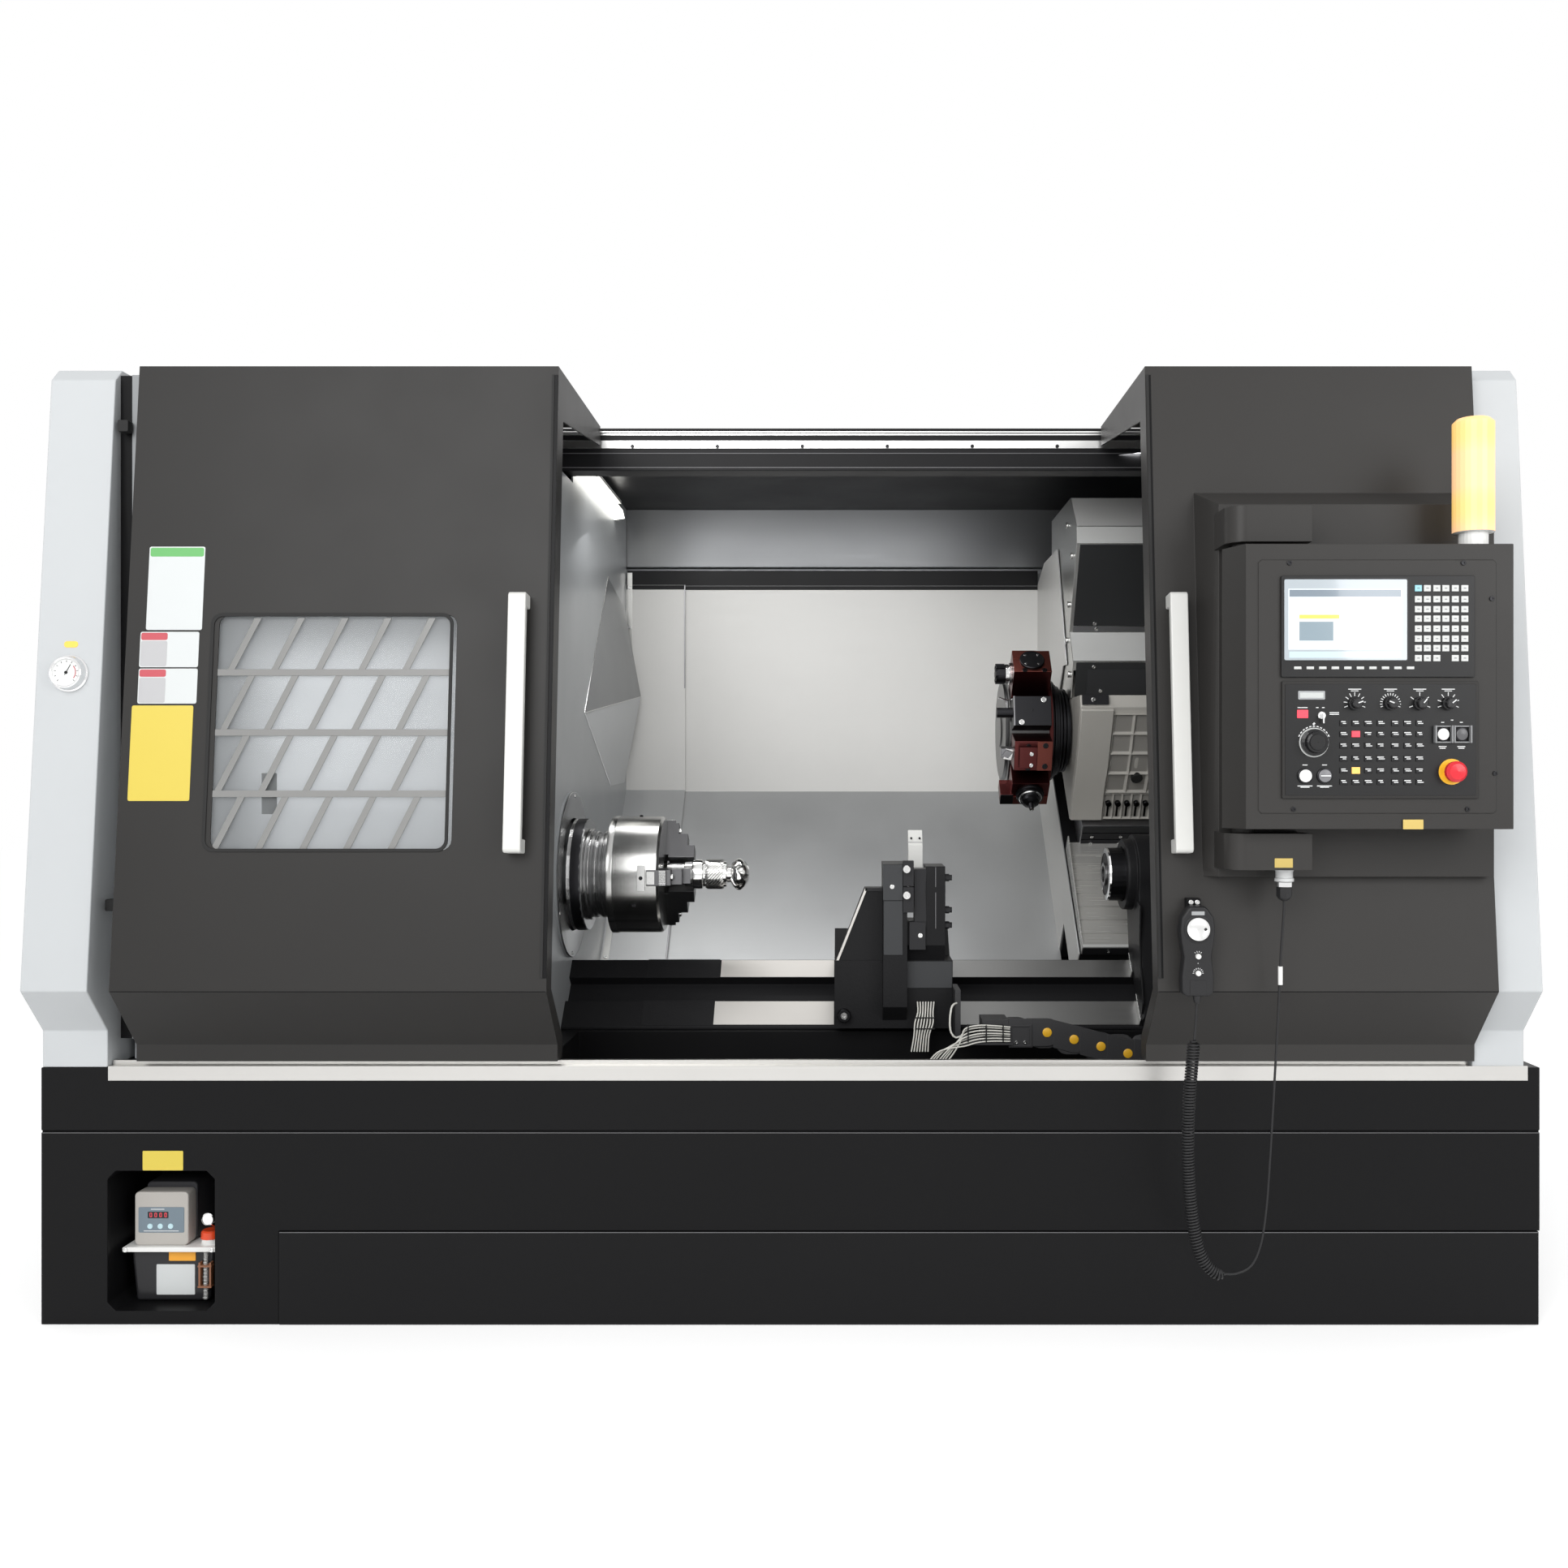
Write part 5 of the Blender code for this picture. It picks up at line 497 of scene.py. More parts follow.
KEPT = {"spindle": nose_steel, "motor_pulley": nose_steel, "z_ballscrew": screw_steel, "quill": black_oxide,
    "window_pane": pane, "signal_tower": amber_lens, "e_stop_button": red_plastic, "feed_dial": key_black,
    "mode_knob_1": key_black, "mode_knob_2": key_black, "mode_knob_3": key_black, "mode_knob_4": key_black,
    "work_lamp": lamp_glow}
for node, finish in KEPT.items():
    nodes[node].data.materials.clear()
    nodes[node].data.materials.append(finish)
recolour(nodes["signal_tower"], white_plastic, lambda at, out: at.z < 1.705)
print("dressed", len(FINISHES), "kept", len(KEPT))

# %% [markdown]
# The hand pendant hangs on a coiled cord. From its gland under the operator station a thin cable drops
# in one smooth line, turns up near the floor and winds into a long retractile coil that climbs back to
# the hand pendant. A cord has one length, so it is one curve: a smooth line through the route's points,
# with turns wound round its last stretch.

# %% Cord
CORD_RADIUS = 0.0025
WIND_RADIUS = 0.0112
PITCH = 0.0062
cable_route = [(1.026, -0.195, 0.978), (1.026, -0.193, 0.93), (1.024, -0.182, 0.85), (1.022, -0.172, 0.74),
    (1.018, -0.165, 0.62), (1.012, -0.162, 0.5), (1.006, -0.16, 0.39), (0.999, -0.16, 0.3),
    (0.988, -0.16, 0.23), (0.968, -0.16, 0.185), (0.938, -0.16, 0.169), (0.914, -0.16, 0.168)]
coil_route = [(0.895, -0.16, 0.17), (0.873, -0.16, 0.19), (0.857, -0.16, 0.225), (0.846, -0.16, 0.28),
    (0.839, -0.16, 0.35), (0.836, -0.16, 0.43), (0.838, -0.16, 0.52), (0.844, -0.16, 0.6),
    (0.849, -0.16, 0.655), (0.852, -0.16, 0.69), (0.8545, -0.16, 0.7325)]


def smooth_line(route, spacing):
    """Points on a smooth curve through a route, about a spacing apart."""
    ends = [Vector(point) for point in route]
    line = [ends[0] * 2 - ends[1]] + ends + [ends[-1] * 2 - ends[-2]]
    points = []
    for index in range(1, len(line) - 2):
        a, b, c, d = line[index - 1:index + 3]
        count = max(1, round((c - b).length / spacing))
        for step in range(count):
            t = step / count
            bend = (2 * a - 5 * b + 4 * c - d) * t * t + (3 * b - a - 3 * c + d) * t ** 3
            points.append(0.5 * (2 * b + (c - a) * t + bend))
    points.append(ends[-1])
    return points


def wound(points, first, last):
    """Winds the stretch of a line between two distances into a coil, fading in and out over two turns."""
    result = []
    travelled = 0.0
    previous = points[0]
    side = Vector((0, 1, 0))
    for index, point in enumerate(points):
        travelled += (point - previous).length
        previous = point
        way = (points[min(index + 1, len(points) - 1)] - points[max(index - 1, 0)]).normalized()
        side = (side - way * side.dot(way)).normalized()
        other = way.cross(side)
        fade = min(1.0, max(0.0, min(travelled - first, last - travelled) / (2 * PITCH)))
        angle = 2 * pi * (travelled - first) / PITCH
        reach = WIND_RADIUS * fade * fade * (3 - 2 * fade)
        result.append(point + (side * cos(angle) + other * sin(angle)) * reach)
    return result


def curve_piece(name, points, radius, finish, body, sides=2):
    """A round cord, hose or rod along points."""
    curve = bpy.data.curves.new(name, "CURVE")
    curve.dimensions = "3D"
    curve.bevel_depth = radius
    curve.bevel_resolution = sides
    curve.use_fill_caps = True
    spline = curve.splines.new("POLY")
    spline.points.add(len(points) - 1)
    for target, point in zip(spline.points, points):
        target.co = (*point, 1)
    piece = bpy.data.objects.new(name, curve)
    bpy.context.scene.collection.objects.link(piece)
    return coat(piece, finish, body)


def length_of(points):
    return sum((b - a).length for a, b in zip(points, points[1:]))


fine = smooth_line([(x, deep(d), z) for x, d, z in cable_route + coil_route], PITCH / 14)
plain_part = length_of(smooth_line([(x, deep(d), z) for x, d, z in cable_route], PITCH / 14))
whole = length_of(fine)
coiled = wound(fine, plain_part, whole - 0.075)
start = next(i for i, point in enumerate(fine) if length_of(fine[:i + 1]) > plain_part - 0.004)
cord_points = fine[:start:22] + coiled[start:]
hand_cord = curve_piece("hand_cord", cord_points, CORD_RADIUS, cord_rubber, "right_door")
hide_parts("hand_cable", "coil_cord")
round(length_of(cord_points), 3)
print("cord length", round(length_of(cord_points), 2), "points", len(cord_points))

# %% [markdown]
# Light: the machine stands in an even, shadowless studio. The world gives most of it, one large panel
# in front models the sheets, and a small one stands where the work lamp lights the inside.


# %% Light and floor
def panel_light(name, place, aim, size, power):
    """A square light panel that looks at a point."""
    bpy.ops.object.light_add(type="AREA", location=place)
    light = bpy.context.object
    light.name = name
    light.data.shape = "SQUARE"
    light.data.size = size
    light.data.energy = power
    light.rotation_euler = (Vector(aim) - Vector(place)).to_track_quat("-Z", "Y").to_euler()
    return light


panel_light("front_panel", (-1.6, -5.6, 3.6), (0, -0.6, 1.1), 3.2, 170)
panel_light("right_panel", (3.4, -4.4, 2.6), (0.4, -0.6, 1.1), 2.4, 70)
panel_light("inside_lamp", (-0.45, -0.15, 1.96), (0.15, 0.1, 1.1), 0.35, 1.3)
roof_lamp = panel_light("roof_lamp", (0.2, deep(0.68), 2.055), (0.3, deep(1.25), 1.25), 1.4, 5.0)
roof_lamp.data.shape = "RECTANGLE"
roof_lamp.data.size_y = 0.05

world = bpy.data.worlds.new("studio")
bpy.context.scene.world = world
world.use_nodes = True
sky = world.node_tree.nodes["Background"]
rays = world.node_tree.nodes.new("ShaderNodeLightPath")
seen = Wire(world.node_tree, rays.outputs["Is Camera Ray"])
shiny = Wire(world.node_tree, rays.outputs["Is Glossy Ray"])
through = Wire(world.node_tree, rays.outputs["Is Transmission Ray"])
level = seen.maths("MINIMUM", seen + shiny + through, 1.0)
world.node_tree.links.new((level * 0.35 + 0.65).socket, sky.inputs["Strength"])
sky.inputs["Color"].default_value = (1, 1, 1, 1)

bpy.ops.mesh.primitive_plane_add(size=40, location=(0, 0, -0.0005))
floor = bpy.context.object
floor.name = "floor"
floor_paint = Finish("pale floor", (0.9, 0.9, 0.9), 0.75)
floor_paint.put("Roughness", floor_paint.noise(2.0, 3.0) * 0.1 + 0.7)
kinds = [floor_paint.node("ShaderNodeLightPath", {}, {}, "Is %s Ray" % kind)
    for kind in ("Camera", "Glossy", "Transmission")]
floor_rays = kinds[0].maths("MINIMUM", kinds[0] + kinds[1] + kinds[2], 1.0)
floor_paint.put("Emission Color", floor_paint.blend(floor_rays, (0, 0, 0), (0.37, 0.37, 0.37)))
floor_paint.put("Emission Strength", 1.0)
floor.data.materials.append(floor_paint.material)
bpy.context.scene.view_settings.view_transform = "Standard"

# %% [markdown]
# From here on come the details that the solids leave out. Four makers cover most of them. A panel starts
# as a circle whose points are moved to an outline, and is filled and extruded. A turned piece is a closed
# profile that is spun about its axis. A socket screw is modelled once and copied. A hose is a bent tube.
# Shorter makers below these place a plate square to the front, or a turned piece on a known axis.


# %% Makers for panels, turned pieces, screws and hoses
def extrude(way):
    """Draws out what is selected, in edit mode."""
    bpy.ops.mesh.extrude_region_move(TRANSFORM_OT_translate={"value": tuple(way)})


def around(a, b, radius, angle):
    """A point on a circle about (a, b)."""
    return a + radius * cos(angle), b + radius * sin(angle)


def outlined(name, outline, to_space):
    """A flat ring of edges through 2-D outline points, left in edit mode with all selected."""
    bpy.ops.object.select_all(action="DESELECT")
    bpy.ops.mesh.primitive_circle_add(vertices=len(outline), radius=1, fill_type="NOTHING")
    piece = bpy.context.object
    piece.name = name
    for vertex, point in zip(piece.data.vertices, outline):
        vertex.co = to_space(*point)
    bpy.ops.object.mode_set(mode="EDIT")
    bpy.ops.mesh.select_all(action="SELECT")
    return piece


def closed(piece):
    """Leaves edit mode with doubles merged and all faces turned outwards."""
    bpy.ops.mesh.select_all(action="SELECT")
    bpy.ops.mesh.remove_doubles(threshold=0.000001)
    bpy.ops.mesh.normals_make_consistent(inside=False)
    bpy.ops.object.mode_set(mode="OBJECT")
    return piece


def slab(name, outline, to_space, depth, finish, body, edge=0.0008, segments=2):
    """A panel: its outline filled and pulled out by a vector, with rounded edges."""
    piece = outlined(name, outline, to_space)
    bpy.ops.mesh.edge_face_add()
    extrude(depth)
    closed(piece)
    if edge:
        rounded(piece, edge, segments)
    return coat(piece, finish, body)


def bored(bore, *outer):
    """A closed profile from its outer points: both its ends go straight in to the bore's radius."""
    return [(outer[0][0], bore), *outer, (outer[-1][0], bore)]


def spun(name, profile, to_space, centre, axis, finish, body, steps=32):
    """A turned piece: a closed profile of (along, radius) points spun about its axis."""
    piece = outlined(name, profile, to_space)
    bpy.ops.mesh.spin(steps=steps, angle=2 * pi, center=tuple(centre), axis=tuple(axis))
    closed(piece)
    only(piece)
    bpy.ops.object.shade_smooth_by_angle(angle=radians(35))
    return coat(piece, finish, body)


def turned_x(name, profile, y, z, finish, body, steps=40):
    """A piece turned about an axis along X, from (x, radius) points."""
    return spun(name, profile, lambda x, r: (x, y, z + r), (0, y, z), (1, 0, 0), finish, body, steps)


def on_spindle(name, profile, finish, body, steps=40):
    """A piece turned about the spindle's axis, from (x, radius) points."""
    return turned_x(name, profile, SPINDLE_Y, SPINDLE_Z, finish, body, steps)


def turned_y(name, profile, x, z, finish, body, steps=32):
    """A piece turned about an axis along Y, from (y, radius) points."""
    return spun(name, profile, lambda y, r: (x, y, z + r), (x, 0, z), (0, 1, 0), finish, body, steps)


def turned_z(name, profile, x, y, finish, body, steps=32):
    """A piece turned about an upright axis, from (z, radius) points."""
    return spun(name, profile, lambda z, r: (x + r, y, z), (x, y, 0), (0, 0, 1), finish, body, steps)


def bent_tube(name, route, radius, finish, body, spacing=0.006):
    """A hose or rod along a smooth route, made a mesh."""
    piece = curve_piece(name, smooth_line(route, spacing), radius, finish, body)
    only(piece)
    bpy.ops.object.convert(target="MESH")
    bpy.ops.object.shade_smooth()
    return piece


def rectangle(a, b, c, d, corner=0.0, steps=3):
    """A rectangle's outline from (a, b) to (c, d), with rounded corners."""
    if not corner:
        return [(a, b), (c, b), (c, d), (a, d)]
    points = []
    for x, z, start in ((c - corner, b + corner, -90), (c - corner, d - corner, 0),
        (a + corner, d - corner, 90), (a + corner, b + corner, 180)):
        for step in range(steps + 1):
            turn = radians(start + 90 * step / steps)
            points.append(around(x, z, corner, turn))
    return points


def flat(y):
    """Places (x, z) points on a plane square to Y."""
    return lambda x, z: (x, y, z)


def plate(name, shape, y, depth, finish, body, edge=0.0008, segments=2):
    """A slab square to Y, from a rectangle's numbers or from a list of (x, z) points."""
    outline = shape if isinstance(shape, list) else rectangle(*shape)
    return slab(name, outline, flat(y), (0, depth, 0), finish, body, edge, segments)


def joined(name, pieces):
    """Joins pieces into one that keeps each one's finish."""
    bpy.ops.object.select_all(action="DESELECT")
    for piece in pieces:
        piece.select_set(True)
    bpy.context.view_layer.objects.active = pieces[0]
    if len(pieces) > 1:
        bpy.ops.object.join()
    pieces[0].name = name
    return pieces[0]


bpy.ops.mesh.primitive_cylinder_add(vertices=18, radius=1, depth=1, location=(0, 0, 0.5))
screw_master = settle(bpy.context.object)
bpy.ops.object.mode_set(mode="EDIT")
bpy.ops.mesh.select_mode(type="FACE")
bpy.ops.mesh.select_all(action="DESELECT")
bpy.ops.object.mode_set(mode="OBJECT")
for face in screw_master.data.polygons:
    face.select = face.normal.z > 0.9
bpy.ops.object.mode_set(mode="EDIT")
bpy.ops.mesh.inset(thickness=0.12)
bpy.ops.transform.translate(value=(0, 0, 0.1))
bpy.ops.mesh.inset(thickness=0.36)
extrude((0, 0, -0.6))
bpy.ops.object.mode_set(mode="OBJECT")
bpy.ops.object.shade_smooth_by_angle(angle=radians(30))


def placed(master, centre, out, radius, height):
    """A copy of a master piece that stands on a point, along a direction."""
    piece = master.copy()
    piece.data = master.data.copy()
    bpy.context.scene.collection.objects.link(piece)
    turn = Vector(out).to_track_quat("Z", "Y").to_matrix().to_4x4()
    size = Matrix.Diagonal((radius, radius, height, 1))
    piece.data.transform(Matrix.Translation(centre) @ turn @ size)
    return piece


def screws(name, finish, body, out, places, radius=0.005, height=0.004):
    """A set of socket screws that stand out one way, as one piece."""
    pieces = [placed(screw_master, place, out, radius, height) for place in places]
    return coat(joined(name, pieces), finish, body)


def front_screws(name, finish, body, y, places, radius=0.005, height=0.004):
    """Screws that face the front, at (x, z) places."""
    return screws(name, finish, body, (0, -1, 0), [(x, y, z) for x, z in places], radius, height)


bright_screw = brushed("bright screw steel", (0.75, 0.75, 0.74), 0.22, (200, 200, 200))
dark_screw = brushed("black screw steel", (0.03, 0.03, 0.032), 0.3, (200, 200, 200))
print("screw faces", len(screw_master.data.polygons))

# %% [markdown]
# The operator station is what a visitor looks at first. Its face holds two flush units. The upper one is
# a display under one sheet of glass with a field of pale keys beside it. The lower one is the machine
# panel: dials with tick scales, six rows of black keys, and the stop button in its yellow ring. Keys are
# modelled once, as a small pillow with sloping sides, and copied.

# %% Operator station: display unit
UNIT_BACK = -1.1478
UNIT_FACE = -1.154


def unit_plate(name, shape, out, depth, finish, edge=0.0008):
    """A plate on the units' face."""
    return plate(name, shape, UNIT_FACE - out, depth, finish, "pendant", edge)


display_plate = plate("display_plate", (0.994, 1.405, 1.382, 1.6085, 0.003), UNIT_BACK,
    UNIT_FACE - UNIT_BACK, panel_black, "pendant", 0.0012)
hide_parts("display_unit")

screen = Finish("screen glass", (0.4, 0.43, 0.45), 0.1, Coat_Weight=1.0, Coat_Roughness=0.04)
screen_at = screen.node("ShaderNodeSeparateXYZ", {}, {0: screen.place()}, 0)
screen_up = Wire(screen.tree, screen_at.socket.node.outputs[2])


def field(x0, z0, x1, z1):
    """A mask that is 1 inside a rectangle of the screen."""
    return (screen_at > x0) * (screen_at < x1) * (screen_up > z0) * (screen_up < z1)


tint = screen.blend(field(1.008, 1.46, 1.236, 1.582), (0.34, 0.38, 0.41), (0.62, 0.66, 0.68))
for x0, z0, x1, z1, colour in ((1.01, 1.566, 1.234, 1.58, (0.16, 0.2, 0.24)),
    (1.03, 1.522, 1.11, 1.53, (0.75, 0.6, 0.1)), (1.03, 1.478, 1.098, 1.516, (0.2, 0.26, 0.3)),
    (1.11, 1.478, 1.234, 1.562, (0.7, 0.74, 0.76)), (1.01, 1.444, 1.234, 1.456, (0.45, 0.62, 0.7))):
    mixed = {0: field(x0, z0, x1, z1), 6: tint, 7: (*colour, 1)}
    tint = screen.node("ShaderNodeMix", {"data_type": "RGBA"}, mixed, 2)
screen.put("Base Color", tint)
screen.put("Emission Color", tint)
screen.put("Emission Strength", 0.35)
unit_plate("screen", (1.0, 1.439, 1.246, 1.601, 0.003), -0.001, -0.0016, screen.material, 0.0004)
unit_plate("screen_frame", (0.997, 1.436, 1.249, 1.604, 0.004), -0.002, -0.0023, key_black, 0.0004)

bpy.ops.object.select_all(action="DESELECT")
bpy.ops.mesh.primitive_cube_add(size=2, location=(0, 0, 0.5), scale=(1, 1, 0.5))
key_master = settle(bpy.context.object)
for face in key_master.data.polygons:
    face.select = face.normal.z > 0.9
bpy.ops.object.mode_set(mode="EDIT")
bpy.ops.mesh.select_mode(type="FACE")
bpy.ops.transform.resize(value=(0.86, 0.86, 1))
bpy.ops.object.mode_set(mode="OBJECT")


def keys(name, finish, places, width, tall, stand=0.0022, edge=0.0007):
    """A field of key caps on the units' face, as one piece."""
    pieces = []
    for x, z in places:
        cap = key_master.copy()
        cap.data = key_master.data.copy()
        bpy.context.scene.collection.objects.link(cap)
        turn = Matrix.Rotation(pi / 2, 4, "X")
        size = Matrix.Diagonal((width / 2, tall / 2, stand + 0.002, 1))
        cap.data.transform(Matrix.Translation((x, UNIT_FACE + 0.002, z)) @ turn @ size)
        pieces.append(cap)
    piece = joined(name, pieces)
    rounded(piece, edge)
    return coat(piece, finish, "pendant")


KEY_COLUMNS = (1.268, 1.286, 1.305, 1.323, 1.342, 1.361)
KEY_ROWS = (1.583, 1.561, 1.541, 1.522, 1.502, 1.482, 1.463, 1.443)
field_keys = [(x, z) for z in KEY_ROWS for x in KEY_COLUMNS if not (z < 1.45 and x == KEY_COLUMNS[3])]
keys("field_keys", key_white, [p for p in field_keys if p != (1.268, 1.583)], 0.0162, 0.0148)
blue_key = moulded("pale blue key plastic", (0.3, 0.6, 0.68), 0.38)
keys("blue_key", blue_key, [(1.268, 1.583)], 0.0162, 0.0148)
keys("soft_keys", key_white, [(1.0265 + 0.0251 * i, 1.4235) for i in range(10)], 0.0172, 0.0064)


def strips(name, finish, places, body="pendant", y=UNIT_FACE, thick=0.0003):
    """Small printed bars, as one thin raised piece: (x, z, width, height, turn in degrees)."""
    pieces = []
    for x, z, width, tall, turn in places:
        cosine, sine = cos(radians(turn)), sin(radians(turn))
        corners = []
        for a, b in ((-1, -1), (1, -1), (1, 1), (-1, 1)):
            u, v = a * width / 2, b * tall / 2
            corners.append((x + u * cosine - v * sine, z + u * sine + v * cosine))
        piece = outlined(name, corners, flat(y + 0.0002))
        bpy.ops.mesh.edge_face_add()
        extrude((0, -0.0002 - thick, 0))
        pieces.append(closed(piece))
    return coat(joined(name, pieces), finish, body)


key_print = moulded("key print grey", (0.16, 0.17, 0.18), 0.5)
strips("field_prints", key_print, [(x, z, 0.005, 0.0016, 0) for x, z in field_keys], y=UNIT_FACE - 0.0022)
print("display keys", len(field_keys) + 10)

# %% [markdown]
# The machine panel's plate has a raised rim. Its legends are short white bars, made as one thin piece.

# %% Operator station: machine panel
panel_rim = plate("panel_rim", (0.996, 1.162, 1.39, 1.397, 0.002), UNIT_BACK, UNIT_FACE - UNIT_BACK + 0.001,
    charcoal, "pendant")
for face in panel_rim.data.polygons:
    face.select = False
panel_plate = unit_plate("panel_plate", (1.002, 1.168, 1.384, 1.391, 0.001), -0.003, -0.003, panel_black,
    0.0005)
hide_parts("key_panel")
PANEL_X = (1.1185, 1.143, 1.168, 1.193, 1.222, 1.247, 1.271)
PANEL_Z = (1.313, 1.291, 1.268, 1.242, 1.218, 1.195)
panel_keys = [(x, z) for z in PANEL_Z for x in PANEL_X]
red_key, orange_key = (PANEL_X[1], PANEL_Z[1]), (PANEL_X[1], PANEL_Z[4])
black_keys = [place for place in panel_keys if place not in (red_key, orange_key)]
keys("panel_keys", key_black, black_keys, 0.0182, 0.0135)
keys("red_key", red_glow, [red_key], 0.0192, 0.0145)
keys("orange_key", amber_key_glow, [orange_key], 0.0192, 0.0155)
legend = moulded("legend white", (0.72, 0.73, 0.73), 0.5)
legends = []
for number, (x, z) in enumerate(black_keys):
    legends.append((x - 0.001, z + 0.0028, 0.009 + 0.002 * (number % 3), 0.0019, 0))
    legends.append((x + 0.0012, z - 0.0008, 0.0068 + 0.0018 * (number % 4), 0.0017, 0))
strips("panel_legends", legend, legends, y=UNIT_FACE - 0.0022)

KNOBS = ((1.141, 20), (1.2126, 160), (1.2713, 50), (1.3284, 40))
KNOB_Z = 1.3524
scales = []
for index, (x, turn) in enumerate(KNOBS):
    count = (9, 15, 5, 7)[index]
    for tick in range(count):
        angle = radians(-20 + 220 * tick / (count - 1))
        reach = 0.0185
        long = 0.0075 if count < 10 else 0.005
        place = around(x, KNOB_Z, reach, angle)
        scales.append((*place, long, 0.0016, degrees(angle)))
    scales.append((x, KNOB_Z + 0.0285, 0.026, 0.0018, 0))
    scales.append((x, KNOB_Z + 0.025, 0.015, 0.0016, 0))
DIAL_X, DIAL_Z = 1.0593, 1.2741
for tick in range(11):
    angle = radians(25 + 130 * tick / 10)
    scales.append((*around(DIAL_X, DIAL_Z, 0.0325, angle), 0.0045, 0.0022, degrees(angle) + 90))
scales.append((DIAL_X, DIAL_Z + 0.0375, 0.005, 0.004, 45))
for x, z, width in ((1.0414, 1.187, 0.03), (1.0414, 1.1845, 0.018), (1.0805, 1.187, 0.03),
    (1.0805, 1.1845, 0.018), (1.0414, 1.229, 0.01), (1.0805, 1.229, 0.01), (1.317, 1.266, 0.016),
    (1.3545, 1.266, 0.016), (1.317, 1.2625, 0.012), (1.3545, 1.2625, 0.012), (1.317, 1.3145, 0.006),
    (1.3545, 1.3145, 0.006), (1.336, 1.319, 0.005), (1.1, 1.334, 0.019), (1.1, 1.3305, 0.019),
    (1.0365, 1.344, 0.02), (1.066, 1.344, 0.005), (1.078, 1.344, 0.005)):
    scales.append((x, z, width, 0.0017, 0))
strips("panel_scales", legend, scales)
for index, (x, turn) in enumerate(KNOBS):
    body = "knob_%d" % (index + 1)
    angle = radians(turn)
    place = (*around(x, KNOB_Z, 0.005, angle), 0.01, 0.0022, turn)
    strips("knob_pointer_%d" % (index + 1), legend, [place], body, -1.1748, 0.0006)
    slab("knob_grip_%d" % (index + 1), rectangle(-0.0115, -0.0035, 0.0115, 0.0035, 0.003),
        lambda a, b: (x + a * cos(angle) - b * sin(angle), -1.1705,
        KNOB_Z + a * sin(angle) + b * cos(angle)), (0, -0.0042, 0), key_black, body)
turned_y("dial_ring", [(UNIT_FACE + 0.001, 0.0245), (UNIT_FACE + 0.001, 0.03), (UNIT_FACE - 0.0012, 0.0295),
    (UNIT_FACE - 0.0012, 0.0275)], DIAL_X, DIAL_Z, key_white, "pendant")
turned_y("dial_crown", bored(0.0005, (-1.1758, 0.0165), (-1.179, 0.016), (-1.18, 0.015)), DIAL_X, DIAL_Z,
    panel_black, "feed_dial")
dial_marks = []
for tick in range(12):
    angle = radians(30 * tick)
    dial_marks.append((*around(DIAL_X, DIAL_Z, 0.0235, angle), 0.003, 0.0014, degrees(angle)))
strips("dial_marks", legend, dial_marks, "feed_dial", -1.1618, 0.0006)
turned_y("stop_ring", bored(0.0165, (UNIT_FACE + 0.001, 0.0262), (UNIT_FACE - 0.0014, 0.0258)), 1.335,
    1.2154, yellow_plastic, "pendant")
turned_y("stop_collar", bored(0.0118, (UNIT_FACE + 0.001, 0.0167), (-1.162, 0.016)), 1.335, 1.2154,
    yellow_plastic, "pendant")
unit_plate("count_window", (1.0275, 1.36, 1.0815, 1.3775, 0.002), -0.001, -0.0022,
    moulded("window grey", (0.34, 0.35, 0.36), 0.35), 0.0006)
unit_plate("count_glass", (1.031, 1.3635, 1.078, 1.374, 0.001), 0.001, -0.0005,
    moulded("window pale", (0.55, 0.57, 0.56), 0.25), 0.0002)
unit_plate("red_display", (1.0255, 1.323, 1.0475, 1.3395, 0.001), -0.001, -0.0024, red_glow, 0.0005)


def round_button(name, x, z, finish, radius=0.0125, ring=dark_screw, tall=0.006):
    """A push button: a black ring and a slightly crowned cap."""
    face = UNIT_FACE + 0.001
    turned_y(name + "_ring", bored(radius, (face, radius + 0.0035), (face - 0.004, radius + 0.003),
        (face - 0.005, radius + 0.001)), x, z, ring, "pendant")
    turned_y(name + "_cap", [(face, 0.0004), (face, radius), (face - tall, radius),
        (face - tall - 0.0012, radius * 0.8), (face - tall - 0.0016, 0.0004)], x, z, finish, "pendant")


round_button("white_button", 1.0414, 1.2072, white_plastic)
round_button("key_knob", 1.0805, 1.2072, moulded("knob grey", (0.2, 0.2, 0.21), 0.35))
strips("key_knob_bar", legend, [(1.0805, 1.2072, 0.02, 0.0026, 0)], y=UNIT_FACE - 0.0072, thick=0.002)
round_button("start_button", 1.317, 1.2904, white_plastic, 0.0115)
round_button("hold_button", 1.3545, 1.2904, moulded("hold grey", (0.1, 0.1, 0.105), 0.3), 0.0115)
guard_grey = moulded("button guard grey", (0.22, 0.225, 0.23), 0.22)
for x in (1.317, 1.3545):
    for side in (-1, 1):
        unit_plate("button_guard", (x + side * 0.0165 - 0.0015, 1.273, x + side * 0.0165 + 0.0015, 1.308,
            0.0008), -0.001, -0.011, guard_grey, 0.0004)
    for z in (1.2745, 1.3065):
        unit_plate("button_guard", (x - 0.0165, z - 0.0012, x + 0.0165, z + 0.0012, 0.0006), -0.001, -0.006,
            guard_grey, 0.0004)
turned_y("key_switch", bored(0.0004, (UNIT_FACE + 0.001, 0.0085), (UNIT_FACE - 0.005, 0.008),
    (UNIT_FACE - 0.006, 0.007)), 1.074, 1.328, chrome, "pendant")
unit_plate("key_bow", (1.0725, 1.312, 1.0755, 1.332, 0.001), 0.004, -0.011, chrome, 0.0005)
front_screws("pendant_screws", dark_screw, "pendant", -1.1482, [(x, z) for x,
    z in ((1.012, 1.6346), (1.361, 1.6346), (1.418, 1.5629), (1.4247, 1.2121), (1.0201, 1.1403),
    (1.3692, 1.1403))], 0.0048, 0.0022)
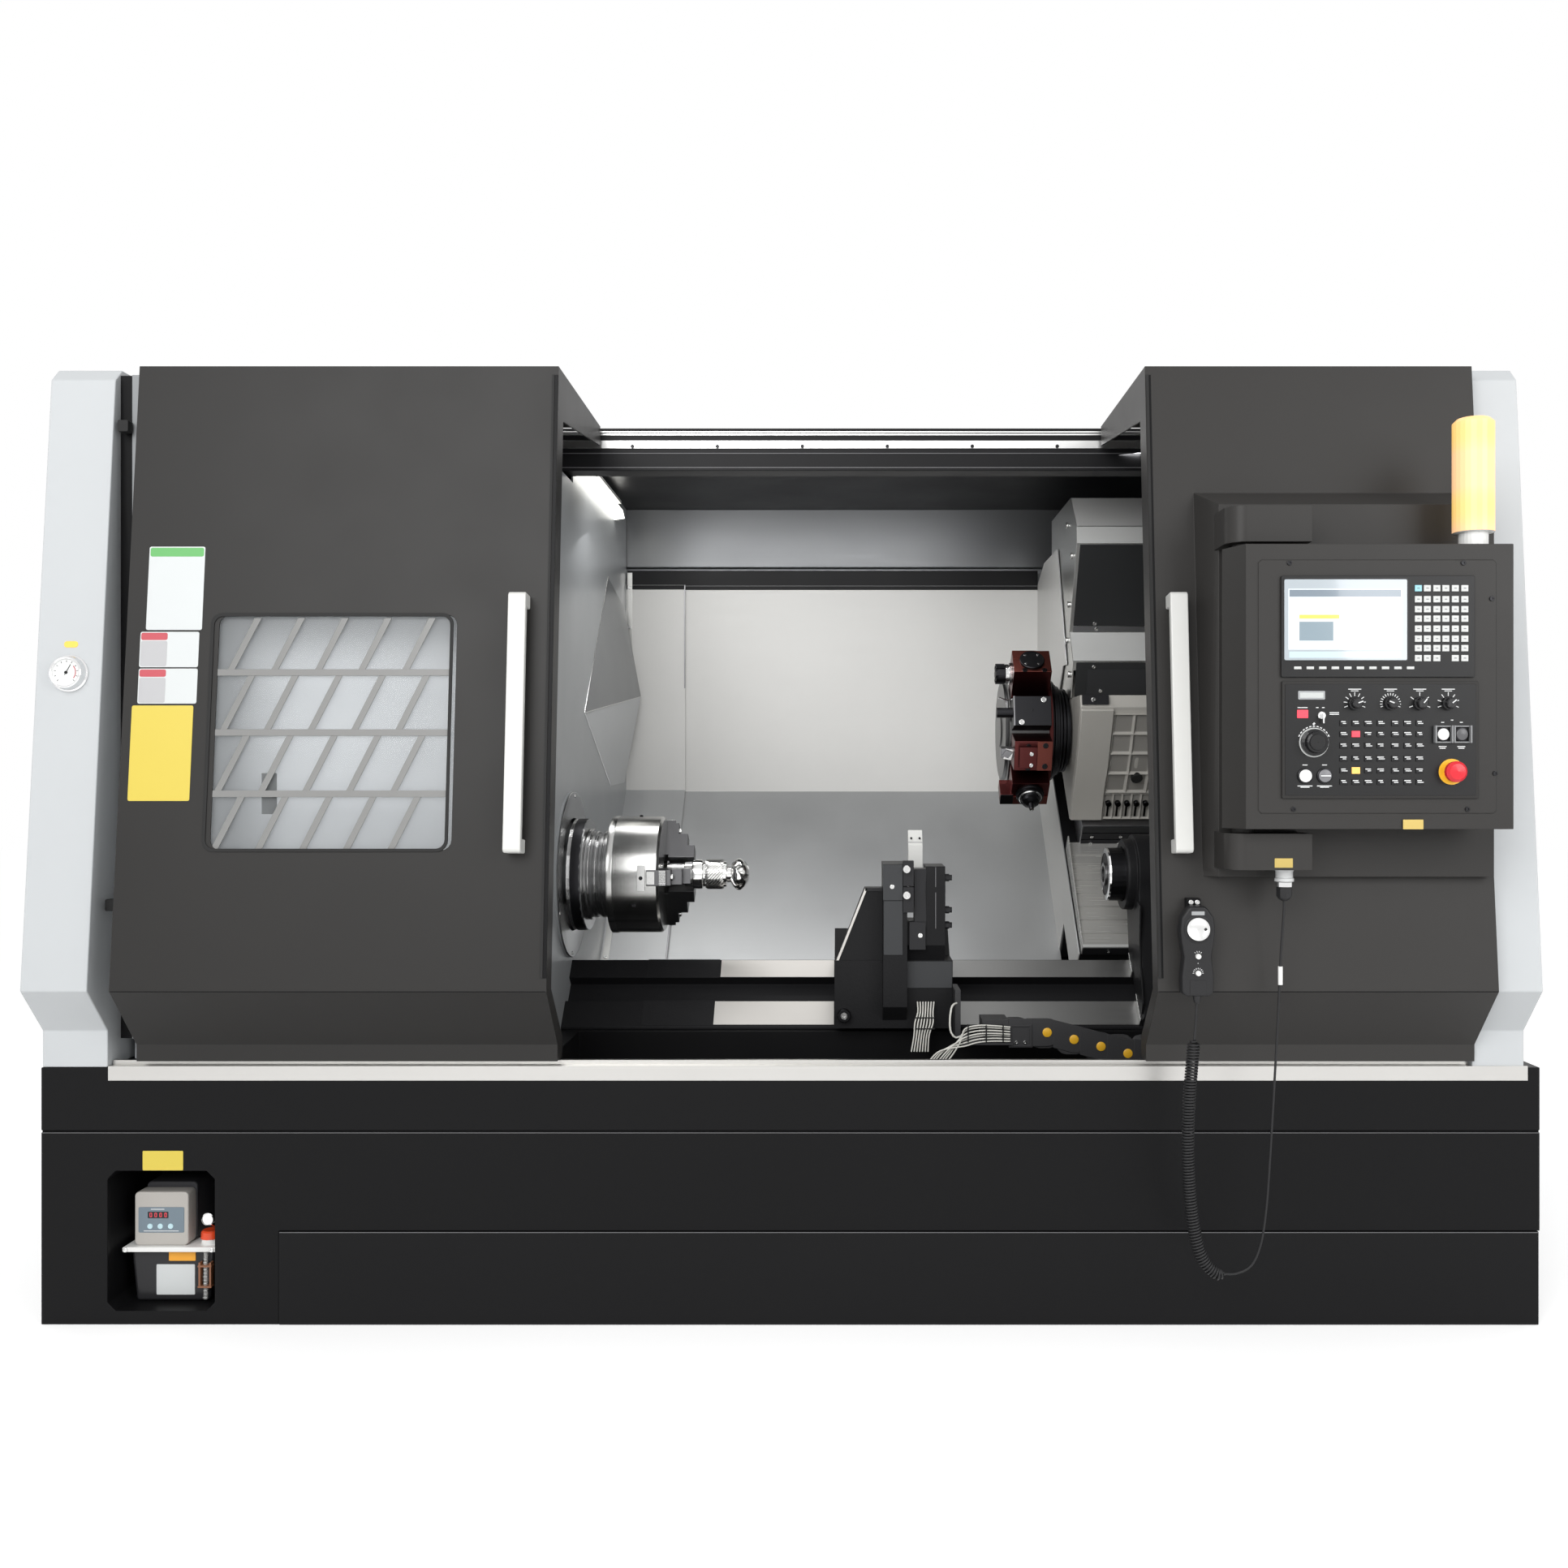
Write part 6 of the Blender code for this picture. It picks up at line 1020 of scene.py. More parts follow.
brass = brushed("plain brass plate", (0.62, 0.47, 0.16), 0.3, (8, 500, 500))
plate("brass_plate", (1.24, 1.1, 1.281, 1.1195, 0.001), -1.1478, -0.001, brass, "pendant", 0.0003)
print("machine panel keys", len(panel_keys))

# %% [markdown]
# The doors are folded sheet with a knee near the foot. Real doors carry rubber and steel strips along
# their closing edges, a black gasket round the window, and standoffs under the handles. Plain coloured
# plates sit beside the window. Every such place is found with the same rule that leans the door's skin.

# %% Doors: skin frame, gasket, strips, plates and handles
KNEE_Z, KNEE_Y = 0.752, deep(-0.13)
SKIN_UP = Vector((0, 0.13, 1.358)).normalized()
SKIN_OUT = Vector((0, -SKIN_UP.z, SKIN_UP.y))


def on_door(out=0.0):
    """Places (x, height) points on the doors' leaning skin."""
    return lambda x, z: Vector((x, KNEE_Y, KNEE_Z)) + SKIN_UP * ((z - KNEE_Z) / SKIN_UP.z) + SKIN_OUT * out


def door_plate(name, a, b, c, d, finish, body="left_door", stand=0.0008, corner=0.004, edge=0.0002,
    back=0.0004):
    return slab(name, rectangle(a, b, c, d, corner), on_door(-back), SKIN_OUT * (back + stand), finish,
        body, edge)


def frame_strip(name, outer, inner, to_space, depth, finish, body, edge=0.0006):
    """A frame between two outlines with the same number of points."""
    piece = outlined(name, outer, to_space)
    bpy.ops.mesh.select_all(action="DESELECT")
    bpy.ops.mesh.primitive_circle_add(vertices=len(inner), radius=1, fill_type="NOTHING")
    bpy.ops.object.mode_set(mode="OBJECT")
    for vertex, point in zip(list(piece.data.vertices)[len(outer):], inner):
        vertex.co = to_space(*point)
    bpy.ops.object.mode_set(mode="EDIT")
    bpy.ops.mesh.select_all(action="SELECT")
    bpy.ops.mesh.bridge_edge_loops()
    extrude(depth)
    closed(piece)
    rounded(piece, edge)
    return coat(piece, finish, body)


frame_strip("window_gasket", rectangle(-1.25, 1.0455, -0.726, 1.5595, 0.024, 6),
    rectangle(-1.243, 1.0525, -0.733, 1.5525, 0.019, 6), on_door(-0.001), SKIN_OUT * 0.0035, rubber,
    "left_door")
label_white = moulded("plain white plate", (0.62, 0.645, 0.645), 0.35)
label_green = moulded("plain green band", (0.12, 0.42, 0.12), 0.38)
label_red = moulded("plain red band", (0.5, 0.07, 0.09), 0.38)
label_grey = moulded("plain grey field", (0.46, 0.46, 0.47), 0.38)
label_yellow = moulded("plain yellow plate", (0.66, 0.52, 0.07), 0.38)
door_plate("plate_white", -1.391, 1.523, -1.27, 1.706, label_white)
door_plate("plate_white_band", -1.3885, 1.684, -1.2725, 1.7035, label_green, stand=0.0011, back=-0.0006)
for low, high in ((1.442, 1.519), (1.363, 1.439)):
    door_plate("plate_small", -1.402, low, -1.275, high, label_white)
    door_plate("plate_small_band", -1.4, high - 0.018, -1.343, high - 0.002, label_red, stand=0.0011,
        back=-0.0006)
    door_plate("plate_small_field", -1.4, low + 0.002, -1.343, high - 0.02, label_grey, stand=0.0011,
        back=-0.0006)
door_plate("plate_yellow", -1.413, 1.154, -1.281, 1.359, label_yellow)

for x0, x1, finish, stand in ((-0.5235, -0.5185, rubber, 0.0025), (-0.5175, -0.5105, base_black, 0.0012)):
    door_plate("closing_strip", x0, 0.78, x1, 2.09, finish, stand=stand, corner=0.0006)
for x0, x1, finish, stand in ((0.7815, 0.7875, rubber, 0.0025), (0.7885, 0.7925, base_black, 0.0008)):
    door_plate("closing_strip", x0, 0.78, x1, 2.09, finish, "right_door", stand, 0.0006)
for body, low, high in (("left_door", -1.43, -0.512), ("right_door", 0.782, 1.498)):
    slab("knee_line", rectangle(low, 0, high, 0.0018), lambda a, b: (a, KNEE_Y + 0.0006,
        KNEE_Z - 0.0009 + b), (0, -0.0012, 0), base_black, body, 0.0003)
bar_grey = powder("grille bar grey", (0.21, 0.21, 0.205), 0.4)
BAR_ROWS = (1.55, 1.431, 1.301, 1.1695, 1.052)
BAR_TOPS = (-1.1505, -1.0565, -0.962, -0.8685, -0.7735)
bars = []
for row, (high, low) in enumerate(zip(BAR_ROWS, BAR_ROWS[1:])):
    for top in BAR_TOPS:
        x = top - 0.006 * row
        foot = x - 0.057 * (high - low) / 0.119
        points = [(x - 0.0075, high), (foot - 0.0075, low), (foot + 0.0075, low), (x + 0.0075, high)]
        bars.append(slab("bar", points, on_door(-0.0046), SKIN_OUT * 0.0022, bar_grey, "left_door", 0.0004))
for z in BAR_ROWS[1:-1]:
    points = rectangle(-1.244, z - 0.007, -0.731, z + 0.007)
    bars.append(slab("bar", points, on_door(-0.004), SKIN_OUT * 0.0026, bar_grey, "left_door", 0.0004))
grille = joined("grille_bars", bars)
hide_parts("window_grille")
print("door skin leans", round(degrees(atan2(0.13, 1.358)), 1))

# %% [markdown]
# Under the operator station hang its cable gland and the hand pendant. The gland is a pale connector
# body with a steel ring and a black nut. The hand pendant is a waisted black case with a bright dial
# that clicks round, two small white selectors, and a bracket with two screws.

# %% Gland and hand pendant
GLAND_X, GLAND_Y = 1.026, deep(-0.195)
pale_body = moulded("connector pale body", (0.62, 0.63, 0.63), 0.25)
turned_z("gland_body", [(1.0245, 0.0004), (1.0245, 0.0205), (1.016, 0.0215), (1.01, 0.0175),
    (0.998, 0.0175), (0.996, 0.0195), (0.99, 0.0195), (0.989, 0.0004)], GLAND_X, GLAND_Y, pale_body,
    "right_door")
turned_z("gland_ring", bored(0.0004, (0.9885, 0.0172), (0.979, 0.0172), (0.978, 0.0155)), GLAND_X, GLAND_Y,
    chrome, "right_door")
turned_z("gland_nut", bored(0.0032, (0.9775, 0.0165), (0.96, 0.0165), (0.954, 0.012), (0.95, 0.0065)),
    GLAND_X, GLAND_Y, black_plastic, "right_door", 8)
turned_z("cable_sleeve", bored(0.003, (0.812, 0.0048), (0.774, 0.0048)), 1.0235, deep(-0.1775),
    white_plastic, "right_door", 16)
plate("hinge_brass_plate", (0.994, 1.0205, 1.031, 1.0395, 0.001), deep(-0.2349), -0.0008, brass,
    "right_door", 0.0002)

REMOTE_X = 0.8545
REMOTE_Y = -1.0461
outline = [(-0.02, 0.748), (0.02, 0.748), (0.028, 0.756), (0.0285, 0.79), (0.0245, 0.83), (0.029, 0.862),
    (0.031, 0.888), (0.0285, 0.912), (0.018, 0.93), (0.013, 0.936), (-0.013, 0.936), (-0.018, 0.93),
    (-0.0285, 0.912), (-0.031, 0.888), (-0.029, 0.862), (-0.0245, 0.83), (-0.0285, 0.79), (-0.028, 0.756)]
remote = slab("remote_case", [(REMOTE_X + x * 1.18, z) for x, z in outline], flat(REMOTE_Y + 0.034),
    (0, -0.034, 0), black_plastic, "right_door", 0.0055, 4)
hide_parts("hand_pendant")
plate("remote_bracket", (REMOTE_X - 0.015, 0.912, REMOTE_X + 0.015, 0.9495, 0.002), REMOTE_Y + 0.0365, 0.02,
    base_black, "right_door")
front_screws("remote_bracket_screws", bright_screw, "right_door", REMOTE_Y + 0.0365,
    [(REMOTE_X - 0.0065, 0.9415), (REMOTE_X + 0.0065, 0.9415)], 0.0052)
patch_grey = moulded("plain grey patch", (0.36, 0.37, 0.375), 0.35)
plate("remote_patch", (REMOTE_X - 0.0135, 0.9175, REMOTE_X + 0.0135, 0.9255, 0.001), REMOTE_Y + 0.0002,
    -0.0006, patch_grey, "right_door", 0.0002)
turned_y("remote_bezel", bored(0.0262, (REMOTE_Y + 0.004, 0.0292), (REMOTE_Y - 0.0012, 0.0288),
    (REMOTE_Y - 0.002, 0.0272)), REMOTE_X, 0.8882, black_plastic, "right_door", 40)
dial_face = Finish("dial satin face", (0.8, 0.8, 0.79), 0.2, 1.0).material
WHEEL_CENTRE = Vector((REMOTE_X, -1.032277, 0.886812))
WHEEL_AXIS = Vector((0, -0.995449, 0.095293))


def on_wheel(name, profile, aside, finish, steps):
    """A piece turned about an axis along the hand wheel's own, which leans with the door."""
    centre = WHEEL_CENTRE + Vector((aside, 0, 0))
    return spun(name, profile, lambda out, r: centre + WHEEL_AXIS * out + Vector((r, 0, 0)), centre,
        WHEEL_AXIS, finish, "hand_dial", steps)


wheel = on_wheel("remote_wheel", bored(0.0004, (-0.001, 0.024), (0.0165, 0.0244), (0.0189, 0.0238),
    (0.0189, 0.019), (0.0183, 0.018)), 0, dial_face, 48)
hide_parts("hand_dial")
on_wheel("remote_wheel_grip", bored(0.0004, (0.0175, 0.0032), (0.0202, 0.003)), 0.0145, black_plastic, 14)
for z in (0.832, 0.797):
    turned_y("remote_selector", [(REMOTE_Y + 0.001, 0.0004), (REMOTE_Y + 0.001, 0.006),
        (REMOTE_Y - 0.0062, 0.0052), (REMOTE_Y - 0.0066, 0.0004)], REMOTE_X, z, white_plastic, "right_door",
        20)
marks = []
for z, first, last, count in ((0.832, 50, 130, 4), (0.797, 0, 180, 9)):
    for tick in range(count):
        angle = radians(first + (last - first) * tick / (count - 1))
        reach = 0.0098
        marks.append((*around(REMOTE_X, z, reach, angle), 0.003, 0.0011, degrees(angle)))
marks.append((REMOTE_X, 0.8175, 0.0016, 0.0016, 0))
strips("remote_marks", legend, marks, "right_door", REMOTE_Y)
plate("remote_foot", (REMOTE_X - 0.017, 0.752, REMOTE_X + 0.017, 0.782, 0.002), REMOTE_Y + 0.0002, -0.0012,
    black_plastic, "right_door", 0.0004)
turned_z("remote_relief", [(0.75, 0.003), (0.75, 0.0085), (0.742, 0.008), (0.7335, 0.0055),
    (0.7325, 0.003)], REMOTE_X, deep(-0.16), black_plastic, "right_door", 16)
print("hand pendant faces", len(remote.data.polygons))

# %% [markdown]
# The pale columns at both ends are folded steel too. The left one holds a pressure gauge: a plated ring, a
# white face with a plain tick scale and a needle. A black strip paints the shade in the deep gap between
# the column and the door, a narrow grey strip, darker than the column, paints the shade on the column's
# side face, and black rubber buffers stop the door at its end.

# %% Left column: gauge, plate, gap strips and buffers
COLUMN_FOOT = (deep(-0.086), 0.746)
COLUMN_HEAD = (deep(0.034), 2.089)
COLUMN_UP = Vector((0, COLUMN_HEAD[0] - COLUMN_FOOT[0], COLUMN_HEAD[1] - COLUMN_FOOT[1])).normalized()
COLUMN_OUT = Vector((0, -COLUMN_UP.z, COLUMN_UP.y))


def on_column(out=0.0):
    """Places (x, height) points on the columns' leaning faces."""
    return lambda x, z: (Vector((x,
        *COLUMN_FOOT)) + COLUMN_UP * ((z - COLUMN_FOOT[1]) / COLUMN_UP.z) + COLUMN_OUT * out)


GAUGE_X, GAUGE_Z = -1.572, 1.431
gauge_centre = on_column()(GAUGE_X, GAUGE_Z)


def gauge_ring(name, profile, finish, steps=40):
    """A piece turned about the gauge's leaning axis, from (height off the column, radius) points."""
    return spun(name, profile, lambda out, r: gauge_centre + COLUMN_OUT * out + COLUMN_UP * r, gauge_centre,
        COLUMN_OUT, finish, "base", steps)


bezel = gauge_ring("gauge_bezel", [(0.0003, 0.0295), (0.0003, 0.0405), (0.004, 0.0405), (0.006, 0.0375),
    (0.01, 0.036), (0.021, 0.0345), (0.0225, 0.0325), (0.0215, 0.03), (0.016, 0.0295)], chrome)
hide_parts("pressure_gauge")
gauge_white = moulded("gauge white face", (0.8, 0.81, 0.8), 0.35)
gauge_ring("gauge_face", bored(0.0003, (0.0005, 0.03), (0.0165, 0.03)), gauge_white)
COLUMN_SIDE = Vector((1, 0, 0))


def gauge_bar(name, radius, turn, length, width, finish, out=0.0166):
    angle = radians(turn)
    way = COLUMN_SIDE * cos(angle) + COLUMN_UP * sin(angle)
    side = COLUMN_SIDE * -sin(angle) + COLUMN_UP * cos(angle)
    centre = gauge_centre + COLUMN_OUT * out + way * radius
    return slab(name, rectangle(-length / 2, -width / 2, length / 2, width / 2),
        lambda a, b: centre + way * a + side * b, COLUMN_OUT * 0.0005, finish, "base", 0)


ticks = [gauge_bar("tick", 0.0245, 225 - 27 * step, 0.004, 0.001, key_black) for step in range(11)]
joined("gauge_ticks", ticks)
arc_bars = [gauge_bar("arc", 0.0205, 40 - 8 * step, 0.0016, 0.003, label_red) for step in range(10)]
joined("gauge_red_arc", arc_bars)
gauge_bar("gauge_needle", 0.007, 62, 0.026, 0.0012, key_black, 0.0175)
gauge_ring("gauge_hub", bored(0.0003, (0.0165, 0.0035), (0.019, 0.003)), key_black, 16)
oval = rectangle(-1.5885, 1.4885, -1.5575, 1.5025, 0.0068, 6)
slab("gauge_plate", oval, on_column(-0.0003), COLUMN_OUT * 0.001, brushed("plain amber plate",
    (0.85, 0.55, 0.12), 0.4, (8, 400, 400)), "base", 0.0002)
# The black strip paints the shade in the deep gap, and the grey strip paints the column's side face in
# shade: painted shade.
for x0, x1, finish, depth in ((-1.5032, -1.475, base_black, 0.03), (-1.4745, -1.454, wall_grey, 0.024)):
    plate("gap_shade_strip", (x0, 0.62, x1, 2.105), deep(depth + 0.03), -0.004, finish, "base", 0.0006)
for x, z, depth in ((-1.482, 1.985, 0.015), (-1.486, 0.925, -0.03)):
    plate("door_buffer", (x - 0.012, z - 0.013, x + 0.012, z + 0.013, 0.003), deep(depth + 0.03), -0.022,
        rubber, "base", 0.002)
print("gauge at", [round(v, 3) for v in gauge_centre])

# %% [markdown]
# In a niche of the base stands the lubrication pump: a warm grey head with rounded edges, a blue-grey
# control field with a tiny display and three pale buttons, a white flange, a smoked black tank with a
# bare white field, a red filler cap, and a level tube in a copper-brown cage.

# %% Lubrication pump
PUMP_X = -1.386


def pump_plate(name, shape, depth, thick, finish, edge=0.0008, segments=2):
    """A plate of the pump: its rectangle's x is measured from the pump's middle, and y from the front."""
    x0, z0, x1, z1, *corner = shape
    outline = (PUMP_X + x0, z0, PUMP_X + x1, z1, *corner)
    return plate(name, outline, deep(depth), thick, finish, "base", edge, segments)


pump_tank_outline = [(-0.094, 0.147), (0.094, 0.147), (0.082, 0.031), (-0.082, 0.031)]
tank = slab("pump_tank", [(PUMP_X + x, z) for x, z in pump_tank_outline], flat(deep(0.055)), (0, 0.133, 0),
    tank_smoke, "base", 0.008, 3)
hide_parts("lube_unit")
pump_plate("pump_flange", (-0.104, 0.147, 0.104, 0.158, 0.003), 0.036, 0.162, white_plastic, 0.0015)
pump_plate("pump_head", (-0.082, 0.158, 0.038, 0.278, 0.01, 4), 0.048, 0.04, pump_grey, 0.003, 3)
pump_plate("pump_motor", (-0.074, 0.158, 0.04, 0.29, 0.01, 4), 0.0875, 0.095, motor_grey, 0.004, 3)
pump_field = moulded("pump blue grey field", (0.16, 0.21, 0.25), 0.3)
pump_plate("pump_panel", (-0.073, 0.187, 0.029, 0.244, 0.003), 0.0482, -0.0012, pump_field, 0.0004)
pump_plate("pump_display", (-0.052, 0.2195, -0.006, 0.234, 0.001), 0.0472, -0.0008, tank_smoke, 0.0002)
segments = [(PUMP_X - 0.045 + 0.011 * digit + dx, 0.2268 + dz, width, tall, 0) for digit in range(4) for dx,
    dz, width, tall in ((-0.002, 0, 0.001, 0.008), (0.002, 0, 0.001, 0.008), (0, 0.0042, 0.004, 0.001),
    (0, -0.0042, 0.004, 0.001))]
strips("pump_digits", red_glow, segments, "base", deep(0.0466))
pale_blue = moulded("pale blue button", (0.52, 0.72, 0.78), 0.35)
for x in (-0.047, -0.024, -0.001):
    turned_y("pump_button", [(deep(0.0475), 0.0003), (deep(0.0475), 0.0062), (deep(0.0455), 0.0056),
        (deep(0.0452), 0.0003)], PUMP_X + x, 0.2015, pale_blue, "base", 20)
strips("pump_print", legend, [(PUMP_X - 0.03, 0.2395, 0.03, 0.0016, 0),
    (PUMP_X - 0.022, 0.191, 0.078, 0.0014, 0)], "base", deep(0.047))
front_screws("pump_bolts", bright_screw, "base", deep(0.0365), [(PUMP_X + x, 0.1525)
    for x in (-0.096, 0.096)])
pump_plate("pump_orange_plate", (-0.008, 0.122, 0.052, 0.1462, 0.002), 0.0548, -0.0016,
    moulded("pump orange plate", (0.85, 0.38, 0.03), 0.4), 0.0004)
pump_plate("pump_white_field", (-0.036, 0.046, 0.05, 0.114, 0.002), 0.0548, -0.0009, label_white, 0.0003)
turned_z("pump_neck", bored(0.0004, (0.1575, 0.02), (0.17, 0.0195)), PUMP_X + 0.08, deep(0.068),
    white_plastic, "base", 24)
turned_z("pump_cap", bored(0.0004, (0.1702, 0.0215), (0.185, 0.0205), (0.188, 0.017)), PUMP_X + 0.08,
    deep(0.068), orange_plastic, "base", 12)
turned_z("level_tube", bored(0.0004, (0.04, 0.0045), (0.1465, 0.0045)), PUMP_X + 0.078, deep(0.046),
    clear_plastic, "base", 16)
cage_brown = moulded("cage copper brown", (0.26, 0.105, 0.05), 0.35)
cage = []
for x in (0.066, 0.09):
    cage.append(plate("cage_bar", (PUMP_X + x - 0.0022, 0.066, PUMP_X + x + 0.0022, 0.122, 0.001),
        deep(0.0545), -0.014, cage_brown, "base", 0.0006))
for z in (0.066, 0.112):
    cage.append(pump_plate("cage_bar", (0.0625, z, 0.0935, z + 0.0042, 0.001), 0.053, -0.014, cage_brown,
        0.0006))
joined("level_cage", cage)
ticks = [(PUMP_X + 0.0785, 0.044 + 0.0078 * step, 0.0065 if step % 3 else 0.0095, 0.0009, 0)
    for step in range(12)]
strips("level_ticks", legend, ticks, "base", deep(0.0412))
turned_y("pump_gauge", bored(0.0004, (deep(0.04), 0.014), (deep(0.03), 0.014), (deep(0.0285), 0.012),
    (deep(0.03), 0.0115)), PUMP_X + 0.0895, 0.222, chrome, "base", 28)
bent_tube("pump_pipe", [(PUMP_X + 0.0895, deep(0.045), 0.212), (PUMP_X + 0.0895, deep(0.06), 0.2),
    (PUMP_X + 0.085, deep(0.09), 0.195), (PUMP_X + 0.06, deep(0.12), 0.19)], 0.0035, chrome, "base")
plate("niche_plate", (-1.426, 0.3394, -1.337, 0.3823, 0.002), FRONT + 0.0003, -0.0009, label_yellow, "base",
    0.0002)
print("pump pieces done")

# %% [markdown]
# The spindle nose: a thin disc with a bright rim closes the wall round it. Then come a black flange, an
# adapter with turned grooves and the chuck. A T-shaped key insert with a screw sits in each of the
# chuck's slots, and the base jaws show fine serrations in front of it.

# %% Spindle nose and chuck details
on_spindle("nose_disc", [(-0.5935, 0.148), (-0.5935, 0.215), (-0.5915, 0.2165), (-0.59, 0.215),
    (-0.5912, 0.213), (-0.5918, 0.148)], nose_steel, "base", 64)
nose_screws = [(-0.5921, *around(SPINDLE_Y, SPINDLE_Z, 0.205, a)) for a in (radians(25 + 60 * i)
    for i in range(6))]
screws("nose_disc_screws", bright_screw, "base", (1, 0, 0), nose_screws, 0.0045, 0.0025)
on_spindle("nose_flange_rim", [(-0.576, 0.144), (-0.576, 0.1462), (-0.556, 0.1462), (-0.55, 0.144)],
    black_oxide, "spindle", 48)
for x, radius in ((-0.5465, 0.118), (-0.534, 0.1125), (-0.512, 0.1125), (-0.5, 0.1125)):
    on_spindle("adapter_ring", bored(radius - 0.01, (x, radius), (x + 0.0015, radius + 0.0012),
        (x + 0.0085, radius + 0.0012), (x + 0.01, radius)), nose_steel, "spindle", 48)
on_spindle("chuck_step", bored(0.15, (-0.4845, 0.1534), (-0.47, 0.1534), (-0.469, 0.1528)), chuck_steel,
    "spindle", 64)


def spokes(turn):
    """The ways out from the spindle's axis and round it, at an angle in degrees."""
    angle = radians(turn)
    return Vector((0, sin(angle), cos(angle))), Vector((0, cos(angle), -sin(angle)))


for turn, jaw_body in ((-90, "jaw_a"), (30, "jaw_c"), (150, "jaw_b")):
    out, side = spokes(turn)
    centre = Vector((0, SPINDLE_Y, SPINDLE_Z)) + out * 0.1519

    def on_rim(x, s):
        return Vector((x, 0, 0)) + centre + side * s

    slab("slot_insert", rectangle(-0.404, -0.033, -0.3845, 0.033, 0.001), on_rim, out * 0.0022,
        bright_screw, "spindle")
    slab("slot_key", rectangle(-0.38, -0.016, -0.36, 0.016, 0.001),
        lambda x, s: on_rim(x, s) - out * 0.0079, out * 0.0101, bright_screw, jaw_body)
    screws("slot_insert_screw", dark_screw, "spindle", tuple(out), [centre + out * 0.002 + Vector((-0.3945,
        0, 0))], 0.005, 0.0012)
    screws("chuck_rim_screw", dark_screw, "spindle", tuple(out), [centre + Vector((-0.415, 0,
        0)) + side * -0.07 - out * 0.018], 0.0048, 0.0025)
for number, body, turn in ((1, "jaw_a", -90), (2, "jaw_b", 150), (3, "jaw_c", 30)):
    out, side = spokes(turn)
    teeth = []
    for step in range(9):
        at = Vector((0, SPINDLE_Y, SPINDLE_Z)) + out * 0.15 + side * (0.0042 * (step - 4))
        teeth.append(slab("tooth", rectangle(-0.349, -0.0011, -0.3325, 0.0011),
            lambda a, b: at + Vector((a, 0, 0)) + side * b, out * 0.002, bright_screw, body, 0.0003))
    joined("jaw_serrations_%d" % number, teeth)
    screws("jaw_screws_%d" % number, bright_screw, body, (1, 0, 0),
        [Vector((-0.3213, SPINDLE_Y, SPINDLE_Z)) + out * 0.126], 0.0085, 0.005)
print("jaws dressed")

# %% [markdown]
# The workpiece in the chuck is a bright milling cutter: a collar, a barrel with fine slanting teeth, a
# neck and a ball end with four deep flutes. A toothed circle is drawn out along the axis step by step,
# and turned a little each time. That twist is what makes the flutes slant.

# %% Workpiece
def twisted(name, radii, stations, finish, body):
    """A cross-section ring drawn out along X: stations are (x, scale, turn) and radii go round the ring."""
    count = len(radii)
    first = stations[0]

    def ring(x, scale, turn):
        points = []
        for index, radius in enumerate(radii):
            angle = 2 * pi * index / count + turn
            points.append((x, *around(SPINDLE_Y, SPINDLE_Z, radius * scale, angle)))
        return points

    piece = outlined(name, ring(*first), lambda x, y, z: (x, y, z))
    previous = first
    bpy.ops.mesh.edge_face_add()
    for station in stations[1:]:
        extrude((station[0] - previous[0], 0, 0))
        share = station[1] / previous[1]
        bpy.ops.transform.resize(value=(1, share, share), center_override=(station[0], SPINDLE_Y,
            SPINDLE_Z))
        bpy.ops.transform.rotate(value=station[2] - previous[2], orient_axis="X",
            center_override=(station[0], SPINDLE_Y, SPINDLE_Z))
        previous = station
    closed(piece)
    only(piece)
    bpy.ops.object.shade_smooth_by_angle(angle=radians(40))
    return coat(piece, finish, body)


collar = on_spindle("cutter_collar", bored(0.0004, (-0.344, 0.03), (-0.3, 0.03), (-0.298, 0.0335),
    (-0.279, 0.0345), (-0.276, 0.0385), (-0.262, 0.0395), (-0.252, 0.0385), (-0.249, 0.0335),
    (-0.245, 0.033)), tool_steel, "spindle")
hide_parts("workpiece")
teeth = [0.0395 if i % 3 else 0.035 for i in range(90)]
twisted("cutter_barrel", teeth, [(-0.2448 + 0.006 * i, 1.0 if 0 < i < 8 else 0.93, 0.16 * i)
    for i in range(9)], tool_steel, "spindle")
on_spindle("cutter_neck", [(-0.1968, 0.0004), (-0.1968, 0.034), (-0.19, 0.0335), (-0.187, 0.0215),
    (-0.176, 0.0205), (-0.174, 0.0004)], tool_steel, "spindle")
lobes = []
for index in range(72):
    part = (index * 4 / 72) % 1.0
    lobes.append(0.042 * (1.0 - 0.42 * max(0.0, 1 - abs(part - 0.12) / 0.3) ** 1.5))
ball = []
for step in range(13):
    share = step / 12
    bulge = sin(pi * (0.14 + 0.8 * share)) ** 0.55
    ball.append((-0.1775 + 0.0455 * share, bulge, -1.7 * share))
twisted("cutter_ball", lobes, ball, tool_steel, "spindle")
print("workpiece done")

# %% [markdown]
# The folded guards behind the chuck are bolted sheets. A flange with screws closes the corner at the wall,
# and thin raised seams show where two sheets meet. The bed's two front ways are ground bright only where
# the tailstock and the steady rest run. Further left, under the guard's edge, black plates over the ways
# paint their shade, and the strips further right take a darker steel as painted shade.

# %% Guards, corner flange and ways
def bed_plate(name, x0, x1, run0, run1, rise, stand, finish, body, edge=0.0005):
    """A flat plate that lies on the slope."""
    points = rectangle(x0, run0, x1, run1)
    up = Vector((0, -SLOPE, SLOPE)) * (stand + 0.0006)
    return slab(name, points, lambda x, run: (x, *on_slope(run, rise - 0.0006)), up, finish, body, edge)


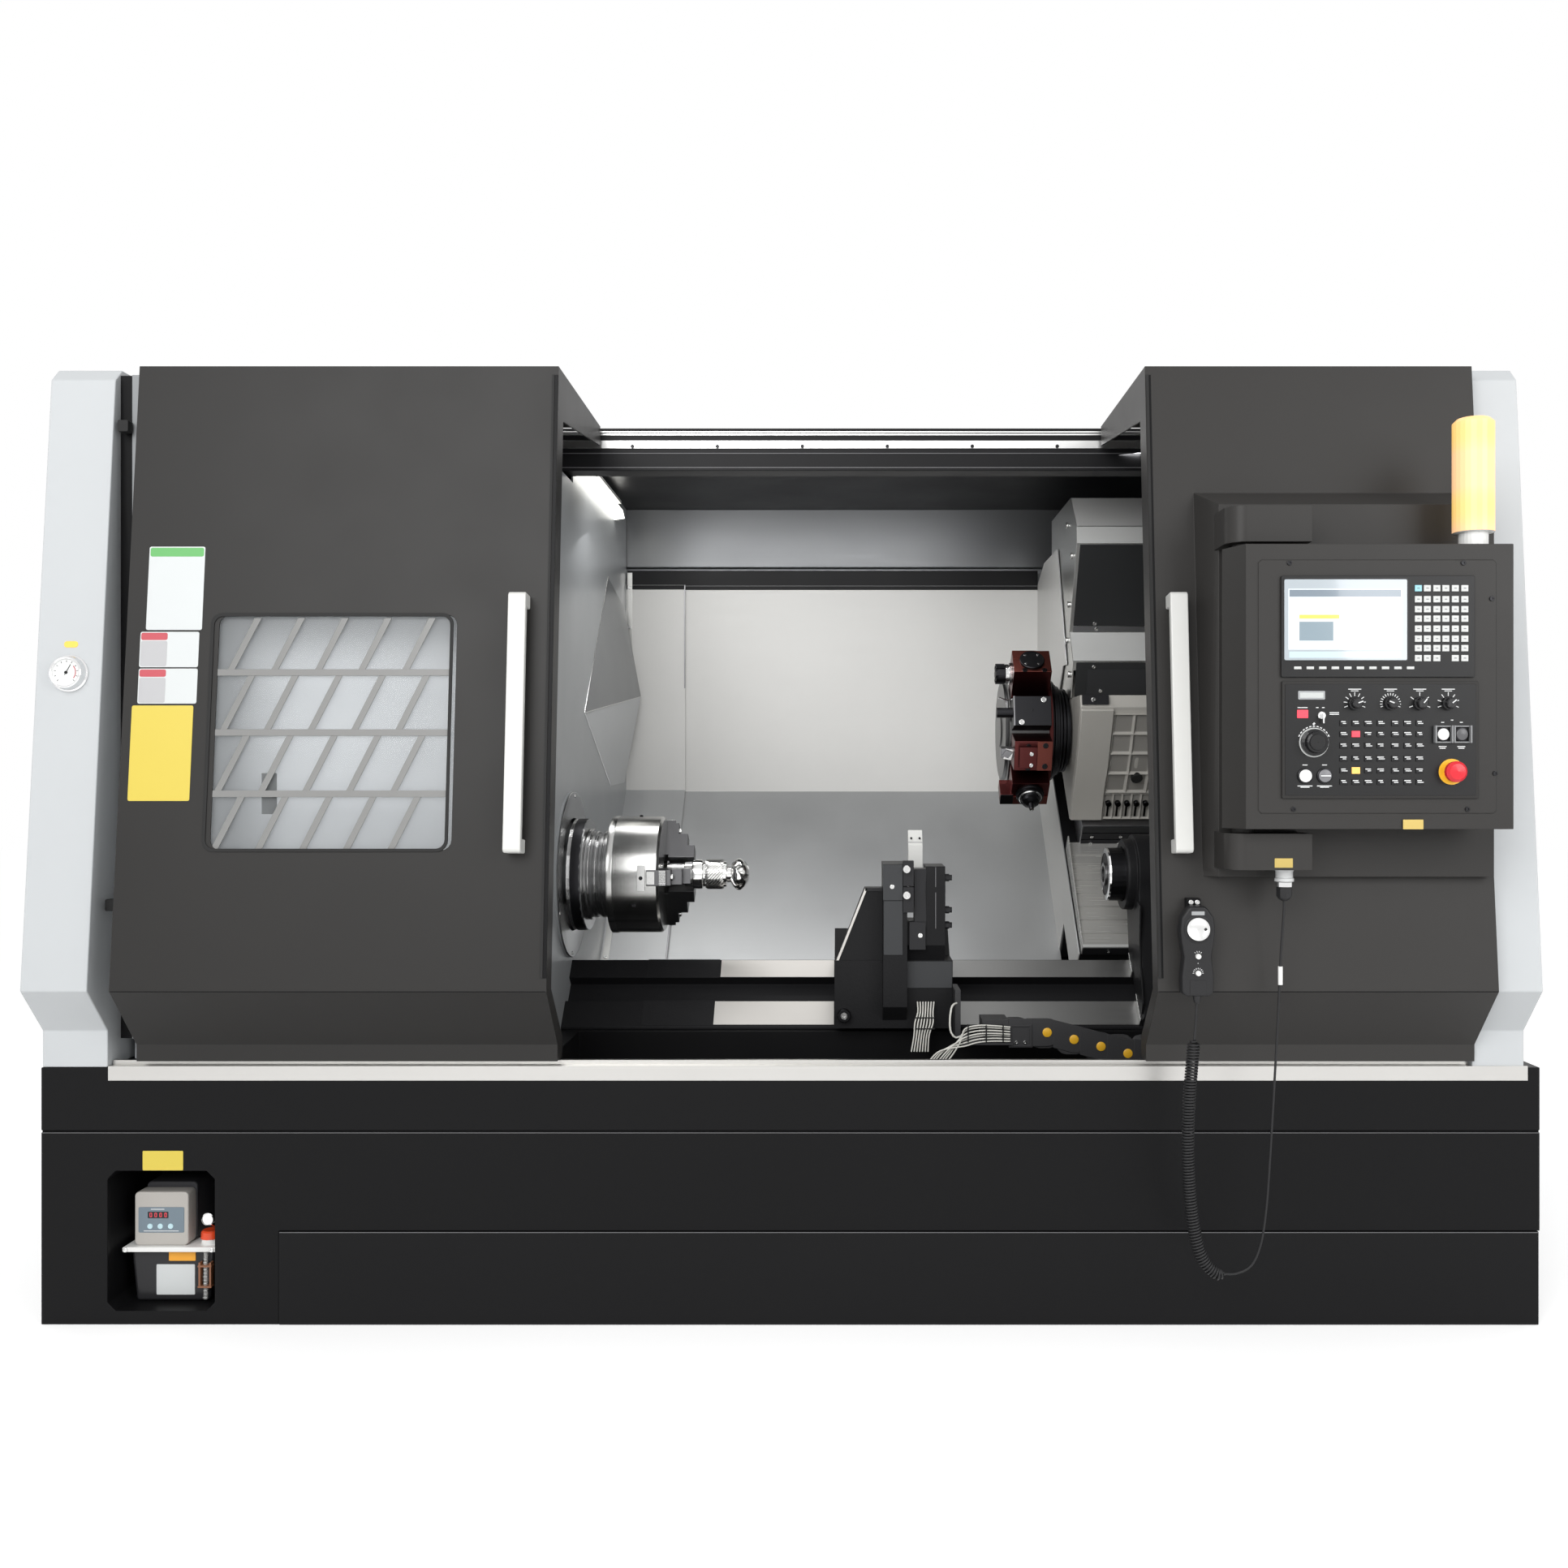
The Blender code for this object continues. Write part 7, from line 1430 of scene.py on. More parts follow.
FLANGE_RISE = -0.512 + 0.0016
bed_plate("corner_flange", -0.5945, -0.575, 0.075, 0.56, FLANGE_RISE, 0.0016, cover_steel, "base")
screws("corner_flange_screws", bright_screw, "base", (0, -SLOPE, SLOPE),
    [(-0.585, *on_slope(run, FLANGE_RISE + 0.0015)) for run in (0.12, 0.3, 0.48)], 0.005, 0.003)
plate("corner_post", (-0.595, 1.525, -0.579, 1.88), deep(1.5358), -0.0022, cover_steel, "base", 0.0005)
front_screws("corner_post_screws", bright_screw, "base", deep(1.5338),
    [(-0.587, z) for z in (1.575, 1.7, 1.83)], 0.005, 0.003)
bed_plate("guard_seam", -0.4085, -0.4035, 0.06, 0.575, FLANGE_RISE, 0.0009, slide_steel, "base", 0.0002)
plate("guard_seam_upper", (-0.408, 1.5, -0.4045, 1.84), deep(1.536), -0.0012, slide_steel, "base", 0.0002)
plate("guard_band", (-0.597, 1.8255, 0.757, 1.889), deep(1.548), -0.001, inner_black, "saddle", 0.0003)
# A thin grey line along the black band: a painted highlight on its edge.
plate("guard_band_line", (-0.597, 1.837, 0.757, 1.839), deep(1.547), -0.0012, edge_highlight_grey, "saddle", 0.0003)
plate("wall_band", (-0.598, 1.8255, -0.4065, 1.839), deep(1.536), -0.001, inner_black, "base", 0.0003)
FOLD = [(1.181, 1.815), (0.79, 1.384), (1.225, 1.18)]
bent_tube("fold_edge", [(-0.599, deep(d), z) for d, z in FOLD[:2]], 0.0013, chrome, "base", 0.05)
bent_tube("fold_edge", [(-0.599, deep(d), z) for d, z in FOLD[1:]], 0.0013, chrome, "base", 0.05)
bent_tube("fold_ridge", [(-0.5985, deep(0.79), 1.384), (-0.5448, deep(1.495), 1.47)], 0.0011, guard_steel,
    "base", 0.05)
slab("guard_lip", rectangle(-0.6, 0.0, 0.755, 0.006), lambda x, z: (x, deep(1.0478), 0.659 + z),
    (0, -0.0012, 0), chrome, "saddle", 0.0004)
for run, half, first in ((-0.3167, 0.0375, -0.214), (-0.1753, 0.029, -0.205)):
    bed_plate("way_strip", first, 0.092, run - half + 0.0015, run + half - 0.0015, -0.1754, 0.0002,
        way_steel, "base", 0)
    # The right-hand strips take the darker steel: painted shade.
    bed_plate("way_strip", 0.39, 1.44, run - half + 0.0015, run + half - 0.0015, -0.1754, 0.0002, way_painted_shade,
        "base", 0)
    # Black plates over the ways further left: painted shade under the guard's edge.
    bed_plate("way_shadow", -0.398, first - 0.004, run - half - 0.001, run + half + 0.001, -0.1754, 0.0006,
        cast_black, "base", 0.0004)

# %% [markdown]
# The steady rest carries a long workpiece. Its gusset has a bright machined edge, and a stack of plates
# is held by cap screws. A hydraulic block with three fittings closes its pale arm.

# %% Steady rest details
lo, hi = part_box("steady_rest")
slide_black = powder("steady plate black", (0.022, 0.022, 0.024), 0.36, 300, 0.0001)

edit_all(made["steady_rest"])
bpy.ops.mesh.bisect(plane_co=(0, 0, 0.9915), plane_no=(0, 0, 1), clear_outer=True, use_fill=True)
bpy.ops.object.mode_set(mode="OBJECT")
steady_grey = powder("steady block grey", (0.05, 0.052, 0.055), 0.34, 300, 0.0001)
PLATE_FACE = deep(0.36)
plate("steady_upper_plate", (0.214, 0.903, 0.2618, 0.9905, 0.001), PLATE_FACE + 0.001, -0.006, steady_grey,
    "steady", 0.001)
plate("steady_lower_plate", (0.2155, 0.769, 0.2618, 0.9015, 0.001), PLATE_FACE + 0.001, -0.0035,
    steady_grey, "steady", 0.001)
for low in (0.9385, 0.8735):
    plate("steady_clamp", (0.263, low, 0.289, low + 0.062, 0.001), deep(0.374), -0.021, slide_black,
        "steady", 0.0012)
front_screws("steady_cap_screws", bright_screw, "steady", deep(0.3535), [(0.2715, 0.98), (0.2715, 0.916)],
    0.01, 0.012)
front_screws("steady_plate_screw", bright_screw, "steady", PLATE_FACE - 0.0045, [(0.236, 0.9365)], 0.0055,
    0.003)
plate("steady_block_side", (0.2915, 0.835, 0.321, 0.979, 0.001), deep(0.43), -0.053, slide_black, "steady",
    0.0012)
plate("steady_foot_plate", (0.268, 0.682, 0.386, 0.748, 0.001), deep(0.4005), -0.004, steady_grey, "steady",
    0.001)
plate("steady_gusset_edge", [(0.0975, 0.747), (0.17, 0.9295), (0.1765, 0.9295), (0.104, 0.747)],
    deep(0.404), -0.0022, way_steel, "steady", 0.0004)
plate("steady_gusset_top", (0.17, 0.922, 0.214, 0.93), deep(0.404), -0.0022, slide_black, "steady", 0.0004)
turned_y("steady_big_screw", [(deep(0.3995), 0.008), (deep(0.3995), 0.0165), (deep(0.382), 0.0165),
    (deep(0.38), 0.015), (deep(0.38), 0.0085), (deep(0.386), 0.008)], 0.118, 0.615, dark_screw, "steady",
    28)
front_screws("steady_big_socket", bright_screw, "steady", deep(0.3945), [(0.118, 0.615)], 0.0085, 0.006)
for z in (0.956, 0.876, 0.838):
    spun("steady_fitting", bored(0.0004, (0.3675, 0.0095), (0.379, 0.0095), (0.38, 0.007), (0.386, 0.007)),
        lambda x, r: (x, deep(0.4), z + r), (0, deep(0.4), z), (1, 0, 0), slide_black, "steady", 6)
plate("steady_core_plate", (0.279, 0.78, 0.319, 0.848, 0.001), deep(0.381), -0.01, slide_black, "steady",
    0.0012)
front_screws("steady_core_screw", bright_screw, "steady", deep(0.3712), [(0.306, 0.815)], 0.0055, 0.002)
plate("steady_block_line", (0.3435, 0.832, 0.3445, 0.983), deep(0.3735), -0.0008, slide_steel, "steady",
    0.0001)
front_screws("arm_holes", dark_screw, "steady_arm", deep(0.4432), [(0.287, 1.052), (0.308, 1.052)], 0.003,
    0.0006)
strips("arm_line", slide_steel, [(0.2975, 1.042, 0.035, 0.0014, 0)], "steady_arm", deep(0.443), 0.0004)
print("steady box", [round(v, 3) for v in lo], [round(v, 3) for v in hi])

# %% [markdown]
# Cables and hoses reach the steady rest in bundles held by black ties. Each hose is a short bent tube.
# The bundle is made from several that start side by side and sag a little differently.

# %% Hoses and ties
hose_white = moulded("hose off-white", (0.7, 0.69, 0.64), 0.35, 0.00002)
hoses = []
for index in range(7):
    shift = (index - 3) * 0.0062
    hoses.append(bent_tube("hose", [(0.32 + shift * 1.1, deep(0.385), 0.65),
        (0.319 + shift, deep(0.38), 0.625), (0.315 + shift * 1.2, deep(0.372), 0.6 - 0.001 * (index % 3)),
        (0.309 + shift, deep(0.368), 0.57), (0.304 + shift * 1.1, deep(0.365), 0.53)], 0.0019, hose_white,
        "steady", 0.008))
joined("hose_bundle", hoses)
cables = []
for index in range(7):
    lift = (index - 3) * 0.0056
    y = deep(0.248 + 0.0035 * (index % 3))
    cables.append(bent_tube("cable", [(0.342 + lift * 1.3, y, 0.53), (0.359 + lift * 1.2, y, 0.55),
        (0.379 + lift, y, 0.569 + lift * 0.6), (0.405, y, 0.586 + lift * 1.2),
        (0.435, y, 0.5945 + lift * 1.2), (0.47, y, 0.596 + lift * 1.1), (0.513, y, 0.594 + lift)], 0.0018,
        hose_white, "steady", 0.008))
joined("cable_bundle", cables)
ties = []
for x in (0.413, 0.456, 0.496):
    ties.append(plate("tie", (x - 0.0014, 0.5755, x + 0.0014, 0.616, 0.001), deep(0.2445), 0.016, rubber,
        "steady", 0.0006))
for z, depth in ((0.612, 0.3765), (0.586, 0.37)):
    ties.append(plate("tie", (0.293, z - 0.0012, 0.342, z + 0.0012, 0.001), deep(depth - 0.005), 0.011,
        rubber, "steady", 0.0006))
joined("cable_ties", ties)
bent_tube("loop_cable", [(0.392, deep(0.33), 0.655), (0.38, deep(0.315), 0.65), (0.374, deep(0.305), 0.62),
    (0.376, deep(0.3), 0.59), (0.388, deep(0.296), 0.577), (0.405, deep(0.294), 0.584)], 0.0026, hose_white,
    "steady", 0.008)

# %% [markdown]
# The energy chain lies in front of the ways. Each link is a round-ended plate, half over the next, with
# an orange-yellow plug in its pivot. Its end box has a raised frame and two screws.

# %% Energy chain details
CHAIN_FACE = deep(0.26)
LINK_HALF = 0.0335
plugs, plates = [], []
for link in range(8):
    x = 0.6025 + 0.064 * link
    z = 0.5965 - 0.0165 * min(link, 3)
    fall = -0.0165 if 0 < link < 4 else 0.0
    outline = []
    for step in range(11):
        angle = radians(-90 + 18 * step)
        outline.append(around(x + 0.0005, z, LINK_HALF, angle))
    outline += [(x - 0.05, z + LINK_HALF - fall * 0.8), (x - 0.05, z - LINK_HALF - fall * 0.8)]
    front = CHAIN_FACE - 0.0012 - 0.0007 * link
    plates.append(slab("link_plate", outline, flat(CHAIN_FACE + 0.004), (0, front - CHAIN_FACE - 0.004, 0),
        chain_black, "steady", 0.0016))
    plugs.append(turned_y("link_plug", bored(0.0004, (CHAIN_FACE - 0.001, 0.0112), (front - 0.0014, 0.011),
        (front - 0.0022, 0.0095)), x, z, yellow_plastic, "steady", 24))
joined("chain_plates", plates)
joined("chain_plugs", plugs)
plate("chain_end_plate", (0.511, 0.56, 0.568, 0.629, 0.002), CHAIN_FACE + 0.002, -0.0035, chain_black,
    "steady")
frame_strip("chain_end_frame", rectangle(0.513, 0.563, 0.5655, 0.615, 0.002),
    rectangle(0.5175, 0.5675, 0.561, 0.6105, 0.002), flat(CHAIN_FACE - 0.001), (0, -0.0036, 0), chain_black,
    "steady")
front_screws("chain_end_screws", bright_screw, "steady", CHAIN_FACE - 0.0014,
    [(0.529, 0.573), (0.549, 0.573)], 0.004)

# %% [markdown]
# The tailstock's quill ends in a bright turned ring round its centre hole. Bright wiper plates close the
# foot on both ways, and a rib runs down the body's side.

# %% Tailstock details
on_spindle("quill_ring", bored(0.056, (0.803, 0.0655), (0.8042, 0.069), (0.8085, 0.0699)), chrome, "quill",
    48)
on_spindle("quill_step", bored(0.0215, (0.7985, 0.03), (0.804, 0.03)), nose_steel, "quill")
on_spindle("tail_collar_ring", bored(0.072, (0.847, 0.0905), (0.85, 0.0925), (0.858, 0.0925)), cast_black,
    "tailstock", 48)
for run, half in ((-0.3167, 0.04), (-0.1753, 0.031)):
    points = rectangle(run - half, -0.1745, run + half, -0.148)
    slab("tail_wiper", points, lambda run, rise: (0.8715, *on_slope(run, rise)), (-0.006, 0, 0),
        bright_screw, "tailstock")
tail_side = [(-0.352, -0.133), (-0.18, -0.133), (-0.165, -0.095), (-0.12, -0.06), (-0.105, -0.02),
    (-0.125, 0.01), (-0.118, 0.03), (-0.145, 0.045), (-0.2, -0.02), (-0.25, -0.06), (-0.3, -0.08),
    (-0.34, -0.105)]
slab("tail_side_plate", tail_side, lambda run, rise: (0.8718, *on_slope(run, rise)), (-0.005, 0, 0),
    cast_black, "tailstock", 0.0012)
print("tailstock dressed")

# %% [markdown]
# The turret is the machine's most skilled piece. Its twelve-sided disc carries four tool blocks. Each
# block is described as if it stood upright on the disc, and one matrix per station tips it to its place.
# The driven holder has a castellated collet nut and a round lid. The blank is plain with two screws. The
# turning block clamps a shank with a pale insert, and the last block holds a drill in ringed sleeves.

# %% Turret: tool blocks
TURRET_Y, TURRET_Z = on_slope(0.552, 0)
APOTHEM = 0.1703


def station(number):
    """The matrix that carries an upright block to its station."""
    turn = radians(90 - 12 - 30 * number)
    return Matrix.Translation((0, TURRET_Y, TURRET_Z)) @ Matrix.Rotation(turn, 4, "X")


def on_block(number, top):
    """Places (x, across) points on a block's outer face."""
    matrix = station(number)
    return lambda x, side: matrix @ Vector((x, side, APOTHEM + top))


def block_out(number):
    return station(number).to_3x3() @ Vector((0, 0, 1))


def block_slab(name, number, outline, top, stand, finish, edge=0.0008):
    return slab(name, outline, on_block(number, top - 0.0004), block_out(number) * (stand + 0.0004), finish,
        "turret", edge)


def block_screws(name, number, places, top, finish=dark_screw, radius=0.0065, height=0.003):
    points = [on_block(number, top)(x, side) for x, side in places]
    return screws(name, finish, "turret", tuple(block_out(number)), points, radius, height)


def block_turned(name, number, side, height, profile, finish, steps=28):
    """A piece turned about an axis along X on a block, from (x, radius) points."""
    centre = station(number) @ Vector((0, side, APOTHEM + height))
    return spun(name, profile, lambda x, r: (x, centre.y, centre.z + r), (0, centre.y, centre.z), (1, 0, 0),
        finish, "turret", steps)


def block_upright(name, number, x, side, profile, finish, steps=28):
    """A piece turned about an axis square to a block's outer face, from (height, radius) points."""
    matrix = station(number)
    centre = matrix @ Vector((x, side, APOTHEM))
    out = block_out(number)
    return spun(name, profile, lambda h, r: centre + out * h + Vector((r, 0, 0)), centre, out, finish,
        "turret", steps)


# A lighter copy of the dark red steel for the tool blocks' outward faces: painted light.
maroon_painted_light = brushed("dark red steel, painted light", (0.235, 0.07, 0.055), 0.34, (80, 420, 420), cloud=0.05)
TOP = 0.106
block_slab("holder_bevel", 1, rectangle(0.5845, 0.012, 0.65, 0.0415, 0.001), TOP, 0.0012, maroon_painted_light,
    0.0006)
block_upright("holder_lid_ring", 1, 0.636, 0.0, bored(0.03, (TOP - 0.001, 0.0345), (TOP + 0.0062, 0.034),
    (TOP + 0.0074, 0.0325)), black_oxide, 40)
block_upright("holder_lid", 1, 0.636, 0.0, bored(0.0004, (TOP + 0.001, 0.0302), (TOP + 0.0066, 0.0302)),
    black_oxide, 40)
block_screws("holder_lid_screws", 1, [(0.636 + 0.0245 * cos(a), 0.0245 * sin(a))
    for a in (radians(45 + 90 * i) for i in range(4))], TOP + 0.0056, bright_screw, 0.0034, 0.0018)
block_screws("holder_screws", 1, [(0.614, -0.036), (0.668, -0.036)], TOP - 0.001, dark_screw, 0.0075,
    0.0025)
block_turned("collet_steel_ring", 1, 0, 0.057, [(0.5835, 0.018), (0.5835, 0.0305), (0.576, 0.031),
    (0.575, 0.027), (0.566, 0.027), (0.565, 0.018)], bright_screw, 36)
nut_centre = station(1) @ Vector((0, 0, APOTHEM + 0.057))
lugs = []
for index in range(8):
    angle = radians(45 * index)
    way = Vector((0, cos(angle), sin(angle)))
    side = Vector((0, -sin(angle), cos(angle)))
    lugs.append(slab("lug", rectangle(0.539, -0.0062, 0.564, 0.0062, 0.0006),
        lambda a, b: Vector((a, nut_centre.y, nut_centre.z)) + side * b + way * 0.0235, way * 0.0045,
        black_oxide, "turret"))
joined("collet_nut_lugs", lugs)
pipe = station(1)
bent_tube("coolant_pipe", [pipe @ Vector(p) for p in ((0.59, -0.046, APOTHEM + 0.006),
    (0.583, -0.049, APOTHEM + 0.004), (0.566, -0.05, APOTHEM + 0.006), (0.548, -0.047, APOTHEM + 0.012))],
    0.0026, chrome, "turret", 0.003)
BLANK = 0.05735
block_screws("blank_screws", 0, [(0.668, 0.031), (0.606, -0.0325)], BLANK, bright_screw, 0.0078, 0.0022)
block_screws("blank_hole", 0, [(0.636, 0.002)], BLANK - 0.0004, dark_screw, 0.0032, 0.0008)
block_slab("blank_edge", 0, rectangle(0.5842, -0.0418, 0.5878, 0.0418, 0.0004), BLANK, 0.0006, slide_steel,
    0.0002)
TURNING = 0.0795
block_slab("turning_right_plate", -1, rectangle(0.646, -0.0415, 0.6875, 0.0415, 0.001), TURNING, 0.003,
    maroon_painted_light)
# The collet holder's outward face takes the lighter red: painted light.
recolour(made["collet_holder"], maroon_painted_light, lambda at, out: at.x > 0.5838 and out.dot(block_out(1)) > 0.9)
block_screws("turning_screws", -1, [(0.668, 0.03), (0.668, -0.029), (0.622, 0.0265), (0.622, -0.033)],
    TURNING + 0.0028, dark_screw, 0.0078, 0.0022)
block_screws("turning_bright_screws", -1, [(0.628, 0.012), (0.628, -0.02)], 0.0995, bright_screw, 0.0056,
    0.004)
block_slab("turning_insert", -1, [(0.552, -0.006), (0.57, -0.013), (0.582, 0.004), (0.564, 0.011)], 0.056,
    0.0052, slide_steel, 0.0005)
block_slab("turning_shim", -1, [(0.557, -0.016), (0.578, -0.02), (0.585, 0.01), (0.564, 0.014)], 0.05,
    0.006, bright_screw, 0.0005)
DRILL = 0.0736
for name, profile, finish, steps in (("drill_collar", bored(0.02, (DRILL - 0.002, 0.039),
    (DRILL + 0.006, 0.039), (DRILL + 0.008, 0.036), (DRILL + 0.014, 0.036), (DRILL + 0.0155, 0.033)),
    black_oxide, 40), ("drill_ring", bored(0.02, (DRILL + 0.015, 0.0315), (DRILL + 0.0175, 0.032),
    (DRILL + 0.02, 0.03)), bright_screw, 40), ("drill_nut", bored(0.005, (DRILL + 0.019, 0.025),
    (DRILL + 0.033, 0.024), (DRILL + 0.038, 0.015), (DRILL + 0.04, 0.0085)), black_oxide, 12),
    ("drill_tip", [(DRILL + 0.03, 0.0004), (DRILL + 0.03, 0.0062), (DRILL + 0.059, 0.0062),
    (DRILL + 0.061, 0.0004)], tool_steel, 16)):
    block_upright(name, -2, 0.636, 0, profile, finish, steps)
block_slab("drill_lower_plate", -2, rectangle(0.59, -0.0415, 0.687, -0.01, 0.001), DRILL, 0.003,
    maroon_painted_light)
for side in (-0.018, -0.012):
    place = station(-2) @ Vector((0.584, side, APOTHEM + 0.03))
    bent_tube("knife_screw", [place, place + Vector((-0.012, -0.001, -0.002)),
        place + Vector((-0.026, -0.003, -0.005))], 0.0022, chrome, "turret", 0.004)
turned_x("disc_ring", bored(0.15, (0.6885, 0.183), (0.6905, 0.1845), (0.699, 0.1845), (0.7, 0.183)),
    TURRET_Y, TURRET_Z, maroon_steel, "turret", 72)
for x, radius in ((0.7015, 0.15), (0.711, 0.144), (0.719, 0.134), (0.727, 0.129), (0.738, 0.12),
    (0.748, 0.12)):
    turned_x("hub_ring", bored(radius - 0.02, (x, radius - 0.001), (x + 0.001, radius),
        (x + 0.0062, radius), (x + 0.0072, radius - 0.001)), TURRET_Y, TURRET_Z, black_oxide, "turret", 64)
recolour(made["drill_block"], black_oxide,
    lambda at, out: (station(-2).inverted() @ at).z > APOTHEM + 0.0745)
print("turret at", round(TURRET_Y, 3), round(TURRET_Z, 3))

# %% [markdown]
# Behind the turret stands its ribbed casting under a folded steel cover. The cover's front is a row of
# bands, each at its own slope: some bare steel, some black plate with screws. The casting's smooth band
# on the left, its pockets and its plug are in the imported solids, so only the fine pieces are added.

# %% Slide cover, casting and rail plates
COVER_LINE = [(0.904, 2.001), (0.8, 1.901), (0.8, 1.853), (0.926, 1.622), (0.864, 1.532), (0.904, 1.432)]


def on_cover(first, out=0.0):
    """Places (x, share) points on one band of the folded cover, from its upper edge to its lower one."""
    a, b = COVER_LINE[first], COVER_LINE[first + 1]
    high, low = Vector((0, deep(a[0]), a[1])), Vector((0, deep(b[0]), b[1]))
    fall = (low - high).normalized()
    normal = Vector((0, fall.z, -fall.y))
    return (lambda x, share: Vector((x, 0, 0)) + high + (low - high) * share + normal * out), normal


def cover_plate(name, band, x0, x1, s0, s1, stand, finish, edge=0.0005):
    place, normal = on_cover(band)
    return slab(name, rectangle(x0, s0, x1, s1), lambda x, s: place(x, s) - normal * 0.0004,
        normal * (stand + 0.0004), finish, "cross_slide", edge)


def cover_screws(name, band, places, radius=0.0055, finish=bright_screw, out=0.001):
    place, normal = on_cover(band, out)
    return screws(name, finish, "cross_slide", tuple(normal), [place(x, s) for x, s in places], radius,
        0.003)


plate_black = powder("cover black plate", (0.028, 0.029, 0.03), 0.4)
cover_plate("cover_upper_steel", 0, 0.764, 1.118, 0.02, 0.98, 0.0005, top_steel)
cover_plate("cover_bright_band", 1, 0.764, 1.118, 0.02, 0.98, 0.0005, cover_pale)
cover_plate("cover_pale_slope", 3, 0.764, 1.118, 0.02, 0.98, 0.0005, cover_pale)
cover_plate("cover_black_plate", 2, 0.772, 1.118, 0.01, 0.93, 0.0016, plate_black)
cover_plate("cover_black_edge", 2, 0.772, 1.118, 0.935, 0.995, 0.0022, slide_steel)
cover_screws("cover_black_screws", 2, [(0.838, 0.965), (0.832, 0.9)], 0.0052)
cover_plate("cover_low_black", 4, 0.772, 1.118, 0.03, 0.97, 0.0016, plate_black)
cover_plate("cover_low_inner", 4, 0.805, 1.118, 0.22, 0.9, 0.003, powder("cover inner plate",
    (0.034, 0.035, 0.037), 0.42))
cover_screws("cover_low_screws", 4, [(0.822, 0.14), (0.845, 0.8), (0.885, 0.955)], 0.005, out=0.0016)
plate("cover_corner", (0.77, 1.405, 0.842, 1.432, 0.001), deep(0.76), -0.01, slide_black, "cross_slide")
front_screws("cover_corner_screw", bright_screw, "cross_slide", deep(0.75), [(0.8, 1.418)], 0.006, 0.003)
side_screws = [(0.7615, deep(depth), z) for depth, z in ((0.95, 1.93), (0.87, 1.83), (0.93, 1.7),
    (0.96, 1.6), (0.92, 1.5))]
screws("cover_side_screws", bright_screw, "cross_slide", (-1, 0, 0), side_screws, 0.009, 0.005)

CAST_LINE = [on_slope(0.3415, -0.1534), on_slope(0.3698, -0.063), on_slope(0.379, 0.0368),
    on_slope(0.425, 0.207)]


def on_casting(share_z, out=0.0):
    """The (y, z) of a height on the casting's leaning front, and the way out of it."""
    for low, high in zip(CAST_LINE, CAST_LINE[1:]):
        if share_z <= high[1] or high is CAST_LINE[-1]:
            t = (share_z - low[1]) / (high[1] - low[1])
            way = Vector((0, high[0] - low[0], high[1] - low[1])).normalized()
            normal = Vector((0, -way.z, way.y))
            point = Vector((0, low[0] + (high[0] - low[0]) * t, share_z)) + normal * out
            return point, normal


def cast_turned(name, x, z, profile, finish, steps=28):
    """A piece turned about an axis square to the casting's front."""
    point, normal = on_casting(z)
    centre = point + Vector((x, 0, 0))
    return spun(name, profile, lambda out, r: centre + normal * out + Vector((r, 0, 0)), centre, normal,
        finish, "cross_slide", steps)


def pocket_field(name, x0, x1, columns, heights, rim, deep_in, stand=0.0105):
    """A field of sunk pockets on the casting's front: a grid, each face inset and pushed in. The pocket
    floors get a darker beige, a painted shade.
    """
    bpy.ops.object.select_all(action="DESELECT")
    bpy.ops.mesh.primitive_grid_add(x_subdivisions=columns, y_subdivisions=len(heights) - 1, size=1)
    piece = settle(bpy.context.object)
    piece.name = name
    for vertex in piece.data.vertices:
        row = round((vertex.co.y + 0.5) * (len(heights) - 1))
        point = on_casting(heights[row], stand)[0]
        vertex.co = (x0 + (vertex.co.x + 0.5) * (x1 - x0), point.y, point.z)
    inward = -on_casting((heights[0] + heights[-1]) / 2)[1]
    only(piece)
    bpy.ops.object.mode_set(mode="EDIT")
    bpy.ops.mesh.select_mode(type="FACE")
    bpy.ops.mesh.select_all(action="SELECT")
    bpy.ops.mesh.inset(thickness=rim, use_individual=True)
    bpy.ops.transform.translate(value=tuple(inward * deep_in))
    bpy.ops.mesh.inset(thickness=rim * 0.6, use_individual=True)
    bpy.ops.mesh.select_all(action="SELECT")
    bpy.ops.mesh.region_to_loop()
    extrude(inward * (stand + 0.002))
    bpy.ops.mesh.select_all(action="SELECT")
    bpy.ops.mesh.normals_make_consistent(inside=False)
    bpy.ops.object.mode_set(mode="OBJECT")
    rounded(piece, 0.0022, 3)
    coat(piece, casting_beige, "cross_slide")
    # The pocket floors take the darker beige: painted shade.
    recolour(piece, pocket_painted_shade, lambda at, out: (at - Vector((at.x,
        *on_casting(at.z)[0].yz))).dot(-inward) < stand - deep_in + 0.001)
    return piece


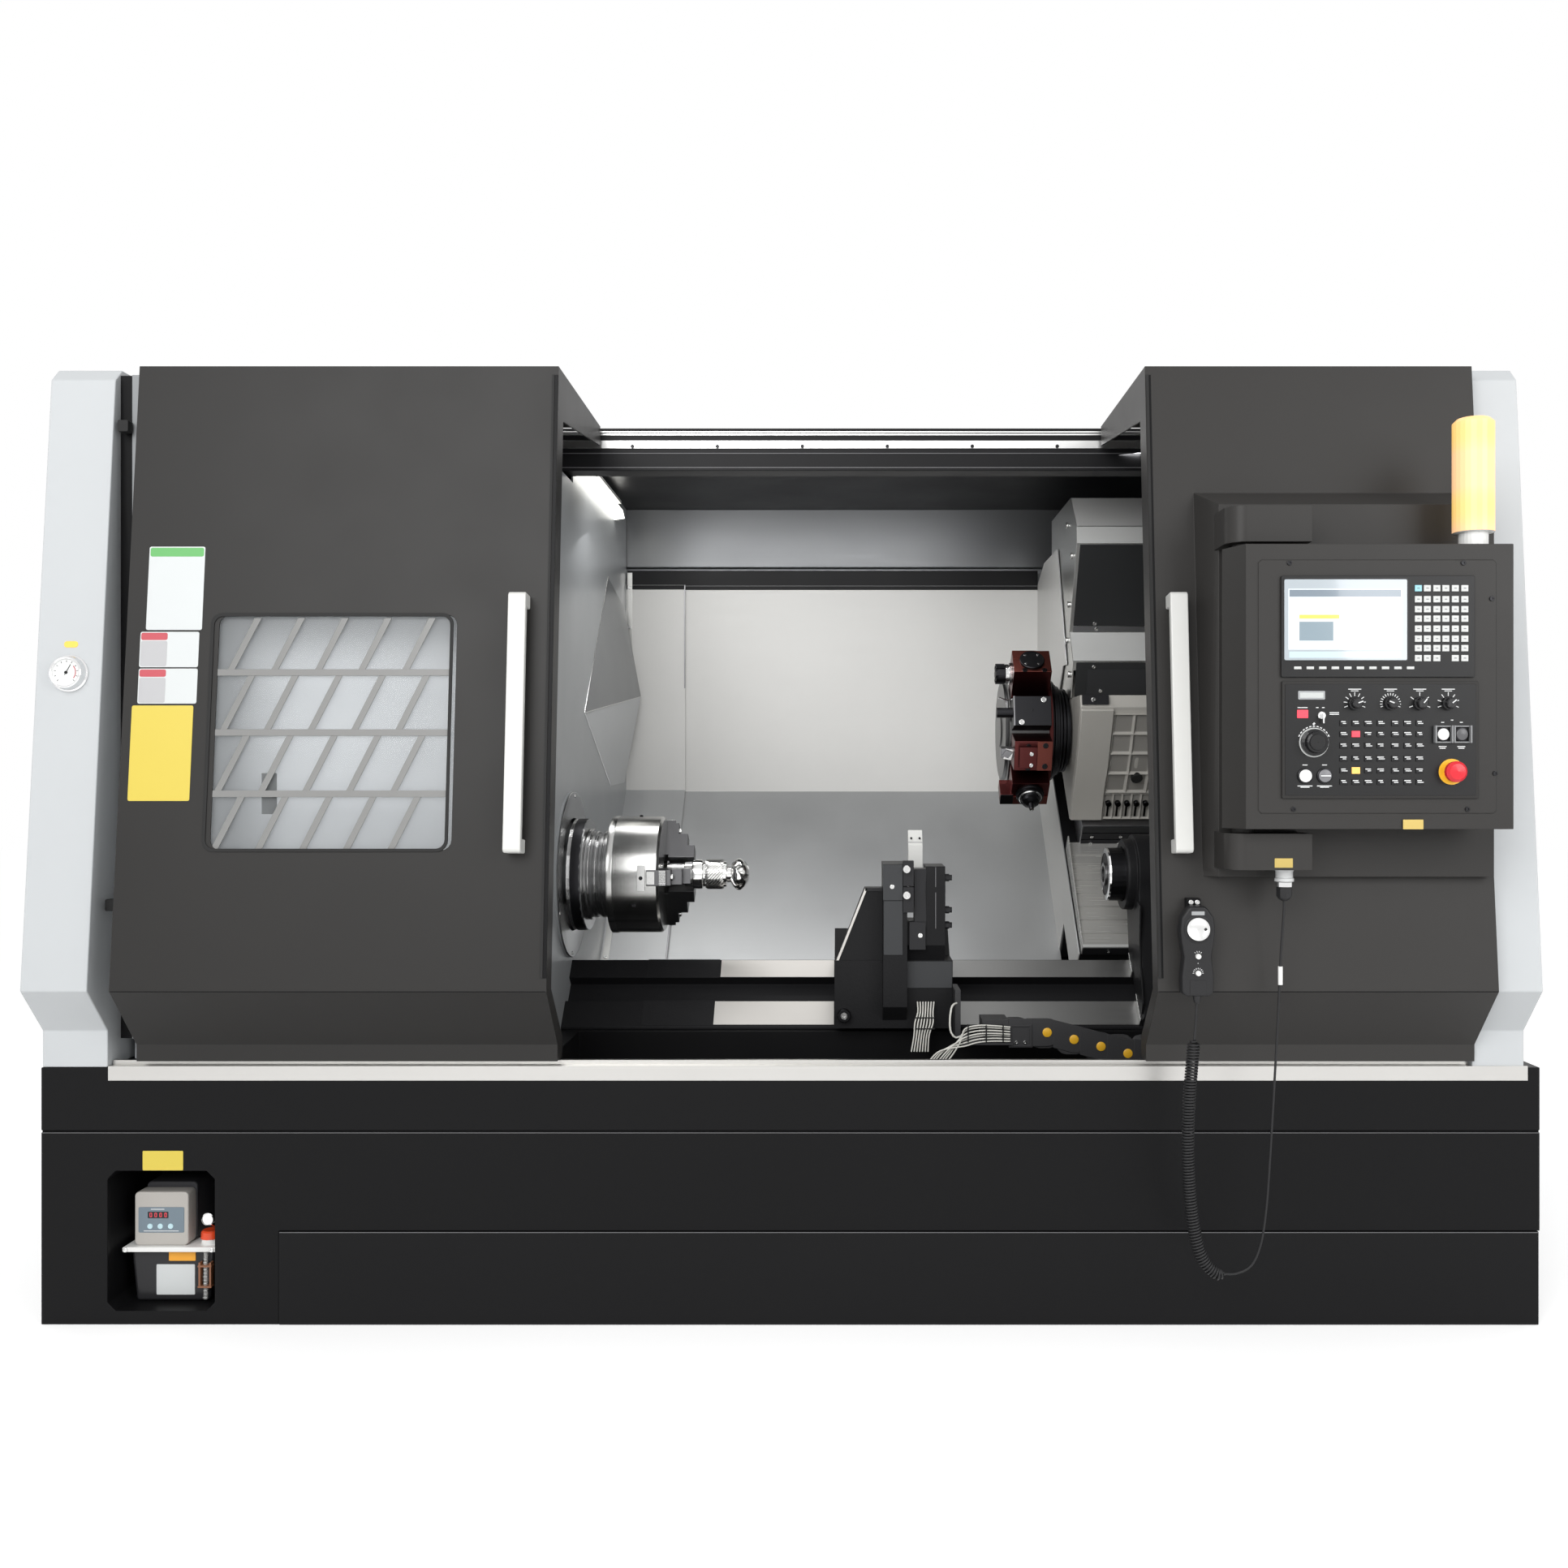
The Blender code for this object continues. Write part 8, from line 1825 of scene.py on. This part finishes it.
pocket_field("cast_pockets", 0.8585, 1.0905, 4, (1.166, 1.22, 1.274, 1.328, 1.382), 0.0056, 0.0092)
pocket_field("cast_arches", 0.8585, 1.097, 9, (1.091, 1.163), 0.0036, 0.0085)
band = [tuple(on_casting(z, 0.013)[0].yz) for z in (1.088, 1.168, 1.245, 1.395)]
band += [tuple(on_casting(z, -0.0015)[0].yz) for z in (1.395, 1.245, 1.168, 1.088)]
slab("cast_band", band, lambda y, z: (0.767, y, z), (0.0895, 0, 0), casting_beige, "cross_slide", 0.003, 3)
cast_turned("cast_plug", 0.9415, 1.21, bored(0.0004, (0.004, 0.016), (0.013, 0.016), (0.0145, 0.0145)),
    rubber, 32)
for index in range(8):
    x = 0.8718 + 0.0265 * index
    cast_turned("cast_cap_screw", x, 1.135, [(-0.004, 0.003), (-0.004, 0.0082), (0.014, 0.0082),
        (0.0152, 0.0072), (0.0152, 0.004), (0.01, 0.003)], dark_screw, 20)
    cast_turned("cast_cap_socket", x, 1.135, bored(0.0004, (0.009, 0.0042), (0.0104, 0.0042)), dark_screw,
        6)
    # A dark strip on each channel's floor under its cap screw: a painted shadow.
    slab("cast_screw_shadow", rectangle(x - 0.0028, 1.096, x + 0.0028, 1.126),
        lambda a, z: Vector((a, 0, 0)) + on_casting(z, 0.003)[0], on_casting(1.11)[1] * 0.0014, dark_screw,
        "cross_slide", 0.0004)
for rise, finish in ((-0.232, slide_black), (-0.205, slide_black), (-0.178, plate_black)):
    y, z = on_slope(0.3168, rise)
    top = on_slope(0.3168, rise + 0.023)
    slab("rail_plate", rectangle(0.803, 0, 1.117, 1), lambda a, s: (a, y + (top[0] - y) * s,
        z + (top[1] - z) * s), Vector((0, -SLOPE, -SLOPE)) * 0.004, finish, "cross_slide")
    if rise != -0.178:
        places = [(x, *on_slope(0.313, rise + 0.0115)) for x in (0.832, 0.915, 0.998, 1.081)]
        screws("rail_screws", bright_screw, "cross_slide", (0, -SLOPE, -SLOPE), places, 0.005, 0.003)
print("cover and casting dressed")

# %% [markdown]
# The telescopic cover shields the cross slide's lower ways. It is a stack of thin bright plates, each
# sliding over the next, so a piece that flattens towards its lower end as the slide comes down stands
# well for the real nest of plates.

# %% Telescopic cover
SADDLE_RISE = -0.253
start_run, end_run, steps = -0.067, 0.315, 8
plates = []
for index in range(steps):
    near = start_run + (end_run - start_run) * index / steps
    far = start_run + (end_run - start_run) * (index + 1) / steps
    rise = SADDLE_RISE + 0.029
    outline = bored(rise - 0.002, (near - 0.001, rise + 0.003), (near + 0.0035, rise + 0.0036),
        (far + 0.003, rise - 0.0004))
    plates.append(slab("cover_plate", outline, lambda run, rise: (0.763, *on_slope(run, rise)),
        (0.386, 0, 0), plate_steel, "saddle", 0.0005))
for x in (0.763, 1.146):
    side = [(start_run, SADDLE_RISE + 0.0006), (end_run, SADDLE_RISE + 0.0006),
        (end_run, SADDLE_RISE + 0.06), (start_run, SADDLE_RISE + 0.033)]
    plates.append(slab("cover_side", side, lambda run, rise: (x, *on_slope(run, rise)), (0.003, 0, 0),
        plate_steel, "saddle", 0.0004))
bellows = joined("telescopic_plates", plates)
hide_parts("telescopic_cover")
anchor = (0, *on_slope(start_run, SADDLE_RISE))
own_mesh(bellows)
bed_plate("cover_white_lip", 0.765, 1.145, -0.07, -0.061, SADDLE_RISE + 0.03, 0.005, cover_pale, "saddle",
    0.0006)
slab("cover_black_strip", rectangle(0.765, 0.001, 1.145, 0.03), lambda x, rise: (x,
    *on_slope(-0.0672, SADDLE_RISE + rise)), Vector((0, -SLOPE, -SLOPE)) * 0.003, slide_black, "saddle",
    0.0006)
screws("cover_strip_screw", bright_screw, "saddle", (0, -SLOPE, -SLOPE),
    [(x, *on_slope(-0.07, SADDLE_RISE + 0.016)) for x in (0.835, 0.955, 1.075)], 0.0045, 0.003)
print("telescopic plates", steps)

# %% [markdown]
# Along the top runs the front beam with its door track: thin light and dark profile lines, then the inner
# panels. Two thin grey lines on the dark profile are painted highlights. The work lamp is a sealed bar
# under the roof with a screwed end plate.

# %% Beam, panels and lamp
BEAM_Y = deep(0.5497)
bright_line = brushed("track bright steel", (0.8, 0.8, 0.79), 0.3, (4, 500, 500))
# The two thin grey lines on the dark profile are painted highlights.
for z0, z1, stand, finish in ((2.1032, 2.1095, 0.0008, base_black), (2.098, 2.1022, 0.0016, bright_line),
    (2.0915, 2.0955, 0.0016, bright_line), (2.0785, 2.0905, 0.001, inner_black),
    (2.0575, 2.0775, 0.0026, bright_line), (2.001, 2.0565, 0.0006, inner_black),
    (2.044, 2.0458, 0.0018, edge_highlight_grey), (2.007, 2.009, 0.0018, edge_highlight_grey)):
    plate("beam_line", (-1.4, z0, 1.45, z1), BEAM_Y + 0.0002, -0.0002 - stand, finish, "base", 0.0003)
front_screws("beam_screws", dark_screw, "base", BEAM_Y - 0.0026, [(x, 2.0625)
    for x in (-0.43, -0.21, 0.01, 0.23, 0.45, 0.67)], 0.0046, 0.0025)
lamp_lo, lamp_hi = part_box("work_lamp")
LAMP_Y0, LAMP_Y1 = lamp_lo.y, lamp_hi.y
plate_points = rectangle(LAMP_Y0 - 0.035, 2.005, LAMP_Y0 + 0.004, 2.075, 0.01, 4)
slab("lamp_end_plate", plate_points, lambda y, z: (-0.5995, y, z), (0.012, 0, 0), guard_steel, "base",
    0.0012)
screws("lamp_end_screws", dark_screw, "base", (1, 0, 0), [(-0.588, LAMP_Y0 - 0.024, z)
    for z in (2.018, 2.032, 2.048, 2.062)], 0.0038, 0.002)
slab("lamp_far_plate", rectangle(LAMP_Y1 - 0.002, 2.01, LAMP_Y1 + 0.028, 2.07, 0.01, 4),
    lambda y, z: (-0.5995, y, z), (0.012, 0, 0), guard_steel, "base", 0.0012)
slab("lamp_rail", rectangle(LAMP_Y0, 2.0605, LAMP_Y1, 2.07, 0.001), lambda y, z: (-0.5995, y, z),
    (0.022, 0, 0), guard_steel, "base", 0.001)
wall_screws = [(-0.5995, y, 2.085) for y in (LAMP_Y0 - 0.04, LAMP_Y0 + 0.15, LAMP_Y0 + 0.34)]
screws("wall_screws", bright_screw, "base", (1, 0, 0), wall_screws, 0.0055)
print("beam and lamp dressed")

# %% [markdown]
# The base is welded from large plates. Where one plate ends, its edge catches a thin line of light, which a
# thin grey strip paints in: a painted highlight.

# %% Base seams
for x0, x1, z, y in ((-1.648, 1.648, 0.4226, FRONT), (-1.124, 1.644, 0.2042, FRONT - 0.0032)):
    plate("seam_line", (x0, z - 0.0014, x1, z), y + 0.0002, -0.0008, edge_highlight_grey, "base", 0.0002)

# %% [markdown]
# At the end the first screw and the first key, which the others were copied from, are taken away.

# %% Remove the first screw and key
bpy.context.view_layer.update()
for master in (screw_master, key_master):
    bpy.data.objects.remove(master)
